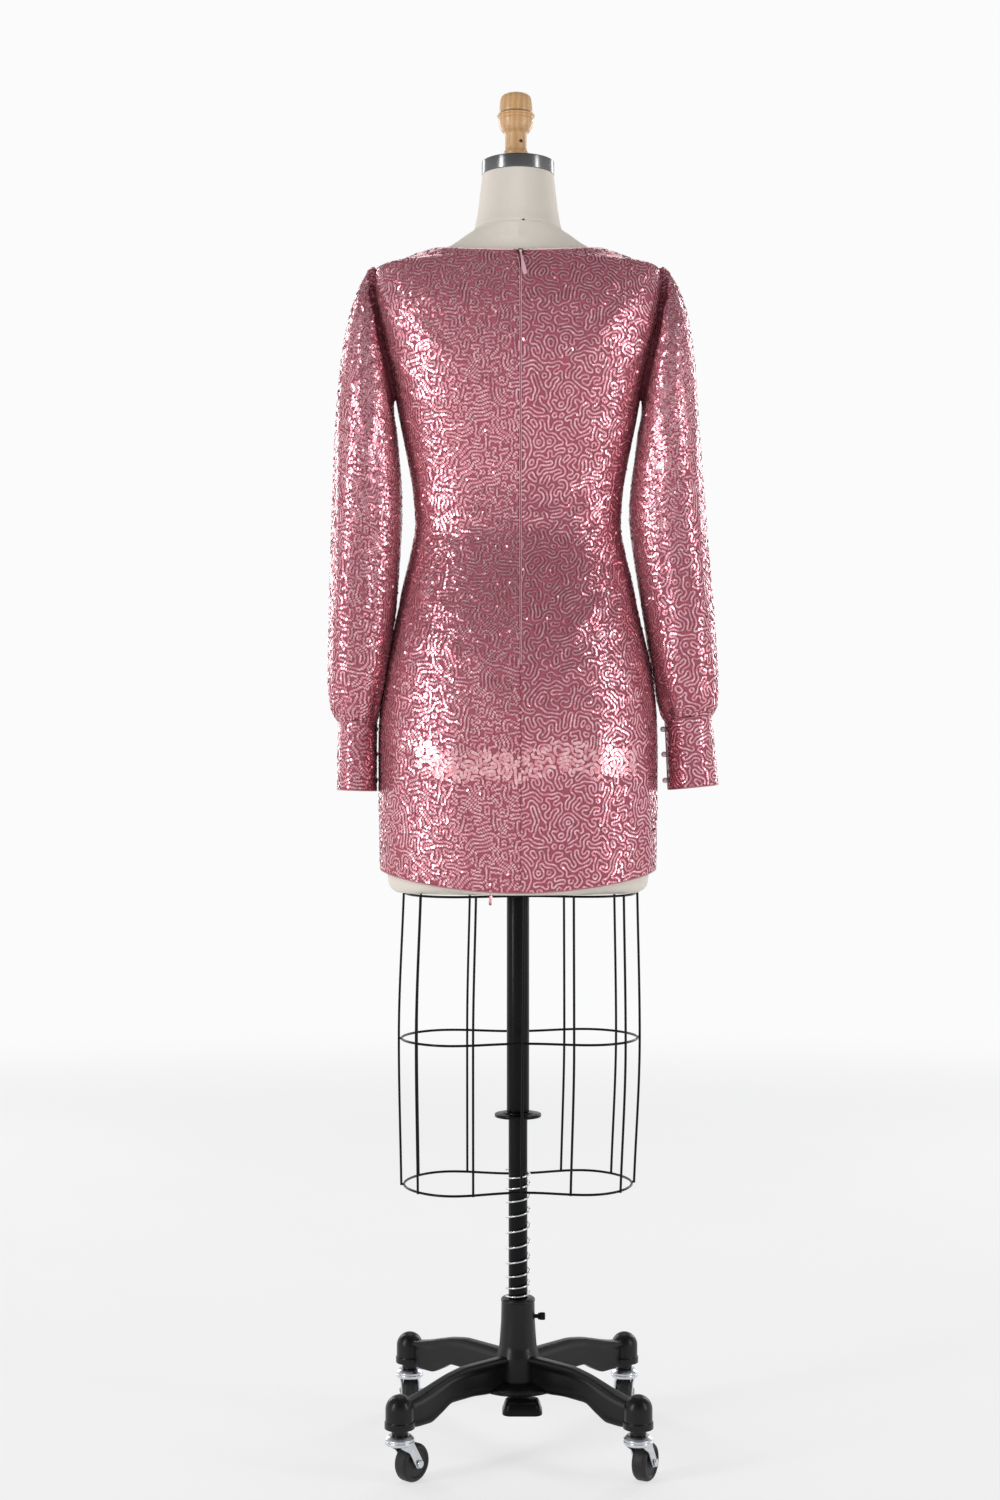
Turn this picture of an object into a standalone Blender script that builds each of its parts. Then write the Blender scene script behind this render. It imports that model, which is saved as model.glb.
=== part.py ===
"""A long-sleeved sequined cocktail dress, worn by a limbless dress form on a rolling stand.

Metres, +Z up, with the floor at z = 0. The dress's front faces -Y, its centre-back zip
faces +Y, and the wearer's left is +X. Everything is modelled round the stand's pole and
then moved back by POLE_Y, so that the origin lies under the middle of the whole part.
Heights on the form are measured from its underside, because it slides on its pole.

The cloth is cut in panels that all lie on one skin: a stack of rounded rings that gives
the garment's outer face. A place on the skin is a turn, the eccentric angle of its ring in
degrees (0 at the centre back, 90 at the wearer's left side, 180 at the centre front), and a
reach, the length of the way up the side seam. The form is the same skin, moved in.
"""

import math
from collections import namedtuple

import bmesh
import bpy
from mathutils import Matrix, Vector

MM = 0.001
POLE_Y = 0.013              # the far casters trail back, so the pole isn't in the middle

# --- Cloth and gaps ---------------------------------------------------------
CLOTH = 1.5 * MM            # wall of the sequined mesh and its backing
CUFF_CLOTH = 2.0 * MM       # the cuff is two layers
SEAM = 0.3 * MM             # gap between pieces that meet
HIP_CLEARANCE = 2.5 * MM    # a hanging sleeve stays this clear of the skirt
UNDERARM_OPENING = 0.030    # height over which the sleeve draws away from the body

# --- Form on its pole -------------------------------------------------------
FORM_BOTTOM = 0.6745
FORM_TOP = 0.867            # neck height above the form's underside
BAND_HEIGHT = 16.5 * MM
BAND_RADIUS = 43.9 * MM
COLUMN_STEP = 10.0          # degrees between mesh columns all round

Ring = namedtuple("Ring", "height half_width back front square")
SKIN_RINGS = (
    # height, half width, depth behind and before the pole, squareness
    Ring(0.000, 0.1660, 0.1000, 0.0960, 2.25),
    Ring(0.040, 0.1670, 0.1025, 0.0985, 2.25),
    Ring(0.080, 0.1676, 0.1055, 0.1010, 2.25),
    Ring(0.117, 0.1685, 0.1090, 0.1035, 2.25),
    Ring(0.171, 0.1685, 0.1135, 0.1060, 2.25),
    Ring(0.208, 0.1675, 0.1145, 0.1070, 2.25),
    Ring(0.263, 0.1625, 0.1100, 0.1060, 2.20),
    Ring(0.299, 0.1545, 0.1035, 0.1040, 2.20),
    Ring(0.335, 0.1460, 0.0940, 0.1010, 2.15),
    Ring(0.371, 0.1390, 0.0820, 0.0970, 2.10),
    Ring(0.408, 0.1300, 0.0690, 0.0920, 2.10),
    Ring(0.444, 0.1243, 0.0610, 0.0880, 2.10),  # waist
    Ring(0.480, 0.1265, 0.0620, 0.0890, 2.10),
    Ring(0.523, 0.1335, 0.0700, 0.0960, 2.20),
    Ring(0.568, 0.1425, 0.0790, 0.1060, 2.35),  # bust
    Ring(0.608, 0.1500, 0.0850, 0.1070, 2.55),
    Ring(0.653, 0.1610, 0.0880, 0.0980, 2.70),
    Ring(0.693, 0.1705, 0.0860, 0.0860, 2.70),
    Ring(0.723, 0.1735, 0.0805, 0.0750, 2.55),
    Ring(0.743, 0.1730, 0.0745, 0.0665, 2.40),
    Ring(0.754, 0.1695, 0.0700, 0.0615, 2.30),  # shoulder tip
    Ring(0.7595, 0.1490, 0.0675, 0.0590, 2.20),
    Ring(0.7665, 0.1315, 0.0650, 0.0575, 2.15),
    Ring(0.7745, 0.1070, 0.0620, 0.0560, 2.10),  # neckline on the shoulder
    Ring(0.7835, 0.0824, 0.0590, 0.0550, 2.00),
    Ring(0.792, 0.0667, 0.0560, 0.0545, 2.00),
    Ring(0.799, 0.0545, 0.0545, 0.0545, 2.00),  # neck base
    Ring(0.814, 0.0502, 0.0502, 0.0502, 2.00),
    Ring(0.840, 0.0466, 0.0466, 0.0466, 2.00),
    Ring(0.867, 0.0435, 0.0435, 0.0435, 2.00),
)

# The bust is a soft swell on each side of the centre front.
BUST_TURN = 36.0
BUST_SPREAD = 21.0
BUST_HEIGHT = 0.572
BUST_RISE = 0.050
BUST_SWELL = 15.0 * MM

# --- Panel outlines, heights above the form's underside --------------------
HEM_SIDE = 0.028
HEM_DROP_BACK = 0.024
HEM_DROP_FRONT = 0.020
UNDERARM = 0.595
SHOULDER_TIP = 0.754
NECK_SHOULDER = 0.7745
NECKLINE_DROP_BACK = 0.0120
NECKLINE_DROP_FRONT = 0.050
NECKLINE_CURVE_BACK = 2.4   # how late the neckline turns down from the shoulder
NECKLINE_CURVE_FRONT = 4.0
ARMHOLE_BACK = 15.0         # degrees that the armhole cuts into the back
ARMHOLE_FRONT = 25.0
ROW_HEIGHTS = (0.075, 0.130, 0.182, 0.228, 0.270, 0.310, 0.352, 0.396, 0.446, 0.492,
               0.542, UNDERARM)
ARMHOLE_ROWS = 9
ARMHOLE_EASE = 0.5          # how much closer these rows lie at both ends
BACK_COLUMNS = 9
BACK_NECK_COLUMNS = 6
FRONT_COLUMNS = 18
FRONT_SHOULDER_COLUMNS = 3

# --- Centre-back zip --------------------------------------------------------
CENTRE_BACK_X = -2.5 * MM
ZIP_BOTTOM = 0.270
ZIP_TOP = 0.7525
COIL_HALF_WIDTH = 0.7 * MM
SLIDER_SIZE = Vector((5.6, 1.0, 9.5)) * MM
SLIDER_HEIGHT = 0.7585      # middle of the slider on the form
SLIDER_LIFT = 1.0 * MM
PIN_RADIUS = 0.5 * MM
PIN_LIFT = 1.9 * MM         # pin centre above the slider's face
EYE_RADIUS = 1.5 * MM
EYE_HOLE = 0.85 * MM
EYE_HALF_WIDTH = 1.5 * MM
EAR_INSIDE = 1.85 * MM
EAR_OUTSIDE = 2.7 * MM
PULL_LENGTH = 31.0 * MM
PULL_NECK = 1.1 * MM        # half widths of the pull tab
PULL_END = 2.6 * MM
PULL_THICK = 1.2 * MM
PULL_TIP_LIFT = 1.3 * MM    # the pull's free end stands this far off the cloth
PULL_LEAN = 0.17            # sideways drift of the pull for its length

# --- Sleeves and cuffs ------------------------------------------------------
SLEEVE_COLUMNS = 36
Section = namedtuple("Section", "in_x in_height out_x out_height half_depth centre_y")
SLEEVE_LEFT = (
    # body side, outer side, half depth front to back, centre of the section
    Section(0.1508, 0.5790, 0.1845, 0.7410, 0.0475, -0.001),
    Section(0.1496, 0.5700, 0.1930, 0.7220, 0.0535, 0.001),
    Section(0.1474, 0.5580, 0.2043, 0.6860, 0.0575, 0.002),
    Section(0.1440, 0.5250, 0.2142, 0.6330, 0.0575, 0.004),
    Section(0.1415, 0.4930, 0.2187, 0.5880, 0.0570, 0.006),
    Section(0.1405, 0.4530, 0.2217, 0.5330, 0.0560, 0.008),
    Section(0.1455, 0.3640, 0.2252, 0.4060, 0.0550, 0.012),
    Section(0.1490, 0.3200, 0.2267, 0.3420, 0.0545, 0.014),
    Section(0.1530, 0.2820, 0.2272, 0.2860, 0.0530, 0.015),
    Section(0.1575, 0.2520, 0.2262, 0.2520, 0.0505, 0.015),
    Section(0.1645, 0.2240, 0.2230, 0.2240, 0.0445, 0.013),
    Section(0.1705, 0.2055, 0.2165, 0.2055, 0.0370, 0.011),
)
SLEEVE_RIGHT = (
    Section(0.1505, 0.5790, 0.1855, 0.7410, 0.0475, -0.001),
    Section(0.1490, 0.5700, 0.1945, 0.7220, 0.0535, 0.001),
    Section(0.1462, 0.5580, 0.2052, 0.6860, 0.0578, 0.002),
    Section(0.1420, 0.5250, 0.2132, 0.6330, 0.0590, 0.003),
    Section(0.1375, 0.4930, 0.2168, 0.5880, 0.0590, 0.004),
    Section(0.1350, 0.4530, 0.2205, 0.5330, 0.0585, 0.005),
    Section(0.1465, 0.3640, 0.2297, 0.4060, 0.0570, 0.007),
    Section(0.1535, 0.3200, 0.2350, 0.3420, 0.0560, 0.008),
    Section(0.1600, 0.2820, 0.2383, 0.2860, 0.0545, 0.008),
    Section(0.1655, 0.2520, 0.2395, 0.2550, 0.0520, 0.008),
    Section(0.1725, 0.2240, 0.2382, 0.2290, 0.0455, 0.007),
    Section(0.1785, 0.2065, 0.2333, 0.2135, 0.0345, 0.005),
)
CUFF_LEFT_HEM = Section(0.1710, 0.1225, 0.2178, 0.1240, 0.0375, 0.011)
CUFF_RIGHT_HEM = Section(0.1820, 0.1240, 0.2418, 0.1300, 0.0335, 0.005)
SLEEVE_SQUARE = 2.15        # squareness of a sleeve's section
HEAD_OUT = 6.5 * MM         # how far the sleeve's head stands out at the shoulder,
HEAD_OUT_LOW = 2.5 * MM     # and at the underarm
HEAD_APART = 2.0 * MM
CUFF_ROWS = 1

GATHERS = 9                 # gathers round the cuff seam
GATHER_DEPTH = 2.4 * MM
GATHER_START = 0.34         # height on the form where they fade out
GATHER_UNEVEN = 0.45
SEAM_GATHER = 0.5 * MM      # what is left of them in the seam itself

Fold = namedtuple("Fold", "angle width first last lift")
SLEEVE_FOLDS = (
    # angle from the sleeve's outer line (+ to the back), width in degrees, first and
    # last section that it crosses, and lift: the head's puffs, then long soft folds
    Fold(8.0, 13.0, -0.8, 4.5, 2.4 * MM),
    Fold(38.0, 12.0, -0.6, 4.0, 2.2 * MM),
    Fold(66.0, 12.0, -0.4, 3.2, 1.6 * MM),
    Fold(-24.0, 12.0, -0.7, 4.0, 2.2 * MM),
    Fold(-54.0, 12.0, -0.5, 3.4, 1.8 * MM),
    Fold(112.0, 17.0, 2.5, 11.0, -3.4 * MM),
    Fold(58.0, 15.0, 4.0, 13.0, 2.2 * MM),
    Fold(84.0, 13.0, 5.5, 14.5, -2.2 * MM),
    Fold(-100.0, 17.0, 3.0, 11.5, -3.2 * MM),
    Fold(-66.0, 16.0, 5.0, 13.5, 2.4 * MM),
)

BUTTON_RADIUS = 3.5 * MM
Button = namedtuple("Button", "height angle")
BUTTONS_LEFT = (Button(0.1968, -140.0), Button(0.1665, -140.0), Button(0.1350, -140.0))
BUTTONS_RIGHT = (Button(0.1968, 175.0), Button(0.1665, 175.0), Button(0.1350, 175.0))

# --- Wire skirt cage --------------------------------------------------------
WIRE_RADIUS = 1.5 * MM
CAGE_GAP = 0.3 * MM         # between the hoops and the uprights
CAGE_TURN = math.radians(3.0)
CAGE_LOBE = 0.1095          # depth scale of the two-lobed outline
CAGE_PINCH = 0.45
HOOP_POINTS = 32
Hoop = namedtuple("Hoop", "height half_width shift")
HOOPS = (
    Hoop(0.6725, 0.1385, -3.5 * MM),
    Hoop(0.4975, 0.1430, -2.0 * MM),
    Hoop(0.3210, 0.1380, 0.0),
)
WIRE_ANGLES = (-57.0, -25.0, 0.0, 25.0, 60.0, 90.0, 122.0, 154.5, 180.0, 205.5, 238.0,
               270.0)

# --- Pole, spring and hub ---------------------------------------------------
ROUND = 20                  # sides of a turned piece
TUBE_RADIUS = 13.65 * MM
TUBE_BORE = 12.2 * MM
TUBE_BOTTOM = 0.4079
TUBE_CROWN = 14.0 * MM      # solid top of the tube
FLANGE_RADIUS = 28.25 * MM
FLANGE_HEIGHT = 6.0 * MM
ROD_RADIUS = 11.45 * MM
ROD_TOP = 0.600
ROD_RUN = 0.4 * MM          # running gap round the rod
SPRING_RADIUS = 14.2 * MM
SPRING_WIRE = 1.1 * MM
SPRING_TURNS = 10.0
SPRING_TOP = 0.338
SPRING_STEPS = 7            # points in each turn
HUB_TOP = 0.1825
SOCKET_BOTTOM = 0.122
Turned = namedtuple("Turned", "radius height")
HUB_PROFILE = (
    Turned(0.0000, HUB_TOP),
    Turned(0.0190, HUB_TOP),
    Turned(0.0202, 0.1805),
    Turned(0.0206, 0.1550),
    Turned(0.0226, 0.1250),
    Turned(0.0262, 0.1130),
    Turned(0.0300, 0.0860),
    Turned(0.0500, 0.0815),
    Turned(0.0500, 0.0758),
    Turned(0.0000, 0.0758),
)

# --- Legs and casters -------------------------------------------------------
STEM_SPREAD = 0.137         # caster stems at plus and minus this in x and y
Leg = namedtuple("Leg", "reach top bottom half_width")
LEG_SECTIONS = (
    Leg(0.010, 0.1150, 0.0762, 0.0090),
    Leg(0.050, 0.1158, 0.0765, 0.0078),
    Leg(0.085, 0.1160, 0.0790, 0.0072),
    Leg(0.112, 0.1128, 0.0790, 0.0072),
    Leg(0.132, 0.1080, 0.0700, 0.0076),
    Leg(0.150, 0.1030, 0.0630, 0.0082),
    Leg(0.168, 0.0985, 0.0632, 0.0092),
    Leg(0.190, 0.0945, 0.0668, 0.0098),
)
LEG_WEB = 0.62              # width of the leg's web over that of its flanges
CAP_RADIUS = 16.5 * MM
CAP_BOTTOM = 0.0660
CAP_SHOULDER = 0.0880
NECK_RADIUS = 9.5 * MM
NECK_BOTTOM = 0.0585
RACE_RADIUS = 17.0 * MM
RACE_TOP = 0.0582
RACE_BOTTOM = 0.0472
WHEEL_AXLE_HEIGHT = 22.2 * MM
WHEEL_SIDES = 18
WHEEL_HALF_WIDTH = 9.0 * MM
WHEEL_BORE = 3.4 * MM
TREAD_HALF_WIDTH = 5.5 * MM
TREAD_DROP = 2.4 * MM
AXLE_RADIUS = 2.8 * MM
AXLE_HEAD = 4.6 * MM
AXLE_HEAD_LENGTH = 2.6 * MM
FORK_INSIDE = 10.0 * MM
FORK_PLATE = 2.0 * MM
TRAIL = 20.5 * MM
Caster = namedtuple("Caster", "side_x side_y heading")
CASTERS = (
    # heading: which way the wheel trails, degrees from +X towards +Y
    Caster(1, 1, 230.0),
    Caster(-1, 1, 243.0),
    Caster(-1, -1, 272.0),
    Caster(1, -1, 268.0),
)

# --- Set screw and foot pedal ----------------------------------------------
SCREW_HEIGHT = 0.1595
SCREW_RADIUS = 2.5 * MM
SCREW_TIP_X = -11.8 * MM
SCREW_NECK_X = -26.0 * MM
SCREW_END_X = -33.0 * MM
WING_HALF_HEIGHT = 4.5 * MM
WING_HALF_THICK = 2.2 * MM
PEDAL_PIN_HEIGHT = 0.0680
PEDAL_PIN_RADIUS = 2.2 * MM
LUG_INSIDE = 9.0 * MM
LUG_OUTSIDE = 13.0 * MM
LUG_REACH = 8.0 * MM
PAD_CENTRE = Vector((-0.0045, 0.0580, 0.0))
PAD_HALF_WIDTH = 23.8 * MM
PAD_HALF_DEPTH = 20.0 * MM
PAD_BOTTOM = 0.0605
PAD_TOP = 0.0750
PAD_TOP_INSET = 4.0 * MM
LEVER_HALF_WIDTH = 8.2 * MM
LEVER_BOTTOM = 0.0625
LEVER_TOP = 0.0735

FINIAL_X = 2.5 * MM         # it sits a little off the neck's axis
FINIAL_PROFILE = (
    # radius and height above the neck band, top to bottom
    Turned(0.0000, 0.0820),
    Turned(0.0120, 0.0820),
    Turned(0.0170, 0.0800),
    Turned(0.0190, 0.0755),
    Turned(0.0202, 0.0650),
    Turned(0.0198, 0.0620),
    Turned(0.0226, 0.0600),
    Turned(0.0213, 0.0570),
    Turned(0.0207, 0.0480),
    Turned(0.0188, 0.0400),
    Turned(0.0142, 0.0340),
    Turned(0.0132, 0.0290),
    Turned(0.0132, 0.0170),
    Turned(0.0142, 0.0140),
    Turned(0.0146, 0.0070),
    Turned(0.0150, 0.0003),
    Turned(0.0000, 0.0003),
)

FINISHES = {
    # base colour, roughness, metallic
    "sequin_cloth": ((0.60, 0.20, 0.29), 0.35, 0.4),
    "zip_coil": ((0.55, 0.22, 0.30), 0.6, 0.0),
    "zip_metal": ((0.12, 0.11, 0.11), 0.35, 0.9),
    "zip_pull": ((0.72, 0.42, 0.48), 0.4, 0.3),
    "pearl": ((0.86, 0.80, 0.78), 0.2, 0.0),
    "linen": ((0.78, 0.74, 0.68), 0.9, 0.0),
    "polished_steel": ((0.62, 0.62, 0.62), 0.2, 1.0),
    "turned_wood": ((0.66, 0.44, 0.22), 0.5, 0.0),
    "black_enamel": ((0.02, 0.02, 0.02), 0.35, 0.0),
    "cast_iron": ((0.02, 0.02, 0.02), 0.5, 0.2),
    "zinc": ((0.70, 0.71, 0.73), 0.3, 1.0),
    "wheel_rubber": ((0.02, 0.02, 0.02), 0.45, 0.0),
}


# --- Scene, materials and objects -------------------------------------------
def clear_scene():
    for obj in list(bpy.data.objects):
        bpy.data.objects.remove(obj, do_unlink=True)


def finish_material(name):
    """The named finish as a material, made once."""
    found = bpy.data.materials.get(name)
    if found:
        return found
    colour, roughness, metallic = FINISHES[name]
    made = bpy.data.materials.new(name)
    made.use_nodes = True
    shader = made.node_tree.nodes["Principled BSDF"]
    shader.inputs["Base Color"].default_value = (*colour, 1.0)
    shader.inputs["Roughness"].default_value = roughness
    shader.inputs["Metallic"].default_value = metallic
    return made


def add_object(name, data, finish, sharp=None):
    """Links an object with its finish. With sharp, edges over that angle stay sharp."""
    obj = bpy.data.objects.new(name, data)
    bpy.context.scene.collection.objects.link(obj)
    data.materials.append(finish_material(finish))
    if sharp is not None:
        data.shade_smooth()
        data.set_sharp_from_angle(angle=math.radians(sharp))
    return obj


def mesh_from(bm, name):
    """Turns a bmesh into a mesh whose faces point out."""
    bmesh.ops.recalc_face_normals(bm, faces=bm.faces)
    data = bpy.data.meshes.new(name)
    bm.to_mesh(data)
    bm.free()
    return data


def cutter(name, bm, matrix=None):
    """An object that only cuts or joins others: hidden from renders and shown as wire."""
    if matrix is not None:
        bmesh.ops.transform(bm, matrix=matrix, verts=bm.verts)
    obj = bpy.data.objects.new(name, mesh_from(bm, name))
    bpy.context.scene.collection.objects.link(obj)
    obj.hide_render = True
    obj.display_type = "WIRE"
    return obj


def boolean(obj, operation, other):
    modifier = obj.modifiers.new(operation.title(), "BOOLEAN")
    modifier.operation = operation
    modifier.solver = "EXACT"
    modifier.object = other


# --- Smooth curves through a table ------------------------------------------
def smooth_curve(xs, ys):
    """A smooth curve through the points that never swings past them."""
    steps = [b - a for a, b in zip(xs, xs[1:])]
    rises = [(b - a) / s for a, b, s in zip(ys, ys[1:], steps)]
    slopes = [rises[0]]
    for before, after in zip(rises, rises[1:]):
        slopes.append(0.0 if before * after <= 0 else 2 * before * after / (before + after))
    slopes.append(rises[-1])

    def value(x):
        i = max(0, min(len(steps) - 1, sum(1 for edge in xs[1:-1] if edge <= x)))
        step = steps[i]
        f = max(0.0, min(1.0, (x - xs[i]) / step))
        g = 1 - f
        return (
            (1 + 2 * f) * g * g * ys[i]
            + f * g * g * step * slopes[i]
            + f * f * (3 - 2 * f) * ys[i + 1]
            - f * f * g * step * slopes[i + 1]
        )

    return value


def lerp(a, b, f):
    return a + (b - a) * f


# --- The skin: the garment's outer face -------------------------------------
def ring_reaches():
    """How far up the side each ring lies, measured along the skin."""
    reaches = [0.0]
    for low, high in zip(SKIN_RINGS, SKIN_RINGS[1:]):
        rise = high.height - low.height
        spread = high.half_width - low.half_width
        reaches.append(reaches[-1] + math.hypot(rise, 0.6 * spread))
    return reaches


REACHES = ring_reaches()
RING_CURVES = {
    field: smooth_curve(REACHES, [getattr(ring, field) for ring in SKIN_RINGS])
    for field in Ring._fields
}
REACH_AT_HEIGHT = smooth_curve([ring.height for ring in SKIN_RINGS], REACHES)


def reach_at(height):
    """The reach of a height, refined so that the two curves agree."""
    reach = REACH_AT_HEIGHT(height)
    for _ in range(6):
        slope = (RING_CURVES["height"](reach + 1e-4) - RING_CURVES["height"](reach - 1e-4)) / 2e-4
        reach += (height - RING_CURVES["height"](reach)) / max(slope, 0.05)
    return reach


def bust_swell(turn, height):
    away = abs(turn % 360 - 180) - BUST_TURN
    up = (height - BUST_HEIGHT) / BUST_RISE
    return BUST_SWELL * math.exp(-(away / BUST_SPREAD) ** 2 - up * up)


def ring_at(reach):
    return Ring(*(RING_CURVES[field](reach) for field in Ring._fields))


def skin(turn, reach):
    """The point of the skin at a turn in degrees and a reach."""
    ring = ring_at(reach)
    across = math.sin(math.radians(turn))
    along = math.cos(math.radians(turn))
    depth = ring.back if along > 0 else ring.front
    scale = (abs(across) ** ring.square + abs(along) ** ring.square) ** (-1 / ring.square)
    flat = Vector((ring.half_width * across, depth * along, 0)) * scale
    flat += flat.normalized() * bust_swell(turn, ring.height)
    return flat + Vector((0, 0, FORM_BOTTOM + ring.height))


def place_of(point):
    """The turn and reach of the skin that lies in the same direction as a point."""
    reach = reach_at(point.z - FORM_BOTTOM)
    ring = ring_at(reach)
    depth = ring.back if point.y > 0 else ring.front
    return math.degrees(math.atan2(point.x / ring.half_width, point.y / depth)), reach


def skin_normal(turn, reach):
    """The outward direction of the skin."""
    round_step = skin(turn + 0.5, reach) - skin(turn - 0.5, reach)
    up_step = skin(turn, reach + MM) - skin(turn, reach - MM)
    return up_step.cross(round_step).normalized()


def moved_in(turn, reach, depth):
    return skin(turn, reach) - depth * skin_normal(turn, reach)


def turn_for(distance, turn, reach):
    """The turn in degrees that covers a distance along the skin."""
    step = (skin(turn + 0.5, reach) - skin(turn - 0.5, reach)).length
    return distance / step


# --- Walls of cloth ---------------------------------------------------------
def grid_triangles(points, tube=False):
    """The (row, column) corners of a grid's triangles, folded on the shorter diagonals."""
    columns = len(points[0])
    triangles = []
    for r in range(len(points) - 1):
        for c in range(columns if tube else columns - 1):
            n = (c + 1) % columns
            corners = ((r, c), (r, n), (r + 1, n), (r + 1, c))
            a, b, d, e = (points[i][j] for i, j in corners)
            if (a - d).length > (b - e).length:
                corners = corners[1:] + corners[:1]
            triangles += [corners[:3], (corners[0], corners[2], corners[3])]
    return triangles


def wall_mesh(name, outer, inner, tube=False):
    """A closed wall between two grids of points. A tube's columns join round."""
    bm = bmesh.new()
    out, into = [
        [[bm.verts.new(point) for point in row] for row in grid] for grid in (outer, inner)
    ]
    rows = len(outer)
    columns = len(outer[0])
    spans = columns if tube else columns - 1
    for corners in grid_triangles(outer, tube):
        for grid in (out, into):
            bm.faces.new([grid[r][c] for r, c in corners])
    rims = [((r, c), (r, (c + 1) % columns)) for r in (0, rows - 1) for c in range(spans)]
    if not tube:
        rims += [((r, c), (r + 1, c)) for c in (0, columns - 1) for r in range(rows - 1)]
    for (r, c), (u, v) in rims:
        bm.faces.new((out[r][c], out[u][v], into[u][v]))
        bm.faces.new((out[r][c], into[u][v], into[r][c]))
    return mesh_from(bm, name)


def grid_normals(rows, tube=False):
    """Outward directions of a grid of points: out of its tube, or away from the body."""
    normals = []
    for r, row in enumerate(rows):
        above = rows[max(r - 1, 0)]
        below = rows[min(r + 1, len(rows) - 1)]
        centre = sum(row, Vector()) / len(row) if tube else Vector((0, 0, row[0].z - 0.08))
        line = []
        for c, point in enumerate(row):
            before = row[c - 1] if tube or c else point
            after = row[(c + 1) % len(row)] if tube or c < len(row) - 1 else point
            normal = (after - before).cross(below[c] - above[c]).normalized()
            if normal.dot(point - centre) < 0:
                normal.negate()
            line.append(normal)
        normals.append(line)
    return normals


def panel(name, places, thickness=CLOTH):
    """A panel of cloth on the skin, from a grid of (turn, reach) places."""
    outer = [[skin(*place) for place in row] for row in places]
    normals = grid_normals(outer)
    last = len(places) - 1
    for r, row in enumerate(places):
        # Along its edges the wall follows the skin, so that neighbours stay parallel.
        edge = range(len(row)) if r in (0, last) else (0, len(row) - 1)
        for c in edge:
            normals[r][c] = skin_normal(*row[c])
    inner = [
        [point - normal * thickness for point, normal in zip(row, line)]
        for row, line in zip(outer, normals)
    ]
    add_object(name, wall_mesh(name, outer, inner), "sequin_cloth", sharp=60)
    return outer


def hem_height(turn):
    along = math.cos(math.radians(turn))
    drop = HEM_DROP_BACK if along > 0 else HEM_DROP_FRONT
    return HEM_SIDE - drop * along * along


def neckline_height(turn):
    along = math.cos(math.radians(turn))
    if along > 0:
        return NECK_SHOULDER - NECKLINE_DROP_BACK * along**NECKLINE_CURVE_BACK
    return NECK_SHOULDER - NECKLINE_DROP_FRONT * abs(along) ** NECKLINE_CURVE_FRONT


def centre_back_turn(height):
    return math.degrees(math.asin(CENTRE_BACK_X / RING_CURVES["half_width"](reach_at(height))))


def armhole_share(row):
    """How far up a row lies between the underarm, 0, and the shoulder, 1."""
    share = row / ARMHOLE_ROWS
    return lerp(share, (1 - math.cos(math.pi * share)) / 2, ARMHOLE_EASE)


def armhole_place(row, cut, edge):
    """The place on the armhole of a row above the underarm."""
    low, high = reach_at(UNDERARM), reach_at(SHOULDER_TIP)
    inward = cut * math.sin(math.pi * row / ARMHOLE_ROWS)
    return edge + inward, lerp(low, high, armhole_share(row))


def blended_patch(bottom, top, start, end):
    """The places of the patch above the underarm, row by row."""
    columns = len(bottom) - 1
    patch = []
    for r in range(1, ARMHOLE_ROWS + 1):
        s = armhole_share(r)
        row = []
        for c in range(columns + 1):
            u = c / columns
            place = []
            for axis in (0, 1):
                edges = lerp(bottom[c][axis], top[c][axis], s) + lerp(start[r][axis], end[r][axis], u)
                corners = lerp(
                    lerp(bottom[0][axis], bottom[-1][axis], u),
                    lerp(top[0][axis], top[-1][axis], u),
                    s,
                )
                place.append(edges - corners)
            row.append(tuple(place))
        patch.append(row)
    return patch


def half_seam_turn(turn, height):
    return turn_for(SEAM / 2, turn, reach_at(height))


def zip_half_gap(height):
    """Half the gap at the centre back: a plain seam below the zip, the coil's width above."""
    return COIL_HALF_WIDTH + SEAM if height >= ZIP_BOTTOM else SEAM / 2


def back_places(side):
    """The grid of one back panel, from the centre back to the side seam or armhole."""

    def edge(height):
        return 90.0 - half_seam_turn(90.0, height)

    def centre(height):
        reach = reach_at(height)
        middle = side * centre_back_turn(height)
        return middle + turn_for(zip_half_gap(height), middle, reach)

    def row_at(height_of):
        row = []
        for c in range(BACK_COLUMNS + 1):
            turn = lerp(centre(height_of(0.0)), edge(height_of(90.0)), c / BACK_COLUMNS)
            row.append((turn, reach_at(height_of(turn))))
        return row

    places = [row_at(hem_height)]
    places += [row_at(lambda _turn, level=level: level) for level in ROW_HEIGHTS]
    top = []
    for c in range(BACK_COLUMNS + 1):
        if c <= BACK_NECK_COLUMNS:
            share = c / BACK_NECK_COLUMNS
            turn = lerp(centre(neckline_height(0.0)), edge(NECK_SHOULDER), share)
            top.append((turn, reach_at(neckline_height(turn))))
        else:
            share = (c - BACK_NECK_COLUMNS) / (BACK_COLUMNS - BACK_NECK_COLUMNS)
            height = lerp(NECK_SHOULDER, SHOULDER_TIP, share)
            top.append((edge(height), reach_at(height)))
    rows = range(ARMHOLE_ROWS + 1)
    heights = [lerp(UNDERARM, neckline_height(0.0), armhole_share(r)) for r in rows]
    start = [(centre(height), reach_at(height)) for height in heights]
    end = [armhole_place(r, -ARMHOLE_BACK, edge(UNDERARM)) for r in rows]
    places += blended_patch(places[-1], top, start, end)
    return [[(side * turn, reach) for turn, reach in row] for row in places]


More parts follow.
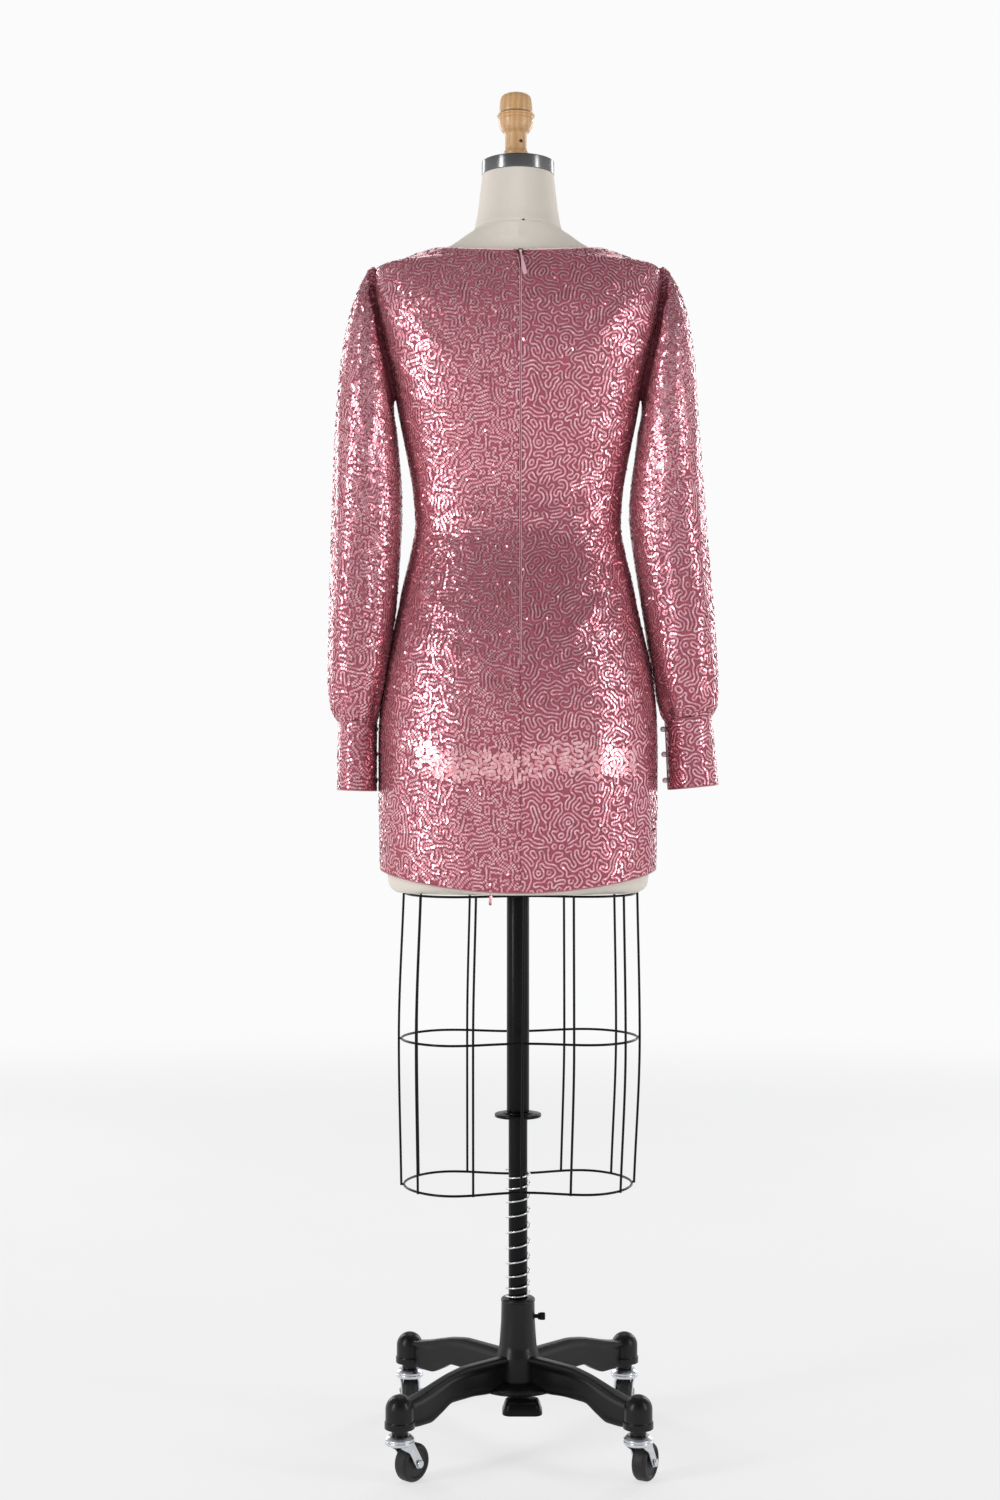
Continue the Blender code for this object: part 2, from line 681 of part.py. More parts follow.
def front_places():
    """The front panel's grid, from the wearer's left side across to the right."""

    def edge(height):
        return 90.0 + half_seam_turn(90.0, height)

    def row_at(height_of):
        row = []
        for c in range(FRONT_COLUMNS + 1):
            turn = lerp(edge(height_of(90.0)), 360 - edge(height_of(90.0)), c / FRONT_COLUMNS)
            row.append((turn, reach_at(height_of(turn))))
        return row

    places = [row_at(hem_height)]
    places += [row_at(lambda _turn, level=level: level) for level in ROW_HEIGHTS]
    top = []
    neck_columns = FRONT_COLUMNS - 2 * FRONT_SHOULDER_COLUMNS
    for c in range(FRONT_COLUMNS + 1):
        from_side = min(c, FRONT_COLUMNS - c)
        if from_side < FRONT_SHOULDER_COLUMNS:
            height = lerp(SHOULDER_TIP, NECK_SHOULDER, from_side / FRONT_SHOULDER_COLUMNS)
            turn = edge(height)
        else:
            share = (from_side - FRONT_SHOULDER_COLUMNS) / neck_columns
            turn = lerp(edge(NECK_SHOULDER), 360 - edge(NECK_SHOULDER), share)
            height = neckline_height(turn)
        top.append((turn if c == from_side else 360 - turn, reach_at(height)))
    start = [armhole_place(r, ARMHOLE_FRONT, edge(UNDERARM)) for r in range(ARMHOLE_ROWS + 1)]
    end = [(360 - turn, reach) for turn, reach in start]
    return places + blended_patch(places[-1], top, start, end)


# --- Sleeves ----------------------------------------------------------------
def soft_window(position, first, last):
    """1 in the middle of a stretch, falling smoothly to 0 at both ends."""
    if not first < position < last:
        return 0.0
    return math.sin(math.pi * (position - first) / (last - first)) ** 1.2


def angle_between(a, b):
    return (a - b + 180) % 360 - 180


def section_point(section, angle, side, lift=0.0):
    """A point of a sleeve's section. Angle 0 is its outer side and 90 its back."""
    inner = Vector((side * section.in_x, section.centre_y, FORM_BOTTOM + section.in_height))
    outer = Vector((side * section.out_x, section.centre_y, FORM_BOTTOM + section.out_height))
    half = (outer - inner) / 2
    across = math.cos(math.radians(angle))
    along = math.sin(math.radians(angle))
    scale = (abs(across) ** SLEEVE_SQUARE + abs(along) ** SLEEVE_SQUARE) ** (-1 / SLEEVE_SQUARE)
    spoke = half * across * scale + Vector((0, section.half_depth * along * scale, 0))
    return (inner + outer) / 2 + spoke + spoke.normalized() * lift


def sleeve_lift(index, height, angle):
    """How far folds and gathers raise the sleeve at a section and an angle."""
    lift = 0.0
    for fold in SLEEVE_FOLDS:
        reach = angle_between(angle, fold.angle) / fold.width
        lift += fold.lift * math.exp(-reach * reach) * soft_window(index, fold.first, fold.last)
    if height < GATHER_START:
        share = (GATHER_START - height) / (GATHER_START - SLEEVE_LEFT[-1].in_height)
        wave = math.cos(math.radians(GATHERS * angle))
        uneven = 1 + GATHER_UNEVEN * math.sin(math.radians(2 * angle + 50))
        lift += GATHER_DEPTH * share * wave * uneven
    return lift


def clear_of_skirt(point, side):
    """Moves a point that hangs beside the body out, so that it clears the cloth."""
    below = UNDERARM - (point.z - FORM_BOTTOM)
    if below < 0:
        return point
    clearance = SEAM + HIP_CLEARANCE * min(1.0, below / UNDERARM_OPENING)
    moved = point.copy()
    for _ in range(4):
        body = skin(*place_of(moved))
        limit = math.hypot(body.x, body.y) + clearance
        if math.hypot(moved.x, moved.y) >= limit:
            break
        moved.x = side * math.sqrt(max(limit * limit - moved.y * moved.y, 0.0))
    return moved


def armhole_loop(back_edge, front_edge):
    """The armhole's points, from the shoulder tip down the back and up the front."""
    down = [back_edge[-1].lerp(front_edge[-1], 0.5)] + back_edge[-2:0:-1]
    up = [back_edge[0].lerp(front_edge[0], 0.5)] + front_edge[1:-1]
    corners = down + up
    loop = []
    for here, after in zip(corners, corners[1:] + corners[:1]):
        loop += [here, here.lerp(after, 0.5)]
    return loop


def start_ring(loop, next_ring):
    """The sleeve's first ring beside the armhole, and the directions of its wall."""
    count = len(loop)
    centre = sum(loop, Vector()) / count
    axis = sum(next_ring, Vector()) / count
    ring = []
    normals = []
    for i, point in enumerate(loop):
        tangent = (loop[(i + 1) % count] - loop[i - 1]).normalized()
        out = skin_normal(*place_of(point))
        onward = out.cross(tangent).normalized()
        if onward.dot(point - centre) > 0:
            onward.negate()
        start = point + (onward + out) * SEAM
        normal = tangent.cross(next_ring[i] - start).normalized()
        if normal.dot(start - axis) < 0:
            normal.negate()
        ring.append(start)
        normals.append(normal)
    return ring, normals


def head_ring(start, side):
    """The ring just outside the armhole, where the gathered head stands out."""
    centre = sum(start, Vector()) / len(start)
    ring = []
    for i, point in enumerate(start):
        high = (1 + math.cos(2 * math.pi * i / len(start))) / 2
        apart = Vector((0, point.y - centre.y, point.z - centre.z)).normalized()
        out = Vector((side * lerp(HEAD_OUT_LOW, HEAD_OUT, high), 0, 0))
        ring.append(point + out + apart * HEAD_APART)
    return ring


def sleeve(name, side, sections, back_edge, front_edge):
    """A set-in sleeve from the armhole to the cuff's seam."""
    step = 360 / SLEEVE_COLUMNS
    outer = []
    for index, section in enumerate(sections, 1):
        last = index == len(sections)
        row = []
        for c in range(SLEEVE_COLUMNS):
            angle = c * step
            middle = (section.in_height + section.out_height) / 2
            lift = sleeve_lift(index, middle, angle)
            if last:
                lift = SEAM_GATHER * math.cos(math.radians(GATHERS * angle))
            row.append(clear_of_skirt(section_point(section, angle, side, lift), side))
        outer.append(row)
    for point in outer[-1]:
        point.z += SEAM / 2
    loop = armhole_loop(back_edge, front_edge)
    head = head_ring(loop, side)
    first, first_normals = start_ring(loop, head)
    outer = [first, head] + outer
    normals = grid_normals(outer, tube=True)
    normals[0] = first_normals
    inner = [
        [point - normal * CLOTH for point, normal in zip(row, line)]
        for row, line in zip(outer, normals)
    ]
    add_object(name, wall_mesh(name, outer, inner, tube=True), "sequin_cloth", sharp=60)


def between(upper, lower, share):
    return Section(*(lerp(a, b, share) for a, b in zip(upper, lower)))


def cuff(name, side, seam, hem, buttons, button_name):
    """A deep cuff below the sleeve, and its ball buttons."""
    step = 360 / SLEEVE_COLUMNS
    outer = []
    for r in range(CUFF_ROWS + 1):
        section = between(seam, hem, r / CUFF_ROWS)
        row = [section_point(section, c * step, side) for c in range(SLEEVE_COLUMNS)]
        outer.append([clear_of_skirt(point, side) for point in row])
    for point in outer[0]:
        point.z -= SEAM / 2
    inner = [
        [point - normal * CUFF_CLOTH for point, normal in zip(row, line)]
        for row, line in zip(outer, grid_normals(outer, tube=True))
    ]
    add_object(name, wall_mesh(name, outer, inner, tube=True), "sequin_cloth", sharp=60)
    for number, button in enumerate(buttons, 1):
        share = (seam.in_height - button.height) / (seam.in_height - hem.in_height)
        section = between(seam, hem, share)
        stand_off = BUTTON_RADIUS + SEAM
        place = section_point(section, button.angle, side, stand_off)
        bm = bmesh.new()
        bmesh.ops.create_icosphere(bm, subdivisions=2, radius=BUTTON_RADIUS)
        data = mesh_from(bm, f"{button_name}_{number}")
        obj = add_object(f"{button_name}_{number}", data, "pearl", sharp=60)
        obj.location = place


def dress():
    """All the cloth: front, backs, sleeves and cuffs."""
    front = panel("front", front_places())
    armhole_rows = range(len(front) - ARMHOLE_ROWS - 1, len(front))
    for side, hand, sections, hem, buttons in (
        (1, "left", SLEEVE_LEFT, CUFF_LEFT_HEM, BUTTONS_LEFT),
        (-1, "right", SLEEVE_RIGHT, CUFF_RIGHT_HEM, BUTTONS_RIGHT),
    ):
        back = panel(f"back_{hand}", back_places(side))
        back_edge = [back[r][-1] for r in armhole_rows]
        front_edge = [front[r][0 if side > 0 else -1] for r in armhole_rows]
        sleeve(f"sleeve_{hand}", side, sections, back_edge, front_edge)
        cuff(f"cuff_{hand}", side, sections[-1], hem, buttons, f"button_{hand}")


# --- Zip --------------------------------------------------------------------
def box(bm, low, high):
    """Adds a box between two corners."""
    size = Vector(high) - Vector(low)
    middle = (Vector(high) + Vector(low)) / 2
    matrix = Matrix.Translation(middle) @ Matrix.Diagonal((*size, 1.0))
    bmesh.ops.create_cube(bm, size=1.0, matrix=matrix)


def rod_along_x(bm, radius, low, high, sides=12, at=(0.0, 0.0)):
    """Adds a round bar along X between two x values, its axis at (y, z)."""
    matrix = Matrix.Translation(((low + high) / 2, *at)) @ Matrix.Rotation(math.pi / 2, 4, "Y")
    bmesh.ops.create_cone(
        bm, cap_ends=True, segments=sides, radius1=radius, radius2=radius,
        depth=high - low, matrix=matrix,
    )


def zip_coil():
    """The closed coil: a narrow strip in the centre-back gap."""
    heights = [level for level in ROW_HEIGHTS if level > ZIP_BOTTOM]
    rows = range(1, ARMHOLE_ROWS)
    upper = [lerp(UNDERARM, neckline_height(0.0), armhole_share(r)) for r in rows]
    heights += [height for height in upper if height < ZIP_TOP - 2 * MM]
    places = []
    for height in [ZIP_BOTTOM + 2 * MM] + heights + [ZIP_TOP]:
        reach = reach_at(height)
        middle = centre_back_turn(height)
        half = turn_for(COIL_HALF_WIDTH, middle, reach)
        places.append([(middle - half, reach), (middle + half, reach)])
    outer = [[skin(*place) for place in row] for row in places]
    inner = [[moved_in(*place, CLOTH) for place in row] for row in places]
    add_object("zip_coil", wall_mesh("zip_coil", outer, inner), "zip_coil", sharp=60)


def slider_frame():
    """The slider's place on the cloth: x across, y out of the cloth, z up the zip."""
    reach = reach_at(SLIDER_HEIGHT)
    turn = centre_back_turn(SLIDER_HEIGHT)
    out = skin_normal(turn, reach)
    across = Vector((1, 0, 0))
    out = (out - across * out.dot(across)).normalized()
    up = across.cross(out)
    frame = Matrix((across, out, up)).transposed().to_4x4()
    frame.translation = skin(turn, reach) + out * SLIDER_LIFT
    return frame


def zip_slider():
    """Slider plate, two ears and the pin that the pull hangs on."""
    half = SLIDER_SIZE / 2
    frame = slider_frame()
    bm = bmesh.new()
    box(bm, (-half.x, 0, -half.z), (half.x, SLIDER_SIZE.y, half.z))
    data = mesh_from(bm, "zip_slider")
    obj = add_object("zip_slider", data, "zip_metal")
    obj.matrix_world = frame
    ear_top = SLIDER_SIZE.y + PIN_LIFT + PIN_RADIUS + 0.6 * MM
    for number, side in enumerate((-1, 1)):
        ear = bmesh.new()
        low, high = sorted((side * EAR_INSIDE, side * EAR_OUTSIDE))
        box(ear, (low, 0.4 * MM, -1.4 * MM), (high, ear_top, 1.4 * MM))
        boolean(obj, "UNION", cutter(f"slider_ear_{number}", ear, frame))
    pin = bmesh.new()
    reach = EAR_OUTSIDE - 0.3 * MM
    rod_along_x(pin, PIN_RADIUS, -reach, reach, at=(SLIDER_SIZE.y + PIN_LIFT, 0.0))
    boolean(obj, "UNION", cutter("slider_pin", pin, frame))


def pull_axis():
    return slider_frame() @ Vector((0, SLIDER_SIZE.y + PIN_LIFT, 0))


def zip_pull():
    """The pull tab: an eye on the slider's pin, a narrow neck and a wider end."""
    axis = pull_axis()
    end_height = axis.z - FORM_BOTTOM - PULL_LENGTH * 0.93
    reach = reach_at(end_height)
    turn = centre_back_turn(end_height)
    end = skin(turn, reach) + skin_normal(turn, reach) * (PULL_TIP_LIFT + PULL_THICK / 2)
    down = Vector((0, end.y - axis.y, end.z - axis.z)).normalized()
    out = Vector((1, 0, 0)).cross(down)
    if out.y < 0:
        out.negate()
    across = out.cross(down)
    frame = Matrix((across, out, down)).transposed().to_4x4()
    frame.translation = axis
    half = PULL_THICK / 2
    right_side = (
        (PULL_NECK, 1.1 * MM), (PULL_NECK, 8.0 * MM), (PULL_END, 20.0 * MM),
        (PULL_END, PULL_LENGTH - 2.0 * MM), (PULL_END * 0.55, PULL_LENGTH),
    )
    outline = list(right_side) + [(-x, z) for x, z in reversed(right_side)]
    bm = bmesh.new()
    face = bm.faces.new([bm.verts.new((x + PULL_LEAN * z, -half, z)) for x, z in outline])
    made = bmesh.ops.extrude_face_region(bm, geom=[face])["geom"]
    verts = [item for item in made if isinstance(item, bmesh.types.BMVert)]
    bmesh.ops.translate(bm, verts=verts, vec=(0, PULL_THICK, 0))
    data = mesh_from(bm, "zip_pull")
    obj = add_object("zip_pull", data, "zip_pull")
    obj.matrix_world = frame
    eye = bmesh.new()
    rod_along_x(eye, EYE_RADIUS, -EYE_HALF_WIDTH, EYE_HALF_WIDTH)
    boolean(obj, "UNION", cutter("pull_eye", eye, frame))
    hole = bmesh.new()
    rod_along_x(hole, EYE_HOLE, -2 * EYE_HALF_WIDTH, 2 * EYE_HALF_WIDTH)
    boolean(obj, "DIFFERENCE", cutter("pull_hole", hole, frame))


# --- Turned pieces ----------------------------------------------------------
def turned_bmesh(profile, sides, closed=False):
    """Spins a profile of (radius, height) round Z. A closed profile makes a ring."""
    bm = bmesh.new()
    verts = [bm.verts.new((radius, 0, height)) for radius, height in profile]
    pairs = list(zip(verts, verts[1:])) + ([(verts[-1], verts[0])] if closed else [])
    edges = [bm.edges.new(pair) for pair in pairs]
    bmesh.ops.spin(
        bm, geom=verts + edges, axis=(0, 0, 1), cent=(0, 0, 0), angle=2 * math.pi,
        steps=sides, use_merge=True,
    )
    bmesh.ops.remove_doubles(bm, verts=bm.verts, dist=1e-6)
    return bm


def turned(name, profile, finish, sides=ROUND, closed=False, place=(0, 0, 0), sharp=35):
    """A turned piece with its height axis upright at a place."""
    bm = turned_bmesh(profile, sides, closed)
    obj = add_object(name, mesh_from(bm, name), finish, sharp=sharp)
    obj.location = place
    return obj


def ring_profile(inner, outer, low, high):
    return ((inner, low), (outer, low), (outer, high), (inner, high))


def disc_profile(radius, low, high):
    return ((0.0, high), (radius, high), (radius, low), (0.0, low))


# --- Dress form -------------------------------------------------------------
FormInset = namedtuple("FormInset", "height inset")
FORM_INSETS = (
    # how far the form lies inside the garment's outer face
    FormInset(0.000, 0.0190),
    FormInset(0.003, 0.0135),
    FormInset(0.010, 0.0095),
    FormInset(0.028, 0.0078),
    FormInset(0.073, 0.0055),
    FormInset(0.123, 0.0036),
    FormInset(0.173, 0.0025),
    FormInset(0.542, 0.0025),
    FormInset(0.595, 0.0028),
    FormInset(0.640, 0.0060),
    FormInset(0.755, 0.0090),
    FormInset(0.775, 0.0055),
    FormInset(0.785, 0.0025),
    FormInset(0.799, 0.0000),
    FormInset(0.867, 0.0000),
)
FORM_HEIGHTS = (
    (0.0, 0.003, 0.010, 0.028, 0.130) + ROW_HEIGHTS[3:]
    + (0.630, 0.670, 0.708, 0.735, 0.752, 0.764, 0.775, 0.785, 0.792, 0.799, 0.814, FORM_TOP)
)


def form_torso():
    """The padded linen torso with its neck: smooth, whole and closed below."""
    inset = smooth_curve(
        [row.height for row in FORM_INSETS], [row.inset for row in FORM_INSETS]
    )
    rows = []
    for height in FORM_HEIGHTS:
        reach = reach_at(height)
        row = []
        for c in range(round(360 / COLUMN_STEP)):
            point = moved_in(c * COLUMN_STEP, reach, inset(height))
            if height < HEM_SIDE:
                point.z = FORM_BOTTOM + height
            row.append(point)
        rows.append(row)
    bm = bmesh.new()
    verts = [[bm.verts.new(point) for point in row] for row in rows]
    for corners in grid_triangles(rows, tube=True):
        bm.faces.new([verts[r][c] for r, c in corners])
    bm.faces.new(verts[0])
    bm.faces.new(verts[-1])
    add_object("form_torso", mesh_from(bm, "form_torso"), "linen", sharp=50)


def form_top():
    """The metal neck band and the turned finial on it."""
    band_bottom = FORM_BOTTOM + FORM_TOP + SEAM
    band_top = band_bottom + BAND_HEIGHT
    turned("neck_band", disc_profile(BAND_RADIUS, band_bottom, band_top), "polished_steel", 28)
    profile = [(point.radius, band_top + point.height) for point in FINIAL_PROFILE]
    turned("finial", profile, "turned_wood", 12, place=(FINIAL_X, 0, 0))


# --- Wire skirt cage --------------------------------------------------------
def cage_point(hoop, angle, outward=0.0):
    """A point of a hoop's two-lobed outline. Angle 0 is the back and 90 the left side."""
    across = math.sin(math.radians(angle))
    along = math.cos(math.radians(angle))
    waisted = CAGE_LOBE * along * (1 - CAGE_PINCH * along**6)
    point = Vector((hoop.half_width * across, waisted, 0))
    if outward:
        ahead = cage_point(hoop, angle + 1) - cage_point(hoop, angle - 1)
        ahead = Matrix.Rotation(-CAGE_TURN, 3, "Z") @ ahead
        out = Vector((-ahead.y, ahead.x, 0)).normalized()
        if out.dot(point) < 0:
            out.negate()
        point += out * outward
    point = Matrix.Rotation(CAGE_TURN, 3, "Z") @ point
    return point + Vector((hoop.shift, 0, hoop.height))


def wire_object(name, points, radius, finish, cyclic=False, rounding=1):
    """A round wire along points, with filled ends where it is open."""
    curve = bpy.data.curves.new(name, "CURVE")
    curve.dimensions = "3D"
    curve.bevel_depth = radius
    curve.bevel_resolution = rounding
    curve.use_fill_caps = not cyclic
    spline = curve.splines.new("POLY")
    spline.points.add(len(points) - 1)
    for place, point in zip(spline.points, points):
        place.co = (*point, 1.0)
    spline.use_cyclic_u = cyclic
    obj = bpy.data.objects.new(name, curve)
    bpy.context.scene.collection.objects.link(obj)
    curve.materials.append(finish_material(finish))
    return obj


def cage():
    """Three hoops and the upright wires that run outside them."""
    for number, hoop in enumerate(HOOPS, 1):
        step = 360 / HOOP_POINTS
        points = [cage_point(hoop, c * step) for c in range(HOOP_POINTS)]
        wire_object(f"cage_hoop_{number}", points, WIRE_RADIUS, "black_enamel", cyclic=True, rounding=0)
    outward = 2 * WIRE_RADIUS + CAGE_GAP
    for number, angle in enumerate(WIRE_ANGLES, 1):
        points = [cage_point(hoop, angle, outward) for hoop in HOOPS]
        points[0].z += 0.5 * MM
        points[-1].z -= 1.0 * MM
        wire_object(f"cage_wire_{number:02d}", points, WIRE_RADIUS, "black_enamel")


# --- Pole, spring and hub ---------------------------------------------------
def pole():
    """The sliding upper tube with its flange, the fixed rod and its spring."""
    tube_top = FORM_BOTTOM - SEAM
    bore_top = tube_top - TUBE_CROWN
    profile = (
        (0.0, tube_top), (TUBE_RADIUS, tube_top), (TUBE_RADIUS, TUBE_BOTTOM),
        (TUBE_BORE, TUBE_BOTTOM), (TUBE_BORE, bore_top), (0.0, bore_top),
    )
    turned("upper_tube", profile, "black_enamel")
    flange_top = TUBE_BOTTOM - SEAM
    profile = ring_profile(
        ROD_RADIUS + ROD_RUN, FLANGE_RADIUS, flange_top - FLANGE_HEIGHT, flange_top
    )
    turned("tube_flange", profile, "black_enamel", closed=True)
    turned("rod", disc_profile(ROD_RADIUS, SOCKET_BOTTOM + SEAM, ROD_TOP), "black_enamel")
    low = HUB_TOP + SPRING_WIRE + SEAM
    high = SPRING_TOP - SPRING_WIRE
    count = round(SPRING_TURNS * SPRING_STEPS)
    points = []
    for i in range(count + 1):
        share = i / count
        angle = 2 * math.pi * SPRING_TURNS * share
        # The first and last turns lie close, as on a ground spring.
        climb = lerp(share, smooth_end_turns(share), 0.5)
        points.append(
            (SPRING_RADIUS * math.cos(angle), SPRING_RADIUS * math.sin(angle), lerp(low, high, climb))
        )
    wire_object("spring", points, SPRING_WIRE, "zinc", rounding=0)


def smooth_end_turns(share):
    return share * share * (3 - 2 * share)


# --- Base casting -----------------------------------------------------------
def leg_bmesh(heading):
    """One curved leg: a waisted section swept out from the hub to its cap."""
    bm = bmesh.new()
    rows = []
    out = Vector((math.cos(heading), math.sin(heading), 0))
    across = Vector((-out.y, out.x, 0))
    for leg in LEG_SECTIONS:
        wide = leg.half_width
        web = wide * LEG_WEB
        deep = leg.top - leg.bottom
        outline = (
            (wide * 0.7, leg.top), (wide, leg.top - 0.12 * deep), (web, leg.top - 0.30 * deep),
            (web * 0.9, leg.bottom),
        )
        points = list(outline) + [(-x, z) for x, z in reversed(outline)]
        rows.append([bm.verts.new(out * leg.reach + across * x + Vector((0, 0, z))) for x, z in points])
    count = len(rows[0])
    for near, far in zip(rows, rows[1:]):
        for c in range(count):
            n = (c + 1) % count
            bm.faces.new((near[c], near[n], far[n], far[c]))
    bm.faces.new(rows[0])
    bm.faces.new(rows[-1])
    bmesh.ops.recalc_face_normals(bm, faces=bm.faces)
    return bm


def cap_profile():
    """The domed cap over a caster's stem, and the stem's neck below it."""
    dome = [
        (CAP_RADIUS * math.cos(a), CAP_SHOULDER + CAP_RADIUS * math.sin(a))
        for a in (math.radians(55), math.radians(22))
    ]
    return (
        [(0.0, CAP_SHOULDER + CAP_RADIUS)] + dome
        + [(CAP_RADIUS, CAP_BOTTOM)]
        + [(NECK_RADIUS, CAP_BOTTOM), (NECK_RADIUS, NECK_BOTTOM), (0.0, NECK_BOTTOM)]
    )


def base_casting():
    """Hub with its socket, four legs with caps, and the lugs that hold the pedal."""
    obj = turned("base_casting", [(p.radius, p.height) for p in HUB_PROFILE], "cast_iron", 16)
    for number, caster in enumerate(CASTERS, 1):
        heading = math.atan2(caster.side_y, caster.side_x)
        boolean(obj, "UNION", cutter(f"leg_{number}", leg_bmesh(heading)))
        place = Matrix.Translation((caster.side_x * STEM_SPREAD, caster.side_y * STEM_SPREAD, 0))
        boolean(obj, "UNION", cutter(f"cap_{number}", turned_bmesh(cap_profile(), 12), place))
    for number, side in enumerate((-1, 1)):
        lug = bmesh.new()
        low, high = sorted((side * LUG_INSIDE, side * LUG_OUTSIDE))
        box(
            lug, (low, -LUG_REACH, PEDAL_PIN_HEIGHT - 4.5 * MM),
            (high, LUG_REACH, HUB_PROFILE[-1].height + 2 * MM),
        )
        boolean(obj, "UNION", cutter(f"pedal_lug_{number}", lug))
    socket = turned_bmesh(disc_profile(ROD_RADIUS + ROD_RUN, SOCKET_BOTTOM, HUB_TOP + 5 * MM), ROUND)
    boolean(obj, "DIFFERENCE", cutter("rod_socket", socket))
    screw_hole = bmesh.new()
    rod_along_x(screw_hole, SCREW_RADIUS + SEAM, -40 * MM, -8 * MM, at=(0.0, SCREW_HEIGHT))
    boolean(obj, "DIFFERENCE", cutter("screw_hole", screw_hole))
    pin_hole = bmesh.new()
    rod_along_x(
        pin_hole, PEDAL_PIN_RADIUS + SEAM + 0.1 * MM, -20 * MM, 20 * MM, at=(0.0, PEDAL_PIN_HEIGHT)
    )
    boolean(obj, "DIFFERENCE", cutter("pedal_pin_hole", pin_hole))


def set_screw():
    """The hub's clamping screw with a flat wing head, on its own axis."""
    bm = bmesh.new()
    rod_along_x(bm, SCREW_RADIUS, SCREW_NECK_X - 1.0 * MM, SCREW_TIP_X)
    obj = add_object("set_screw", mesh_from(bm, "set_screw"), "black_enamel", sharp=35)
    obj.location = (0, 0, SCREW_HEIGHT)
    wing = bmesh.new()
    box(
        wing, (SCREW_END_X, -WING_HALF_THICK, SCREW_HEIGHT - WING_HALF_HEIGHT),
        (SCREW_NECK_X, WING_HALF_THICK, SCREW_HEIGHT + WING_HALF_HEIGHT),
    )
    boolean(obj, "UNION", cutter("screw_wing", wing))


def rounded_slab(half_width, half_depth, corner, rows):
    """A slab with round corners through rows of (inset, height), bottom to top."""
    bm = bmesh.new()
    loops = []
    for inset, height in rows:
        loop = []
        for quarter in range(4):
            for part in (0, 45, 90):
                a = math.radians(90 * quarter + part)
                turn = math.radians(90 * quarter + 45)
                sign_x = 1 if math.cos(turn) > 0 else -1
                sign_y = 1 if math.sin(turn) > 0 else -1
                x = sign_x * (half_width - corner) + (corner - inset) * math.cos(a)
                y = sign_y * (half_depth - corner) + (corner - inset) * math.sin(a)
                loop.append(bm.verts.new((x, y, height)))
        loops.append(loop)
    for low, high in zip(loops, loops[1:]):
        for c in range(len(low)):
            n = (c + 1) % len(low)
            bm.faces.new((low[c], low[n], high[n], high[c]))
    bm.faces.new(loops[0])
    bm.faces.new(loops[-1])
    bmesh.ops.recalc_face_normals(bm, faces=bm.faces)
    return bm


def pedal():
    """The foot pad, its lever and the pin that it tilts on."""
    rows = ((1.0 * MM, PAD_BOTTOM), (0.0, PAD_BOTTOM + 2 * MM), (PAD_TOP_INSET, PAD_TOP - 2 * MM),
            (PAD_TOP_INSET + 2 * MM, PAD_TOP))
    pad = rounded_slab(PAD_HALF_WIDTH, PAD_HALF_DEPTH, 10 * MM, rows)
    pivot = Vector((0, 0, PEDAL_PIN_HEIGHT))
    bmesh.ops.translate(pad, verts=pad.verts, vec=PAD_CENTRE - pivot)
    obj = add_object("pedal", mesh_from(pad, "pedal"), "black_enamel", sharp=35)
    obj.location = pivot
    lever = bmesh.new()
    box(
        lever, (-LEVER_HALF_WIDTH, -5 * MM, LEVER_BOTTOM),
        (LEVER_HALF_WIDTH, PAD_CENTRE.y - 12 * MM, LEVER_TOP),
    )
    boolean(obj, "UNION", cutter("pedal_lever", lever))
    pin = bmesh.new()
    rod_along_x(
        pin, PEDAL_PIN_RADIUS, -LUG_OUTSIDE - MM, LUG_OUTSIDE + MM, at=(0.0, PEDAL_PIN_HEIGHT)
    )
    boolean(obj, "UNION", cutter("pedal_pin", pin))


# --- Casters ----------------------------------------------------------------
def caster_frame(caster):
    """The caster's frame: origin on the floor under its stem, -Y is the way it trails."""
    frame = Matrix.Rotation(math.radians(caster.heading + 90), 4, "Z")
    frame.translation = (caster.side_x * STEM_SPREAD, caster.side_y * STEM_SPREAD, 0)
    return frame


def fork_plate(bm, low, high):
    """One fork plate in the caster's frame, between two x values."""
    back = -TRAIL
    outline = (
        (11.0 * MM, RACE_BOTTOM + 1.5 * MM), (8.0 * MM, RACE_BOTTOM - 2.0 * MM),
        (-5.0 * MM, 0.0375), (-14.5 * MM, WHEEL_AXLE_HEIGHT - 1 * MM),
        (back + 3.5 * MM, WHEEL_AXLE_HEIGHT - 5.0 * MM),
        (back - 2.5 * MM, WHEEL_AXLE_HEIGHT - 5.4 * MM),
        (back - 6.0 * MM, WHEEL_AXLE_HEIGHT - 1.0 * MM), (back - 5.0 * MM, WHEEL_AXLE_HEIGHT + 4 * MM),
        (-11.5 * MM, RACE_BOTTOM + 1.5 * MM),
    )
    face = bm.faces.new([bm.verts.new((low, y, z)) for y, z in outline])
    made = bmesh.ops.extrude_face_region(bm, geom=[face])["geom"]
    verts = [item for item in made if isinstance(item, bmesh.types.BMVert)]
    bmesh.ops.translate(bm, verts=verts, vec=(high - low, 0, 0))
    bmesh.ops.recalc_face_normals(bm, faces=bm.faces)


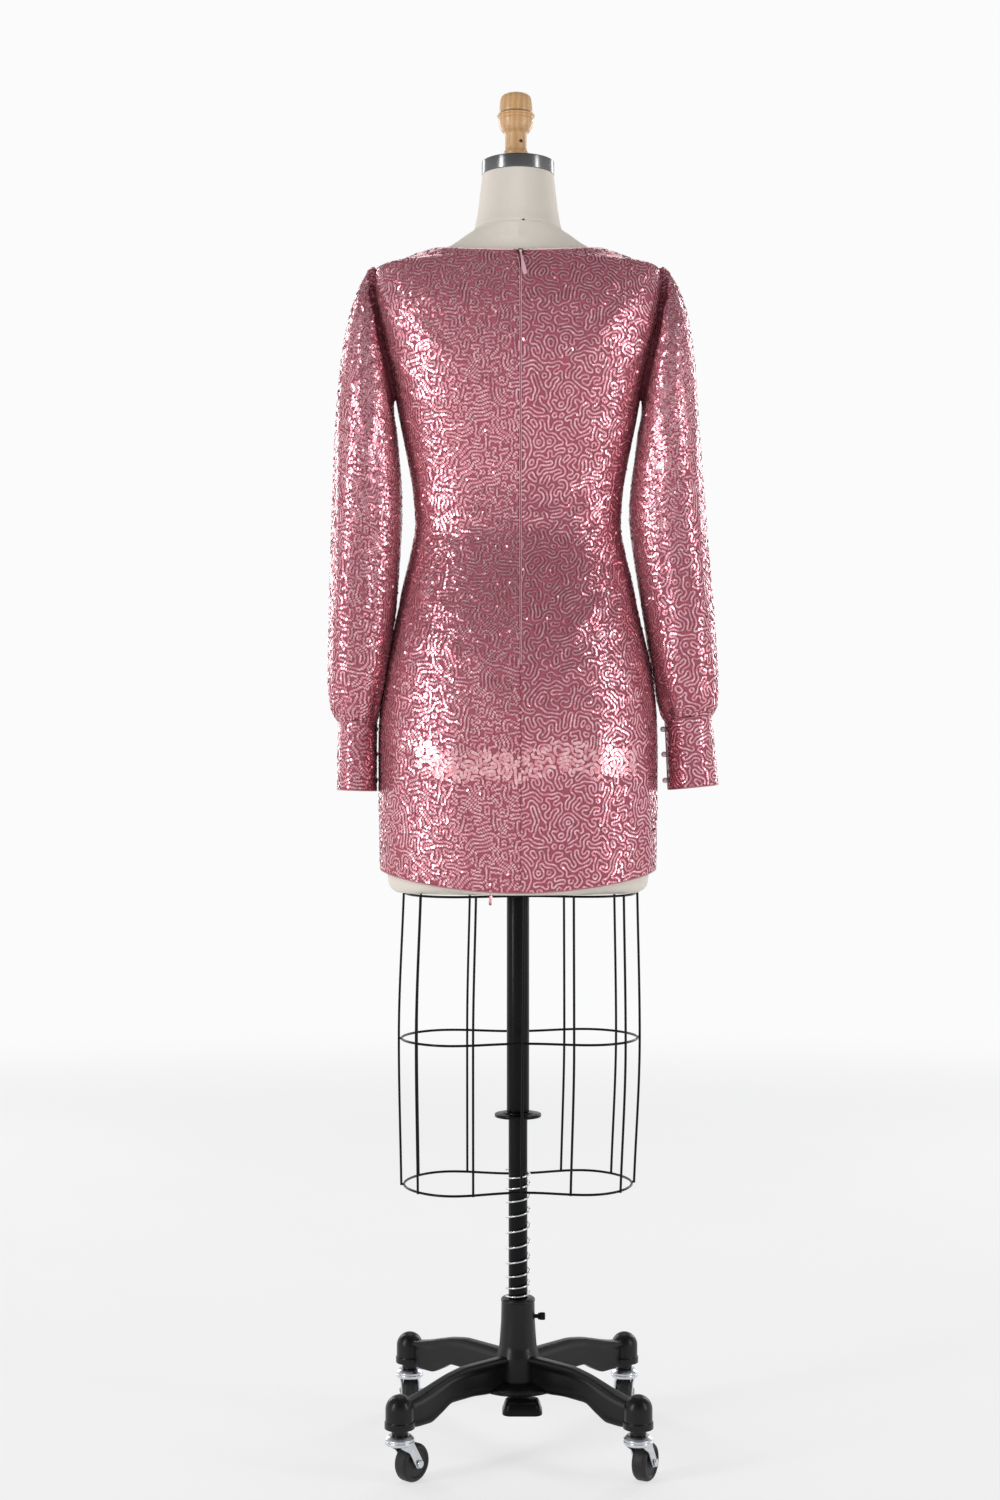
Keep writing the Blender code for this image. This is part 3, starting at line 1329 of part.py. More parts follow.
def caster_parts():
    """Four casters: a swivelling fork, an axle across it, and a wheel that stands flat."""
    rim = WHEEL_AXLE_HEIGHT / math.cos(math.pi / WHEEL_SIDES)
    wheel_profile = (
        (WHEEL_BORE, -WHEEL_HALF_WIDTH), (rim - TREAD_DROP, -WHEEL_HALF_WIDTH),
        (rim, -TREAD_HALF_WIDTH), (rim, TREAD_HALF_WIDTH),
        (rim - TREAD_DROP, WHEEL_HALF_WIDTH), (WHEEL_BORE, WHEEL_HALF_WIDTH),
    )
    race = (
        (0.0, RACE_TOP), (13.0 * MM, RACE_TOP), (RACE_RADIUS, RACE_TOP - 4.0 * MM),
        (RACE_RADIUS, RACE_BOTTOM + 1.5 * MM), (15.0 * MM, RACE_BOTTOM), (0.0, RACE_BOTTOM),
    )
    flat_down = math.pi / WHEEL_SIDES
    lay_along_x = Matrix.Rotation(math.pi / 2, 4, "Y")
    for number, caster in enumerate(CASTERS, 1):
        frame = caster_frame(caster)
        fork = turned(f"caster_fork_{number}", race, "zinc", 16)
        fork.matrix_world = frame
        for side in (-1, 1):
            plate = bmesh.new()
            low, high = sorted((side * FORK_INSIDE, side * (FORK_INSIDE + FORK_PLATE)))
            fork_plate(plate, low, high)
            boolean(fork, "UNION", cutter(f"fork_plate_{number}_{side > 0}", plate, frame))
        hub = frame @ Matrix.Translation((0, -TRAIL, WHEEL_AXLE_HEIGHT))
        hole = bmesh.new()
        rod_along_x(hole, AXLE_RADIUS + SEAM, -20 * MM, 20 * MM, 8)
        boolean(fork, "DIFFERENCE", cutter(f"axle_hole_{number}", hole, hub))
        wheel = turned(f"caster_wheel_{number}", wheel_profile, "wheel_rubber", WHEEL_SIDES, True)
        wheel.matrix_world = hub @ lay_along_x @ Matrix.Rotation(flat_down, 4, "Z")
        end = FORK_INSIDE + FORK_PLATE + SEAM
        head = end + AXLE_HEAD_LENGTH
        axle_profile = (
            (0.0, head), (AXLE_HEAD, head), (AXLE_HEAD, end), (AXLE_RADIUS, end),
            (AXLE_RADIUS, -end), (AXLE_HEAD, -end), (AXLE_HEAD, -head), (0.0, -head),
        )
        axle = turned(f"caster_axle_{number}", axle_profile, "zinc", 8)
        axle.matrix_world = hub @ lay_along_x


def set_on_origin():
    """Moves every object back, cutters too, so that the origin is under the middle."""
    for obj in bpy.context.scene.objects:
        obj.location.y += POLE_Y


# --- Build ------------------------------------------------------------------
clear_scene()
dress()
zip_coil()
zip_slider()
zip_pull()
form_torso()
form_top()
cage()
pole()
base_casting()
set_screw()
pedal()
caster_parts()
set_on_origin()
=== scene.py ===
import math
from collections import namedtuple

import bmesh
import bpy
import numpy as np
from mathutils import Matrix, Vector


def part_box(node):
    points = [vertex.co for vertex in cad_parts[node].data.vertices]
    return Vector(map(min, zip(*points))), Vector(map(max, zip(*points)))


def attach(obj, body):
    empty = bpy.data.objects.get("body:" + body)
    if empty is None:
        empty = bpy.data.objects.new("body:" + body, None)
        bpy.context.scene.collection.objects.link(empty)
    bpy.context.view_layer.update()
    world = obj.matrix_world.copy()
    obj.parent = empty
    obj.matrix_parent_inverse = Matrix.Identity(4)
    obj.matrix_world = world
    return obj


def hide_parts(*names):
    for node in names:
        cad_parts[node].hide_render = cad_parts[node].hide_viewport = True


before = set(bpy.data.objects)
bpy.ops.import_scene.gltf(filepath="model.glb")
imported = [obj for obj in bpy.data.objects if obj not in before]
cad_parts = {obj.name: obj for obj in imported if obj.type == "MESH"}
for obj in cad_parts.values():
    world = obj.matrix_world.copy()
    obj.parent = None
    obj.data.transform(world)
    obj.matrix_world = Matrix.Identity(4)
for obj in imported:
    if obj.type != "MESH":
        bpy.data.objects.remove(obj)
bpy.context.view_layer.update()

# A long-sleeved sequined cocktail dress on a limbless dress form with a rolling stand.
# The dress's front faces -Y and the wearer's left is +X. Shapes are worked out round the
# stand's pole and moved back by POLE_Y at the end. Heights on the form count from its
# underside. On the garment a turn is the angle round the body (0 at the centre back, 90 at
# the wearer's left side) and a reach is the length of the way up the side seam.

MM = 0.001
POLE_Y = 0.013
SEAM = 0.3 * MM
SAME_PLACE = 1e-6           # points closer than this are joined
FORM_BOTTOM = 0.6745
FORM_TOP = 0.867

# --- Camera ---
CAMERA_PLACE = (0.0218, 2.633, 0.8325)
CAMERA_LENS = 51.86
CAMERA_RISE = 11 / 1500


def camera():
    data = bpy.data.cameras.new("camera")
    data.sensor_fit = "VERTICAL"
    data.sensor_height = 36.0
    data.lens = CAMERA_LENS
    data.shift_y = CAMERA_RISE
    data.clip_start = 0.05
    made = bpy.data.objects.new("camera", data)
    made.location = CAMERA_PLACE
    made.rotation_euler = (math.pi / 2, 0, math.pi)
    bpy.context.scene.collection.objects.link(made)
    bpy.context.scene.camera = made


# --- Sizes of the garment, as its solids have them ---
Ring = namedtuple("Ring", "height half_width back front square")
SKIN_RINGS = [Ring(*row) for row in (
    # height, half width, depth behind and before the pole, squareness
    (0.000, 0.1660, 0.1000, 0.0960, 2.25), (0.040, 0.1670, 0.1025, 0.0985, 2.25),
    (0.080, 0.1676, 0.1055, 0.1010, 2.25), (0.117, 0.1685, 0.1090, 0.1035, 2.25),
    (0.171, 0.1685, 0.1135, 0.1060, 2.25), (0.208, 0.1675, 0.1145, 0.1070, 2.25),
    (0.263, 0.1625, 0.1100, 0.1060, 2.20), (0.299, 0.1545, 0.1035, 0.1040, 2.20),
    (0.335, 0.1460, 0.0940, 0.1010, 2.15), (0.371, 0.1390, 0.0820, 0.0970, 2.10),
    (0.408, 0.1300, 0.0690, 0.0920, 2.10),
    (0.444, 0.1243, 0.0610, 0.0880, 2.10),  # waist
    (0.480, 0.1265, 0.0620, 0.0890, 2.10), (0.523, 0.1335, 0.0700, 0.0960, 2.20),
    (0.568, 0.1425, 0.0790, 0.1060, 2.35),  # bust
    (0.608, 0.1500, 0.0850, 0.1070, 2.55), (0.653, 0.1610, 0.0880, 0.0980, 2.70),
    (0.693, 0.1705, 0.0860, 0.0860, 2.70), (0.723, 0.1735, 0.0805, 0.0750, 2.55),
    (0.743, 0.1730, 0.0745, 0.0665, 2.40),
    (0.754, 0.1695, 0.0700, 0.0615, 2.30),  # shoulder tip
    (0.7595, 0.1490, 0.0675, 0.0590, 2.20), (0.7665, 0.1315, 0.0650, 0.0575, 2.15),
    (0.7745, 0.1070, 0.0620, 0.0560, 2.10),  # neckline on the shoulder
    (0.7835, 0.0824, 0.0590, 0.0550, 2.00), (0.792, 0.0667, 0.0560, 0.0545, 2.00),
    (0.799, 0.0545, 0.0545, 0.0545, 2.00),  # neck base
    (0.814, 0.0502, 0.0502, 0.0502, 2.00), (0.840, 0.0466, 0.0466, 0.0466, 2.00),
    (0.867, 0.0435, 0.0435, 0.0435, 2.00),
)]
BUST_TURN = 36.0
BUST_SPREAD = 21.0
BUST_HEIGHT = 0.572
BUST_RISE = 0.050
BUST_SWELL = 15.0 * MM
HEM_SIDE = 0.028
HEM_DROP_BACK = 0.024
HEM_DROP_FRONT = 0.020
UNDERARM = 0.595
SHOULDER_TIP = 0.754
NECK_SHOULDER = 0.7745
NECKLINE_DROP_BACK = 0.0120
NECKLINE_DROP_FRONT = 0.050
NECKLINE_CURVE_BACK = 2.4
NECKLINE_CURVE_FRONT = 4.0
ARMHOLE_BACK = 15.0
ARMHOLE_FRONT = 25.0
ARMHOLE_ROWS = 9
ARMHOLE_EASE = 0.5
CENTRE_BACK_X = -2.5 * MM
ZIP_BOTTOM = 0.270
ZIP_TOP = 0.7525
COIL_HALF_WIDTH = 0.7 * MM
SHELL = 1.2 * MM            # mesh cloth and its backing

# --- Grids of the cloth ---
BODY_STEP = 4.0 * MM        # size of a cell on the body's cloth
PANEL_COLUMNS = 54          # across one back panel; twice that on the front
NECK_SHARE = 2 / 3          # share of a panel's top edge that is neckline
SLEEVE_COLUMNS = 108
SLEEVE_STEP = 4.0 * MM


def lerp(a, b, f):
    return a + (b - a) * f


def smooth_curve(xs, ys):
    """A smooth curve through points, or through whole rows of points, with no overswing."""
    xs = np.asarray(xs, float)
    ys = np.asarray(ys, float)
    steps = np.diff(xs)
    rises = np.diff(ys, axis=0) / steps.reshape((-1,) + (1,) * (ys.ndim - 1))
    before, after = rises[:-1], rises[1:]
    same_way = before * after > 0
    both = np.where(same_way, before + after, 1.0)
    middle = np.where(same_way, 2 * before * after / both, 0.0)
    slopes = np.concatenate([rises[:1], middle, rises[-1:]])

    def value(x):
        x = np.asarray(x, float)
        i = np.searchsorted(xs[1:-1], x, side="right")
        wide = x.shape + (1,) * (ys.ndim - 1)
        step = steps[i].reshape(wide)
        f = np.clip((x - xs[i]) / steps[i], 0.0, 1.0).reshape(wide)
        g = 1 - f
        return (
            (1 + 2 * f) * g * g * ys[i]
            + f * g * g * step * slopes[i]
            + f * f * (3 - 2 * f) * ys[i + 1]
            - f * f * g * step * slopes[i + 1]
        )

    return value


# --- The skin: the garment's outer face, round the pole ---
RING_HEIGHTS = np.array([ring.height for ring in SKIN_RINGS])
RING_WIDTHS = np.array([ring.half_width for ring in SKIN_RINGS])
RING_STEPS = np.hypot(np.diff(RING_HEIGHTS), 0.6 * np.diff(RING_WIDTHS))
REACHES = np.concatenate([[0.0], np.cumsum(RING_STEPS)])
RING_CURVES = {
    field: smooth_curve(REACHES, [getattr(ring, field) for ring in SKIN_RINGS])
    for field in Ring._fields
}
REACH_AT_HEIGHT = smooth_curve(RING_HEIGHTS, REACHES)


def reach_at(height):
    reach = REACH_AT_HEIGHT(height)
    level = RING_CURVES["height"]
    for _ in range(6):
        slope = (level(reach + 1e-4) - level(reach - 1e-4)) / 2e-4
        reach = reach + (height - level(reach)) / np.maximum(slope, 0.05)
    return reach


def sides_of(turn):
    return np.sin(np.radians(turn)), np.cos(np.radians(turn))


def skin(turn, reach):
    """Points of the skin at turns in degrees and reaches."""
    turn, reach = np.broadcast_arrays(turn, reach)
    ring = Ring(*(RING_CURVES[field](reach) for field in Ring._fields))
    across, along = sides_of(turn)
    depth = np.where(along > 0, ring.back, ring.front)
    scale = (np.abs(across) ** ring.square + np.abs(along) ** ring.square) ** (-1 / ring.square)
    x = ring.half_width * across * scale
    y = depth * along * scale
    away = np.abs(turn % 360 - 180) - BUST_TURN
    up = (ring.height - BUST_HEIGHT) / BUST_RISE
    grown = 1 + BUST_SWELL * np.exp(-(away / BUST_SPREAD) ** 2 - up * up) / np.hypot(x, y)
    return np.stack([x * grown, y * grown, FORM_BOTTOM + ring.height], axis=-1)


def unit(vectors):
    return vectors / np.maximum(np.linalg.norm(vectors, axis=-1, keepdims=True), 1e-12)


def skin_normal(turn, reach):
    turn, reach = np.broadcast_arrays(turn, reach)
    round_step = skin(turn + 0.5, reach) - skin(turn - 0.5, reach)
    up_step = skin(turn, reach + MM) - skin(turn, reach - MM)
    return unit(np.cross(up_step, round_step))


def place_of(points):
    """The turn and reach of the skin in the same direction as each point."""
    reach = reach_at(points[..., 2] - FORM_BOTTOM)
    depth = np.where(points[..., 1] > 0, RING_CURVES["back"](reach), RING_CURVES["front"](reach))
    half_width = RING_CURVES["half_width"](reach)
    return np.degrees(np.arctan2(points[..., 0] / half_width, points[..., 1] / depth)), reach


def degrees_for(distance, turn, reach):
    """The turn in degrees that covers a distance along the skin."""
    return distance / np.linalg.norm(skin(turn + 0.5, reach) - skin(turn - 0.5, reach), axis=-1)


def angle_between(a, b):
    return (a - b + 180) % 360 - 180


# --- Creases in the cloth ---
GIRTH_DEGREE = 2.45 * MM    # round the body, one degree of turn
Crease = namedtuple("Crease", "turn height slant length width rise bend")
BODY_CREASES = [Crease(*row) for row in (
    # turn, height, slant from level in degrees (+ up to the left), half length, half width
    # and rise in mm, and how far it bends over its half length in mm
    # The small of the back, where the panels ride up over the hips.
    (9, 0.437, 4, 30, 6.0, 1.5, 3), (26, 0.449, -14, 38, 7.0, 2.0, -5),
    (38, 0.425, 10, 30, 6.0, -0.8, 4), (52, 0.462, 18, 34, 6.5, 1.8, 5),
    (17, 0.474, 8, 30, 6.5, 1.3, -4), (-12, 0.450, -6, 34, 6.5, 1.8, 4),
    (-29, 0.434, 12, 36, 6.5, 1.6, 5), (-41, 0.458, -16, 32, 6.0, 1.9, -4),
    (-20, 0.481, -9, 28, 6.0, 1.2, 3), (-55, 0.444, -22, 30, 6.0, 1.7, -4),
    # Drags from the hips and the seat.
    (46, 0.352, 38, 46, 8.0, 1.7, 6), (63, 0.318, 52, 44, 8.0, 1.5, -6),
    (30, 0.292, 30, 40, 8.5, 1.2, 5), (12, 0.236, 74, 46, 9.0, 1.1, 4),
    (-33, 0.330, -42, 48, 8.0, 1.6, -6), (-58, 0.345, -50, 42, 7.5, 1.5, 6),
    (-22, 0.262, -28, 38, 8.5, 1.2, -4), (-9, 0.196, -78, 42, 8.5, 1.0, -3),
    # Long soft flutes down the skirt.
    (24, 0.110, 86, 78, 12.0, 1.7, 5), (55, 0.125, 95, 82, 13.0, 2.0, -6),
    (-30, 0.118, 93, 80, 12.5, 1.9, 5), (-62, 0.105, 84, 72, 12.0, 1.7, -5),
    # Shoulder blades and armholes.
    (38, 0.665, 62, 44, 8.0, 1.8, 5), (58, 0.632, 40, 36, 7.0, 1.9, -4),
    (49, 0.588, 24, 34, 7.0, 1.6, 4), (68, 0.568, 30, 26, 6.0, 1.4, 3),
    (-36, 0.672, -60, 44, 8.0, 1.8, -5), (-55, 0.640, -44, 38, 7.0, 2.0, 4),
    (-51, 0.592, -28, 34, 7.0, 1.5, -4), (-66, 0.560, -26, 28, 6.0, 1.5, -3),
    (10, 0.560, 80, 50, 9.0, 1.0, 3), (-13, 0.548, 98, 46, 9.0, 1.0, -3),
    # The front: from the bust to the armholes, the waist and the lap.
    (118, 0.636, -38, 36, 7.0, 1.8, 4), (242, 0.628, 36, 38, 7.0, 1.8, -4),
    (128, 0.520, 42, 38, 7.5, 1.6, -5), (231, 0.514, -46, 40, 7.5, 1.6, 5),
    (168, 0.545, 86, 44, 9.0, 1.3, 4), (148, 0.446, 10, 36, 6.5, 1.8, 4),
    (176, 0.434, -4, 36, 6.5, 1.6, -4), (205, 0.452, -12, 38, 6.5, 1.9, 5),
    (226, 0.430, 14, 32, 6.0, 1.5, -4), (158, 0.472, -8, 30, 6.0, 1.3, 3),
    (140, 0.330, -44, 46, 8.0, 1.5, 5), (216, 0.322, 40, 48, 8.0, 1.6, -5),
    (170, 0.255, -70, 46, 9.0, 1.2, 4), (192, 0.232, 66, 44, 9.0, 1.1, -4),
    (134, 0.112, 95, 80, 12.5, 1.9, 5), (163, 0.122, 86, 78, 12.0, 1.6, -4),
    (199, 0.108, 94, 76, 12.0, 1.7, 5), (229, 0.120, 84, 80, 12.5, 1.9, -6),
)]


def body_rise(turn, reach):
    """How far the creases raise the body's cloth."""
    rise = np.zeros(np.broadcast(turn, reach).shape)
    for crease in BODY_CREASES:
        across = angle_between(turn, crease.turn) * GIRTH_DEGREE / MM
        up = (reach - reach_at(crease.height)) / MM
        slant = math.radians(crease.slant)
        along = (across * math.cos(slant) + up * math.sin(slant)) / crease.length
        off = up * math.cos(slant) - across * math.sin(slant) - crease.bend * along * along
        off = off / crease.width
        rise += crease.rise * MM * np.exp(-along * along - off * off)
    return rise


def body_cloth(turn, reach, out=0.0):
    """Points of the body's cloth, with its creases, moved out by a distance."""
    turn, reach = np.broadcast_arrays(turn, reach)
    lift = body_rise(turn, reach) + out
    return skin(turn, reach) + skin_normal(turn, reach) * lift[..., None]


# --- Outlines of the panels ---
def hem_height(turn):
    along = np.cos(np.radians(turn))
    return HEM_SIDE - np.where(along > 0, HEM_DROP_BACK, HEM_DROP_FRONT) * along * along


def neckline_height(turn):
    along = np.cos(np.radians(turn))
    back = NECKLINE_DROP_BACK * np.abs(along) ** NECKLINE_CURVE_BACK
    front = NECKLINE_DROP_FRONT * np.abs(along) ** NECKLINE_CURVE_FRONT
    return NECK_SHOULDER - np.where(along > 0, back, front)


def centre_back_turn(height):
    return np.degrees(np.arcsin(CENTRE_BACK_X / RING_CURVES["half_width"](reach_at(height))))


def seam_degrees(turn, height):
    return degrees_for(SEAM / 2, turn, reach_at(height))


def centre_edge(height, side):
    """The turn of a back panel's centre edge, counted from the middle to its own side."""
    middle = side * centre_back_turn(height)
    gap = np.where(height >= ZIP_BOTTOM, COIL_HALF_WIDTH + SEAM, SEAM / 2)
    return middle + degrees_for(gap, middle, reach_at(height))


def armhole_share(share):
    return lerp(share, (1 - np.cos(np.pi * share)) / 2, ARMHOLE_EASE)


def filled_patch(bottom, top, start, end):
    """Places (turn, reach) between four edges, row by row."""
    u = np.linspace(0.0, 1.0, len(bottom))[None, :, None]
    s = armhole_share(np.linspace(0.0, 1.0, len(start)))[:, None, None]
    edges = lerp(bottom[None], top[None], s) + lerp(start[:, None], end[:, None], u)
    corners = lerp(lerp(bottom[0], bottom[-1], u), lerp(top[0], top[-1], u), s)
    return edges - corners


def places(turns, heights):
    turns, heights = np.broadcast_arrays(turns, heights)
    return np.stack([turns, reach_at(heights)], axis=-1)


def body_rows():
    return round((UNDERARM - HEM_SIDE) / BODY_STEP), round(1.25 * (SHOULDER_TIP - UNDERARM) / BODY_STEP)


def back_places(side):
    """A back panel's grid of (turn, reach), from the centre back to its side."""
    low_rows, high_rows = body_rows()
    share = np.linspace(0.0, 1.0, PANEL_COLUMNS + 1)
    levels = np.linspace(0.0, 1.0, low_rows + 1)[:-1, None]
    side_edge = 90.0 - seam_degrees(90.0, 0.3)
    hem = hem_height(side_edge * share)
    heights = lerp(hem[None, :], UNDERARM, levels)
    turns = lerp(centre_edge(heights[:, :1], side), side_edge, share[None, :])
    lower = places(turns, heights)
    bottom = places(lerp(centre_edge(np.float64(UNDERARM), side), side_edge, share), UNDERARM)
    over_neck = share / NECK_SHARE
    down = (share - NECK_SHARE) / (1 - NECK_SHARE)
    top_centre = centre_edge(neckline_height(0.0), side)
    top_turn = lerp(top_centre, side_edge, np.minimum(over_neck, 1.0))
    fall = lerp(NECK_SHOULDER, SHOULDER_TIP, np.maximum(down, 0.0))
    top = places(top_turn, np.where(over_neck <= 1.0, neckline_height(top_turn), fall))
    rows = np.linspace(0.0, 1.0, high_rows + 1)
    rise = lerp(UNDERARM, neckline_height(0.0), armhole_share(rows))
    start = places(centre_edge(rise, side), rise)
    low, high = reach_at(UNDERARM), reach_at(SHOULDER_TIP)
    cut = ARMHOLE_BACK * np.sin(np.pi * rows)
    end = np.stack([side_edge - cut, lerp(low, high, armhole_share(rows))], axis=-1)
    grid = np.concatenate([lower, filled_patch(bottom, top, start, end)])
    grid[..., 0] *= side
    return grid


def front_places():
    """The front panel's grid, from the wearer's left side across to the right."""
    low_rows, high_rows = body_rows()
    share = np.linspace(0.0, 1.0, 2 * PANEL_COLUMNS + 1)
    levels = np.linspace(0.0, 1.0, low_rows + 1)[:-1, None]
    side_edge = 90.0 + seam_degrees(90.0, 0.3)
    turns = lerp(side_edge, 360 - side_edge, share)
    lower = places(turns[None, :], lerp(hem_height(turns)[None, :], UNDERARM, levels))
    bottom = places(turns, UNDERARM)
    shoulder = (1 - NECK_SHARE) / 2
    from_side = np.minimum(share, 1 - share)
    over_neck = np.clip((share - shoulder) / (1 - 2 * shoulder), 0.0, 1.0)
    top_turn = lerp(side_edge, 360 - side_edge, over_neck)
    climb = lerp(SHOULDER_TIP, NECK_SHOULDER, np.minimum(from_side / shoulder, 1.0))
    top = places(top_turn, np.where(from_side < shoulder, climb, neckline_height(top_turn)))
    rows = np.linspace(0.0, 1.0, high_rows + 1)
    low, high = reach_at(UNDERARM), reach_at(SHOULDER_TIP)
    cut = side_edge + ARMHOLE_FRONT * np.sin(np.pi * rows)
    start = np.stack([cut, lerp(low, high, armhole_share(rows))], axis=-1)
    end = np.stack([360 - cut, start[:, 1]], axis=-1)
    return np.concatenate([lower, filled_patch(bottom, top, start, end)])


# --- Sleeves and cuffs ---
HIP_CLEARANCE = 2.5 * MM
UNDERARM_OPENING = 0.030
Section = namedtuple("Section", "in_x in_height out_x out_height half_depth centre_y")
SLEEVE_LEFT = [Section(*row) for row in (
    # body side, outer side, half depth front to back, centre of the section
    (0.1508, 0.5790, 0.1845, 0.7410, 0.0475, -0.001),
    (0.1496, 0.5700, 0.1930, 0.7220, 0.0535, 0.001),
    (0.1474, 0.5580, 0.2043, 0.6860, 0.0575, 0.002),
    (0.1440, 0.5250, 0.2142, 0.6330, 0.0575, 0.004),
    (0.1415, 0.4930, 0.2187, 0.5880, 0.0570, 0.006),
    (0.1405, 0.4530, 0.2217, 0.5330, 0.0560, 0.008),
    (0.1455, 0.3640, 0.2252, 0.4060, 0.0550, 0.012),
    (0.1490, 0.3200, 0.2267, 0.3420, 0.0545, 0.014),
    (0.1530, 0.2820, 0.2272, 0.2860, 0.0530, 0.015),
    (0.1575, 0.2520, 0.2262, 0.2520, 0.0505, 0.015),
    (0.1645, 0.2240, 0.2230, 0.2240, 0.0445, 0.013),
    (0.1705, 0.2055, 0.2165, 0.2055, 0.0370, 0.011),
)]
SLEEVE_RIGHT = [Section(*row) for row in (
    (0.1505, 0.5790, 0.1855, 0.7410, 0.0475, -0.001),
    (0.1490, 0.5700, 0.1945, 0.7220, 0.0535, 0.001),
    (0.1462, 0.5580, 0.2052, 0.6860, 0.0578, 0.002),
    (0.1420, 0.5250, 0.2132, 0.6330, 0.0590, 0.003),
    (0.1375, 0.4930, 0.2168, 0.5880, 0.0590, 0.004),
    (0.1350, 0.4530, 0.2205, 0.5330, 0.0585, 0.005),
    (0.1465, 0.3640, 0.2297, 0.4060, 0.0570, 0.007),
    (0.1535, 0.3200, 0.2350, 0.3420, 0.0560, 0.008),
    (0.1600, 0.2820, 0.2383, 0.2860, 0.0545, 0.008),
    (0.1655, 0.2520, 0.2395, 0.2550, 0.0520, 0.008),
    (0.1725, 0.2240, 0.2382, 0.2290, 0.0455, 0.007),
    (0.1785, 0.2065, 0.2333, 0.2135, 0.0345, 0.005),
)]
CUFF_LEFT_HEM = Section(0.1710, 0.1225, 0.2178, 0.1240, 0.0375, 0.011)
CUFF_RIGHT_HEM = Section(0.1820, 0.1240, 0.2418, 0.1300, 0.0335, 0.005)
SLEEVE_SQUARE = 2.15
HEAD_OUT = 6.5 * MM
HEAD_OUT_LOW = 2.5 * MM
HEAD_APART = 2.0 * MM
GATHERS = 9
GATHER_DEPTH = 2.4 * MM
GATHER_START = 0.34
GATHER_UNEVEN = 0.45
FINE_GATHERS = 31           # small tucks right above the cuff's seam and at the head
FINE_GATHER_DEPTH = 0.5 * MM
FINE_GATHER_SWAY = 40       # degrees
GATHER_TURN = 50            # degrees
GATHER_DEEPEST = 0.86       # share of the way down to the seam, from where they draw together
GATHER_DRAWN = 0.8          # by this share
HEAD_ROW, HEAD_ROWS = 0.3, 1.3      # sections with the small tucks: the middle, and how far to each side
FOLD_TAPER = 1.2

Fold = namedtuple("Fold", "angle width first last lift lean")
SLEEVE_FOLDS = [Fold(*row) for row in (
    # angle from the sleeve's outer line (+ to the back), width in degrees, first and last
    # section that it crosses, lift in mm, and how far it leans over its length in degrees
    (8.0, 13.0, -0.8, 4.5, 2.4, 0), (38.0, 12.0, -0.6, 4.0, 2.2, 4), (66.0, 12.0, -0.4, 3.2, 1.6, 6),
    (-24.0, 12.0, -0.7, 4.0, 2.2, -4), (-54.0, 12.0, -0.5, 3.4, 1.8, -6),
    (112.0, 17.0, 2.5, 11.0, -3.4, 6), (58.0, 15.0, 4.0, 13.0, 2.2, -5),
    (84.0, 13.0, 5.5, 14.5, -2.2, 4), (-100.0, 17.0, 3.0, 11.5, -3.2, -6),
    (-66.0, 16.0, 5.0, 13.5, 2.4, 5), (24.0, 7.0, -0.5, 3.0, -1.3, 3), (52.0, 6.0, -0.6, 2.6, -1.1, 4),
    (-8.0, 7.0, -0.6, 2.8, -1.2, -3), (-40.0, 7.0, -0.5, 2.6, -1.2, -4), (76.0, 6.0, 1.6, 6.4, 1.6, 26),
    (96.0, 6.5, 2.6, 7.2, 1.5, -22), (40.0, 7.0, 3.2, 8.4, 1.2, 18), (14.0, 8.0, 5.0, 12.0, 1.3, -9),
    (-28.0, 8.0, 4.4, 11.0, 1.4, 10), (-82.0, 6.5, 2.2, 6.8, 1.6, -24),
    (-48.0, 7.0, 6.0, 12.5, 1.2, -10), (124.0, 7.0, 5.4, 10.2, 1.3, 12),
    (-118.0, 7.0, 5.8, 10.6, 1.3, -12),
)]


def section_ring(section, angles, side):
    """The points of one sleeve section. Angle 0 is its outer side and 90 its back."""
    inner = np.array((side * section.in_x, section.centre_y, FORM_BOTTOM + section.in_height))
    outer = np.array((side * section.out_x, section.centre_y, FORM_BOTTOM + section.out_height))
    half = (outer - inner) / 2
    along, across = sides_of(angles)
    scale = (np.abs(across) ** SLEEVE_SQUARE + np.abs(along) ** SLEEVE_SQUARE) ** (-1 / SLEEVE_SQUARE)
    points = (inner + outer) / 2 + half * (across * scale)[:, None]
    points[:, 1] += section.half_depth * along * scale
    return points


def round_refined(ring, count):
    """A closed ring of points as a smooth ring with more of them."""
    places_on = np.arange(count) * len(ring) / count
    i = places_on.astype(int)
    f = (places_on - i)[:, None]
    before, here, after, beyond = (ring[(i + k) % len(ring)] for k in (-1, 0, 1, 2))
    return here + 0.5 * f * (
        after - before
        + f * (2 * before - 5 * here + 4 * after - beyond + f * (3 * (here - after) + beyond - before))
    )


def armhole_ring(side, count):
    """The armhole's points, from the shoulder tip down the back and up the front."""
    rows = np.linspace(0.0, 1.0, ARMHOLE_ROWS + 1)
    low, high = reach_at(UNDERARM), reach_at(SHOULDER_TIP)
    reach = lerp(low, high, armhole_share(rows))
    back = skin(side * (90 - ARMHOLE_BACK * np.sin(np.pi * rows)), reach)
    front = skin(side * (90 + ARMHOLE_FRONT * np.sin(np.pi * rows)), reach)
    loop = np.concatenate([back[:0:-1], front[:-1]])
    return round_refined(loop, count)


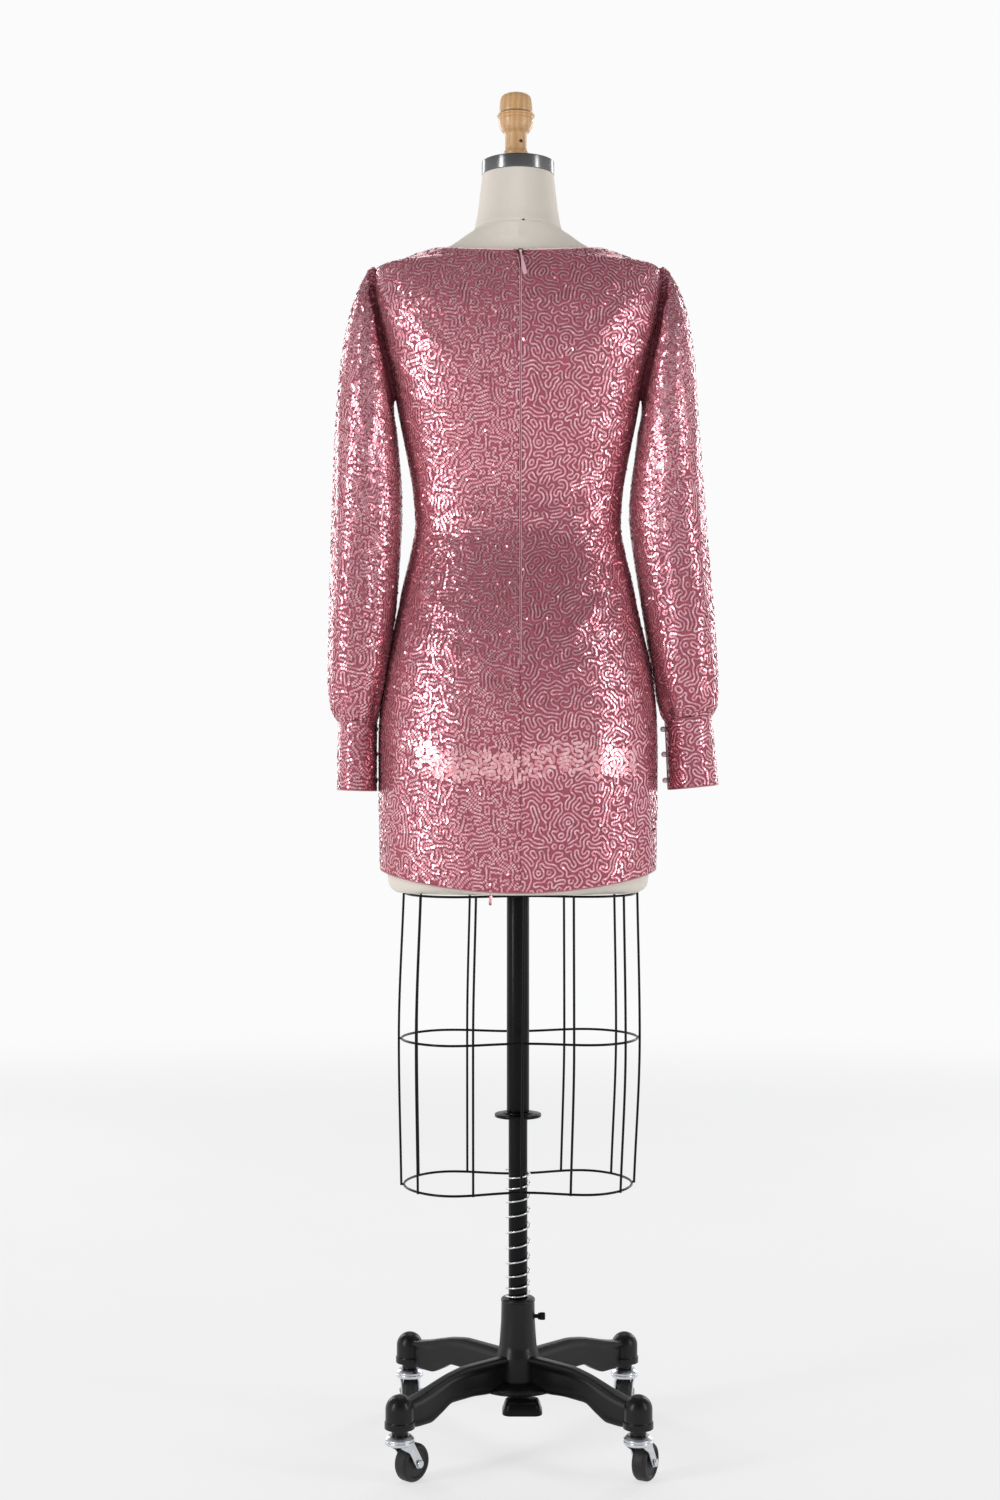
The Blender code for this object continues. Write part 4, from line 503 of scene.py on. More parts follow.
def clear_of_skirt(points, side):
    """Moves what hangs beside the body out, so that it clears the cloth."""
    below = UNDERARM - (points[..., 2] - FORM_BOTTOM)
    clearance = SEAM + HIP_CLEARANCE * np.clip(below / UNDERARM_OPENING, 0.0, 1.0)
    moved = points.copy()
    for _ in range(4):
        body = skin(*place_of(moved))
        limit = np.hypot(body[..., 0], body[..., 1]) + clearance
        close = (np.hypot(moved[..., 0], moved[..., 1]) < limit) & (below > 0)
        x = side * np.sqrt(np.maximum(limit * limit - moved[..., 1] ** 2, 0.0))
        moved[..., 0] = np.where(close, x, moved[..., 0])
    return moved


def grid_normals(grid, closed):
    """Directions square to a grid of points."""
    if closed:
        across = np.roll(grid, -1, axis=1) - np.roll(grid, 1, axis=1)
    else:
        across = np.gradient(grid, axis=1)
    return unit(np.cross(across, np.gradient(grid, axis=0)))


def sleeve_rise(index, height, angle):
    """How far folds and gathers raise a sleeve."""
    rise = np.zeros(np.broadcast(index, angle).shape)
    for fold in SLEEVE_FOLDS:
        share = np.clip((index - fold.first) / (fold.last - fold.first), 0.0, 1.0)
        off = angle_between(angle, fold.angle + fold.lean * (2 * share - 1)) / fold.width
        rise += fold.lift * MM * np.exp(-off * off) * np.sin(np.pi * share) ** FOLD_TAPER
    low = np.clip((GATHER_START - height) / (GATHER_START - SLEEVE_LEFT[-1].in_height), 0.0, 1.0)
    uneven = 1 + GATHER_UNEVEN * np.sin(np.radians(2 * angle + GATHER_TURN))
    wave = np.cos(np.radians(GATHERS * angle)) * uneven
    drawn = 1 - GATHER_DRAWN * np.clip((low - GATHER_DEEPEST) / (1 - GATHER_DEEPEST), 0.0, 1.0) ** 2
    rise += GATHER_DEPTH * low * drawn * wave
    head = np.clip(1 - np.abs(index - HEAD_ROW) / HEAD_ROWS, 0.0, 1.0) * np.cos(np.radians(angle / 2)) ** 2
    fine = np.cos(np.radians(FINE_GATHERS * angle + FINE_GATHER_SWAY * np.sin(np.radians(3 * angle))))
    return rise + FINE_GATHER_DEPTH * fine * np.maximum(low**4, head)


def sleeve_grid(side, sections):
    """A sleeve's cloth as a closed grid: rows from the armhole to the cuff's seam."""
    angles = np.arange(SLEEVE_COLUMNS) * 360 / SLEEVE_COLUMNS
    start = armhole_ring(side, SLEEVE_COLUMNS)
    start[:, 0] += side * SEAM
    centre = start.mean(axis=0)
    high = (1 + np.cos(np.radians(angles))) / 2
    apart = unit((start - centre) * (0, 1, 1))
    head = start + apart * HEAD_APART
    head[:, 0] += side * lerp(HEAD_OUT_LOW, HEAD_OUT, high)
    rings = [start, head] + [section_ring(section, angles, side) for section in sections]
    rings[-1][:, 2] += SEAM / 2
    rings = np.array(rings)
    indexes = np.arange(len(rings)) - 1.0
    surface = smooth_curve(indexes, rings)
    fine = np.linspace(indexes[0], indexes[-1], 400)
    walk = np.linalg.norm(np.diff(surface(fine), axis=0), axis=2).mean(axis=1)
    distance = np.concatenate([[0.0], np.cumsum(walk)])
    count = round(distance[-1] / SLEEVE_STEP)
    index = np.interp(np.linspace(0.0, distance[-1], count + 1), distance, fine)
    grid = surface(index)
    normals = grid_normals(grid, True) * side
    spokes = grid - grid.mean(axis=1, keepdims=True)
    if np.mean(normals[len(grid) // 2] * spokes[len(grid) // 2]) < 0:
        normals = -normals
    mean = grid[..., 2].mean(axis=1, keepdims=True) - FORM_BOTTOM
    rise = sleeve_rise(index[:, None], mean, angles[None, :])
    ends = np.clip((index[:, None] + 1) / 0.5, 0.0, 1.0)
    grid = grid + normals * (rise * ends)[..., None]
    return clear_of_skirt(grid, side)


def between(upper, lower, share):
    return Section(*(lerp(a, b, share) for a, b in zip(upper, lower)))


CUFF_GRID_ROWS = 22
CUFF_WAVES = ((5, 0.45, 20), (9, 0.3, 80))   # count round, depth in mm, phase in degrees


def cuff_grid(side, seam, hem):
    """A cuff's cloth: nearly smooth and a little uneven."""
    angles = np.arange(SLEEVE_COLUMNS) * 360 / SLEEVE_COLUMNS
    shares = np.linspace(0.0, 1.0, CUFF_GRID_ROWS + 1)
    grid = np.array([section_ring(between(seam, hem, share), angles, side) for share in shares])
    grid[0, :, 2] -= SEAM / 2
    spoke = unit((grid - grid.mean(axis=1, keepdims=True)) * (1, 1, 0))
    rise = sum(
        depth * MM * np.cos(np.radians(count * angles + phase)) for count, depth, phase in CUFF_WAVES
    )
    grid += spoke * (rise[None, :] * np.sin(np.pi * shares)[:, None])[..., None]
    return clear_of_skirt(grid, side)


# --- Finishes ---
class Socket:
    """A shader socket that takes part in plain arithmetic."""

    def __init__(self, finish, out):
        self.finish = finish
        self.out = out

    def maths(self, operation, a, b):
        return self.finish.node("ShaderNodeMath", {"operation": operation}, {0: a, 1: b})

    def __add__(self, other):
        return self.maths("ADD", self, other)

    def __mul__(self, other):
        return self.maths("MULTIPLY", self, other)

    def __sub__(self, other):
        return self.maths("SUBTRACT", self, other)

    def __pow__(self, other):
        return self.maths("POWER", self, other)


class Finish:
    """A material worked out with expressions on its nodes' sockets."""

    def __init__(self, name, constants):
        self.material = bpy.data.materials.new(name)
        self.material.use_nodes = True
        self.tree = self.material.node_tree
        self.surface = self.tree.nodes["Principled BSDF"]
        for socket, value in constants.items():
            self.surface.inputs[socket].default_value = value

    def node(self, kind, settings=None, sockets=None, out=0):
        made = self.tree.nodes.new(kind)
        for name, value in (settings or {}).items():
            setattr(made, name, value)
        for key, value in (sockets or {}).items():
            self.feed(made.inputs[key], value)
        return Socket(self, made.outputs[out])

    def feed(self, socket, value):
        """Links another socket, or sets a number or a colour of (red, green, blue)."""
        if isinstance(value, Socket):
            self.tree.links.new(value.out, socket)
        else:
            socket.default_value = (*value, 1.0) if socket.type == "RGBA" else value

    def shade(self, **inputs):
        """Feeds the surface: base_color, roughness, metallic, coat_weight or normal."""
        for name, value in inputs.items():
            self.feed(self.surface.inputs[name.replace("_", " ").title()], value)

    def place(self, stretch=(1, 1, 1)):
        """Object coordinates, stretched along each axis."""
        where = self.node("ShaderNodeTexCoord", out="Object")
        return self.node("ShaderNodeMapping", None, {"Vector": where, "Scale": stretch})

    def noise(self, scale, detail=2.0, stretch=(1, 1, 1)):
        sockets = {"Vector": self.place(stretch), "Scale": scale, "Detail": detail}
        return self.node("ShaderNodeTexNoise", None, sockets)

    def mix(self, factor, a, b):
        """A colour between two others."""
        sockets = {"Factor": factor, 6: a, 7: b}
        return self.node("ShaderNodeMix", {"data_type": "RGBA"}, sockets, out=2)

    def bump(self, height, distance, strength=1.0):
        sockets = {"Height": height, "Distance": distance, "Strength": strength}
        return self.node("ShaderNodeBump", None, sockets)

    def weave(self, pitch):
        """Threads over and under, 0 to 1, in the piece's own UV map, in metres."""
        where = self.node("ShaderNodeUVMap", {"uv_map": "cloth"})
        across = self.node("ShaderNodeSeparateXYZ", None, {0: where})
        along = self.node("ShaderNodeSeparateXYZ", None, {0: where}, out=1)
        turn = 2 * math.pi / pitch
        warp = self.node("ShaderNodeMath", {"operation": "SINE"}, {0: across * turn})
        weft = self.node("ShaderNodeMath", {"operation": "SINE"}, {0: along * turn})
        return warp * weft * 0.5 + 0.5


def mesh_cloth():
    """The fine rose mesh under the sequins, with its backing."""
    made = Finish("rose_mesh_cloth", {"Specular IOR Level": 0.2})
    weave = made.weave(1.1 * MM)
    patch = made.noise(22.0, 3.0)
    shade = made.mix(patch, (0.38, 0.090, 0.125), (0.48, 0.125, 0.165))
    made.shade(
        base_color=made.mix(weave * 0.45, shade, (0.20, 0.040, 0.062)),
        roughness=patch * 0.2 + 0.56,
        normal=made.bump(weave, 0.15 * MM, 0.7),
    )
    return made.material


def folded_edge(name, deep, pale):
    """A stitched fold of the mesh: paler in worn patches, and with painted highlight where its threads
    rise.
    """
    made = Finish(name, {"Specular IOR Level": 0.4, "Sheen Weight": 0.3})
    threads = made.noise(1100.0, 2.0)
    wear_and_groove_shade = made.noise(70.0, 3.0)
    made.shade(
        base_color=made.mix(threads * 0.6 + wear_and_groove_shade * 0.4, deep, pale),
        roughness=threads * 0.25 + 0.42,
        normal=made.bump(threads, 0.12 * MM, 0.8),
    )
    return made.material


def sequin_finish(name, tone, roughness):
    """One tone of the paillettes, with painted shade: bright down the middle of their row, darker where
    rows meet.
    """
    made = Finish(name, {"Metallic": 0.66, "Coat Weight": 0.4, "Coat Roughness": 0.1})
    cloud = made.noise(34.0, 3.0)
    row = made.node("ShaderNodeUVMap", {"uv_map": "row"})
    beside = made.node("ShaderNodeSeparateXYZ", None, {0: row})
    beside = made.node("ShaderNodeMath", {"operation": "ABSOLUTE"}, {0: beside})
    # Painted shade: darker towards a sequin's edges across its row, where rows meet.
    row_shade_mask = made.node("ShaderNodeMapRange", {"interpolation_type": "SMOOTHSTEP"}, {
        "Value": beside, "From Min": PAINTED_SHADE_FROM, "From Max": PAINTED_SHADE_FULL,
    })
    bright = made.mix(cloud, tuple(part * 0.86 for part in tone), tone)
    made.shade(base_color=made.mix(row_shade_mask, bright, ROW_PAINTED_SHADE), roughness=cloud * 0.12 + roughness)
    return made.material


Grained = namedtuple("Grained", "name constants grain patch dark pale rough bump")
GRAINED = {
    # the grain that is felt and the patches that are seen, each as scale, detail and stretch;
    # two tones; roughness as how much the grain adds, and to what; depth in mm and strength
    "lining": Grained(
        "pale_satin_lining", {"Specular IOR Level": 0.6, "Sheen Weight": 0.4}, (900.0, 2.0), (60.0,),
        (0.80, 0.55, 0.56), (0.90, 0.68, 0.68), (0.2, 0.34), (0.1, 0.5)),
    "zip_coil": Grained(
        "zip_coil_and_tape", {"Specular IOR Level": 0.5}, (1500.0, 1.0, (0.25, 1, 1)), None,
        (0.055, 0.016, 0.024), (0.17, 0.05, 0.07), (0.25, 0.4), (0.2, 0.8)),
    "zip_metal": Grained(
        "dark_slider_metal", {"Metallic": 1.0}, (420.0, 4.0), None,
        (0.10, 0.085, 0.085), (0.22, 0.19, 0.185), (0.3, 0.2), (0.03, 0.5)),
    "zip_pull": Grained(
        "pink_pull_lacquer", {"Metallic": 0.15, "Coat Weight": 0.8, "Coat Roughness": 0.1}, (160.0, 3.0),
        None, (0.70, 0.36, 0.42), (0.84, 0.52, 0.56), (0.2, 0.25), None),
    "cast_iron": Grained(
        "black_cast_iron", {"Specular IOR Level": 0.25, "Coat Weight": 0.12, "Coat Roughness": 0.2},
        (520.0, 4.0), (34.0, 4.0), (0.0018, 0.0018, 0.0018), (0.0050, 0.0048, 0.0048),
        (0.2, 0.24), (0.22, 0.8)),
    "thread": Grained(
        "rose_thread", {"Sheen Weight": 0.3}, (2400.0, 1.0), None,
        (0.34, 0.10, 0.15), (0.60, 0.27, 0.33), (0.2, 0.55), None),
}


def grained(look):
    """A finish with one grain: two tones, with roughness and bumps that follow it."""
    made = Finish(look.name, look.constants)
    grain = made.noise(*look.grain)
    patch = made.noise(*look.patch) if look.patch else grain
    made.shade(
        base_color=made.mix(patch, look.dark, look.pale),
        roughness=grain * look.rough[0] + look.rough[1],
    )
    if look.bump:
        made.shade(normal=made.bump(grain, look.bump[0] * MM, look.bump[1]))
    return made.material


def pearl():
    made = Finish("pearl_button", {"Coat Weight": 1.0, "Coat Roughness": 0.06, "Sheen Weight": 0.2})
    lustre = made.noise(190.0, 3.0)
    made.shade(
        base_color=made.mix(lustre, (0.86, 0.74, 0.71), (0.93, 0.88, 0.85)),
        roughness=lustre * 0.15 + 0.14,
        metallic=lustre * 0.15,
    )
    return made.material


def linen():
    """Off-white stretched linen: a plain weave with thicker threads here and there."""
    made = Finish("stretched_linen", {"Sheen Weight": 0.15, "Specular IOR Level": 0.25})
    weave = made.weave(0.9 * MM)
    slubs = made.noise(140.0, 3.0, (1, 1, 12)) * 0.5 + made.noise(140.0, 3.0, (10, 10, 1)) * 0.5
    tone = made.mix(slubs, (0.70, 0.635, 0.555), (0.82, 0.765, 0.69))
    made.shade(
        base_color=made.mix(weave * 0.28, tone, (0.56, 0.50, 0.43)),
        roughness=slubs * 0.15 + 0.78,
        normal=made.bump(weave + slubs * 1.4, 0.14 * MM, 0.8),
    )
    return made.material


def polished_steel():
    made = Finish("polished_steel", {"Metallic": 1.0})
    lines = made.noise(900.0, 2.0, (0.05, 0.05, 1))
    smear = made.noise(30.0, 3.0)
    made.shade(
        base_color=made.mix(smear, (0.14, 0.14, 0.142), (0.21, 0.21, 0.212)),
        roughness=lines * 0.12 + smear * 0.08 + 0.12,
        normal=made.bump(lines, 0.01 * MM, 0.4),
    )
    return made.material


FINIAL_GROOVE = 1.6166      # height of the groove above the ridge, darkened by painted shade
FINIAL_CAP = 1.6378         # and of the darker top


def turned_wood():
    """Pale varnished wood, its grain upright and its rings cut by the turning."""
    made = Finish("turned_wood", {"Coat Weight": 0.3, "Coat Roughness": 0.25})
    warp = made.noise(18.0, 3.0, (1, 1, 0.3))
    parts = made.node("ShaderNodeSeparateXYZ", None, {0: made.place((1, 1, 0.12))})
    rings = made.node("ShaderNodeMath", {"operation": "SINE"}, {0: parts * 900.0 + warp * 26.0})
    pores = made.noise(900.0, 3.0, (1, 1, 0.05))
    bright = made.mix(rings * 0.5 + 0.5, (0.54, 0.30, 0.125), (0.64, 0.39, 0.185))
    height = made.node("ShaderNodeSeparateXYZ", None, {0: made.place((0, 0, 1))}, out="Z")
    # Painted shade in the groove: the wood darkens within about 2 mm of it.
    groove = made.node("ShaderNodeMath", {"operation": "ABSOLUTE"}, {0: height - FINIAL_GROOVE})
    wear_and_groove_shade = made.node("ShaderNodeMapRange", None, {
        "Value": groove, "From Min": 0.6 * MM, "From Max": 2.2 * MM, "To Min": 0.65, "To Max": 0.0,
    })
    cap = made.node("ShaderNodeMapRange", None, {
        "Value": height, "From Min": FINIAL_CAP, "From Max": FINIAL_CAP + 1.2 * MM, "To Max": 0.8,
    })
    bright = made.mix(wear_and_groove_shade, bright, (0.16, 0.075, 0.03))
    bright = made.mix(cap, bright, (0.10, 0.05, 0.025))
    made.shade(
        base_color=made.mix(pores**3.0 * 0.9, bright, (0.32, 0.16, 0.06)),
        roughness=pores * 0.25 + 0.3,
        normal=made.bump(pores + rings * 0.15, 0.08 * MM, 0.6),
    )
    return made.material


def black_enamel():
    made = Finish("black_enamel", {"Specular IOR Level": 0.12, "Coat Weight": 0.05, "Coat Roughness": 0.12})
    peel = made.noise(320.0, 2.0)
    dust = made.noise(26.0, 4.0)
    made.shade(
        base_color=made.mix(dust, (0.0012, 0.0012, 0.0012), (0.0030, 0.0029, 0.0029)),
        roughness=dust * 0.2 + 0.2,
        normal=made.bump(peel, 0.05 * MM, 0.4),
    )
    return made.material


def zinc():
    made = Finish("bright_zinc", {"Metallic": 1.0})
    spangle = made.noise(210.0, 3.0)
    drawn = made.noise(1200.0, 2.0, (1, 1, 0.2))
    made.shade(
        base_color=made.mix(spangle, (0.52, 0.54, 0.57), (0.78, 0.80, 0.83)),
        roughness=spangle * 0.2 + drawn * 0.1 + 0.14,
        normal=made.bump(drawn, 0.02 * MM, 0.5),
    )
    return made.material


def rubber():
    made = Finish("black_wheel_rubber", {"Specular IOR Level": 0.4})
    scuff = made.noise(260.0, 4.0)
    dust = made.noise(48.0, 3.0)
    made.shade(
        base_color=made.mix(dust**2.0, (0.006, 0.006, 0.006), (0.030, 0.0285, 0.027)),
        roughness=scuff * 0.25 + 0.42,
        normal=made.bump(scuff, 0.08 * MM, 0.6),
    )
    return made.material


SEQUIN_TONES = (
    ("sequin_rose", (0.90, 0.43, 0.47), 0.18),
    ("sequin_pale_rose", (0.96, 0.58, 0.61), 0.15),
    ("sequin_deep_rose", (0.80, 0.29, 0.34), 0.22),
)
TONE_SHARES = (0.5, 0.3, 0.2)
# Painted shade across each row of sequins: it starts at the first of these distances, is full at the
# second, and turns to the shade colour below.
PAINTED_SHADE_FROM = 0.22           # of a sequin's radius from the middle of its row
PAINTED_SHADE_FULL = 0.60
ROW_PAINTED_SHADE = (0.46, 0.14, 0.20)
FINISHES = {slot: grained(look) for slot, look in GRAINED.items()}
FINISHES |= {
    "mesh": mesh_cloth(), "pearl": pearl(), "linen": linen(), "polished_steel": polished_steel(),
    "mesh_edge": folded_edge("folded_mesh_edge", (0.26, 0.065, 0.095), (0.60, 0.25, 0.31)),
    "lining_rose": folded_edge("folded_zip_edge", (0.38, 0.12, 0.165), (0.86, 0.50, 0.55)),
    "turned_wood": turned_wood(), "black_enamel": black_enamel(), "zinc": zinc(),
    "wheel_rubber": rubber(),
}
SEQUIN_FINISHES = [sequin_finish(*tone) for tone in SEQUIN_TONES]


# --- Making pieces ---
def piece(name, data, finish, body, nodes=()):
    """Links a finished mesh or curve, and says what it rides on and stands for."""
    made = bpy.data.objects.new(name, data)
    bpy.context.scene.collection.objects.link(made)
    if finish is not None:
        data.materials.append(finish)
    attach(made, body)
    if nodes:
        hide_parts(*nodes)
    return made


def mesh_from(bm, name, sharp=35):
    bmesh.ops.remove_doubles(bm, verts=bm.verts, dist=SAME_PLACE)
    bmesh.ops.recalc_face_normals(bm, faces=bm.faces)
    data = bpy.data.meshes.new(name)
    bm.to_mesh(data)
    bm.free()
    data.shade_smooth()
    data.set_sharp_from_angle(angle=math.radians(sharp))
    return data


def on_origin(points):
    return points + np.array((0.0, POLE_Y, 0.0))


def cloth_sizes(grid, closed):
    """Width and length of the flat cut, and its area."""
    wide = np.concatenate([grid, grid[:, :1]], axis=1) if closed else grid
    across = np.linalg.norm(np.diff(wide, axis=1), axis=2)
    along = np.linalg.norm(np.diff(wide, axis=0), axis=2)
    a, b = wide[1:, 1:] - wide[:-1, :-1], wide[1:, :-1] - wide[:-1, 1:]
    area = 0.5 * np.linalg.norm(np.cross(a, b), axis=2).sum()
    return across.sum(axis=1).max(), along.sum(axis=0).max(), area


def cloth_grid(grid, closed):
    """Faces over a grid of points, with its flat measures as the UV map "cloth"."""
    points = np.concatenate([grid, grid[:, :1]], axis=1) if closed else grid
    rows, columns = points.shape[:2]
    bm = bmesh.new()
    bmesh.ops.create_grid(bm, x_segments=columns - 1, y_segments=rows - 1, size=1.0)
    uv = bm.loops.layers.uv.new("cloth")
    across = np.linalg.norm(np.diff(points, axis=1), axis=2)
    along = np.linalg.norm(np.diff(points, axis=0), axis=2)
    u = np.concatenate([np.zeros((rows, 1)), np.cumsum(across, axis=1)], axis=1).ravel()
    v = np.concatenate([np.zeros((1, columns)), np.cumsum(along, axis=0)], axis=0).ravel()
    bm.verts.ensure_lookup_table()
    for vert, point in zip(bm.verts, on_origin(points).reshape(-1, 3)):
        vert.co = point
    for face in bm.faces:
        for loop in face.loops:
            loop[uv].uv = (u[loop.vert.index], v[loop.vert.index])
    return bm


def cloth_shell(name, grid, closed, finish, thickness, nodes):
    """A thin shell of cloth over a grid of points, outer face first."""
    data = mesh_from(cloth_grid(grid, closed), name, 180)
    turn_out(data, grid.reshape(-1, 3).mean(axis=0) if closed else np.zeros(3))
    made = piece(name, data, FINISHES[finish], "form", nodes)
    wall = made.modifiers.new("wall", "SOLIDIFY")
    wall.thickness = thickness
    wall.offset = -1.0
    return made


def turn_out(data, middle):
    """Turns a shell's faces away from the upright line through a place."""
    middle = Vector(on_origin(middle))
    total = 0.0
    for face in data.polygons:
        away = face.center - middle
        away.z = 0
        total += face.normal.dot(away) * face.area
    if total < 0:
        data.flip_normals()


# --- Vermicelli: the wandering line that the sequins are sewn along ---
LINE_SPACING = 4.3 * MM
SEQUIN_PITCH = 2.95 * MM
TILE_CELLS = 480
CELLS_PER_LINE = 4          # grid cells from one run of the line to the next
TILE = TILE_CELLS * LINE_SPACING / CELLS_PER_LINE
BAND_STEPS = 26             # few, so that the bands still wriggle
BAND_PACE = 0.5
BAND_GROWTH = 1.2
BAND_EVENNESS = 0.25        # low, so that the bands break into short curls


def banded_field():
    """High and low bands that wander at an even width, repeating at the tile's edges."""
    draw = np.random.default_rng(11)
    waves = 2 * np.pi * np.fft.fftfreq(TILE_CELLS)
    square = waves[:, None] ** 2 + waves[None, :] ** 2
    wanted = (np.pi / CELLS_PER_LINE) ** 2
    damping = 1 + BAND_PACE * (BAND_EVENNESS * (square / wanted - 1) ** 2 - BAND_GROWTH)
    field = draw.normal(0.0, 0.1, (TILE_CELLS, TILE_CELLS))
    for _ in range(BAND_STEPS):
        field = np.fft.ifft2(np.fft.fft2(field - BAND_PACE * field**3) / damping).real
    return field


def crossings(field):
    """Where the line between bands crosses the grid's edges, and each crossing's neighbours."""
    n = len(field)
    ids = np.arange(n * n).reshape(n, n)
    column, row = np.meshgrid(np.arange(n), np.arange(n))
    right, above = np.roll(field, -1, 1), np.roll(field, -1, 0)
    spots = np.full((2 * n * n, 2), np.nan)
    flat = (field > 0) != (right > 0)
    steep = (field > 0) != (above > 0)
    spots[ids[flat]] = np.stack([(column + field / (field - right))[flat], row[flat]], axis=1)
    up = np.stack([column[steep], (row + field / (field - above))[steep]], axis=1)
    spots[n * n + ids[steep]] = up
    # A cell's edges in turn: lower, right, upper, left.
    edges = np.stack([
        ids, n * n + np.roll(ids, -1, 1), np.roll(ids, -1, 0), n * n + ids,
    ], axis=-1).reshape(-1, 4)
    crossed = np.stack([flat, np.roll(steep, -1, 1), np.roll(flat, -1, 0), steep], axis=-1).reshape(-1, 4)
    twice = crossed.sum(axis=1) == 2
    saddle = crossed.all(axis=1)
    pairs = np.concatenate([
        edges[twice][crossed[twice]].reshape(-1, 2), edges[saddle][:, (0, 1)], edges[saddle][:, (2, 3)],
    ])
    both = np.concatenate([pairs, pairs[:, ::-1]])
    both = both[np.argsort(both[:, 0], kind="stable")]
    return spots, dict(zip(both[::2, 0].tolist(), both[:, 1].reshape(-1, 2).tolist()))


def vermicelli():
    """Places on the tile and headings of the sequins, at an even pitch along the line."""
    spots, neighbours = crossings(banded_field())
    left = set(neighbours)
    found = []
    for first in sorted(neighbours):
        if first not in left:
            continue
        chain = [first]
        left.discard(first)
        here = neighbours[first][0]
        while here in left:
            chain.append(here)
            left.discard(here)
            a, b = neighbours[here]
            here = a if a in left else b
        line = spots[chain + [first]]
        steps = np.diff(line, axis=0)
        steps -= TILE_CELLS * np.round(steps / TILE_CELLS)
        line = (line[0] + np.concatenate([[(0, 0)], np.cumsum(steps, axis=0)])) * TILE / TILE_CELLS
        length = np.concatenate([[0.0], np.cumsum(np.linalg.norm(np.diff(line, axis=0), axis=1))])
        count = round(length[-1] / SEQUIN_PITCH)
        if count < 4:
            continue
        at = np.arange(count) * length[-1] / count
        ahead = np.stack([np.interp(at + 0.7 * MM, length, line[:, k]) for k in (0, 1)], axis=1)
        place = np.stack([np.interp(at, length, line[:, k]) for k in (0, 1)], axis=1)
        way = ahead - place
        found.append(np.column_stack([place % TILE, np.arctan2(way[:, 1], way[:, 0])]))
    return np.concatenate(found)


LINE = vermicelli()


def line_over(low, high, shift):
    """The line's sequins over a rectangle of flat cloth: across, along and heading."""
    found = []
    for i in range(math.floor((low[0] - shift[0]) / TILE), math.ceil((high[0] - shift[0]) / TILE)):
        for j in range(math.floor((low[1] - shift[1]) / TILE), math.ceil((high[1] - shift[1]) / TILE)):
            found.append(LINE + (shift[0] + i * TILE, shift[1] + j * TILE, 0.0))
    found = np.concatenate(found)
    inside = (found[:, :2] > low).all(axis=1) & (found[:, :2] < high).all(axis=1)
    return found[inside]


# --- Sequins on a grid of cloth ---
SEQUIN_RADIUS = 2.0 * MM
SEQUIN_SIDES = 6
SEQUIN_CUP = 0.16 * MM
SEQUIN_LIFT = 0.5 * MM
SEQUIN_LEAN = 4.0           # degrees, each lies on the one before
SEQUIN_LOOSE = 3.0          # degrees, how unevenly they lie
STRAY_SHARE = 0.035
STRAY_LOOSE = 15.0          # the few that have turned on their thread
EDGE_MARGIN = 1.0 * MM
SLIDER_ROOM = 5.6 * MM      # to each side of the zip's top, where no sequin is sewn
SLIDER_ROOM_LOW = 1.421
SLIDER_ROOM_HIGH = 1.435
SMOOTHED_HEIGHT = 0.831     # the stretch across the seat that has been stroked flat
SMOOTHED_REACH = 17.0 * MM
SMOOTHED_RIGHT = -0.139
SMOOTHED_LEFT = 0.121
# The ragged edge of that stretch: radians to a metre, depth in mm, phase.
SMOOTHED_EDGE = ((31, 5.0, 0.4), (77, 4.0, 2.0), (210, 3.5, 1.1))
SMOOTHED_SHARE = 0.92
SMOOTHED_LOOSE = 0.6        # degrees
SMOOTHED_SPREAD = 0.22      # of a sequin's radius
SMOOTHED_ROW = 0.5          # how much of the painted row shade is left


def sampled(values, row, column):
    """Values between a grid's rows and columns."""
    r = np.clip(np.floor(row).astype(int), 0, values.shape[0] - 2)
    c = np.clip(np.floor(column).astype(int), 0, values.shape[1] - 2)
    f = np.clip(row - r, 0.0, 1.0).reshape(row.shape + (1,) * (values.ndim - 2))
    g = np.clip(column - c, 0.0, 1.0).reshape(row.shape + (1,) * (values.ndim - 2))
    low = lerp(values[r, c], values[r, c + 1], g)
    return lerp(low, lerp(values[r + 1, c], values[r + 1, c + 1], g), f)


def flat_coordinates(grid, middle):
    """Distances across from a middle column, and along from the first row."""
    across = np.linalg.norm(np.diff(grid, axis=1), axis=2)
    u = np.concatenate([np.zeros((len(grid), 1)), np.cumsum(across, axis=1)], axis=1)
    u = u - u[:, middle:middle + 1]
    along = np.linalg.norm(np.diff(grid, axis=0), axis=2)
    v = np.concatenate([np.zeros((1, grid.shape[1])), np.cumsum(along, axis=0)], axis=0)
    return u, v


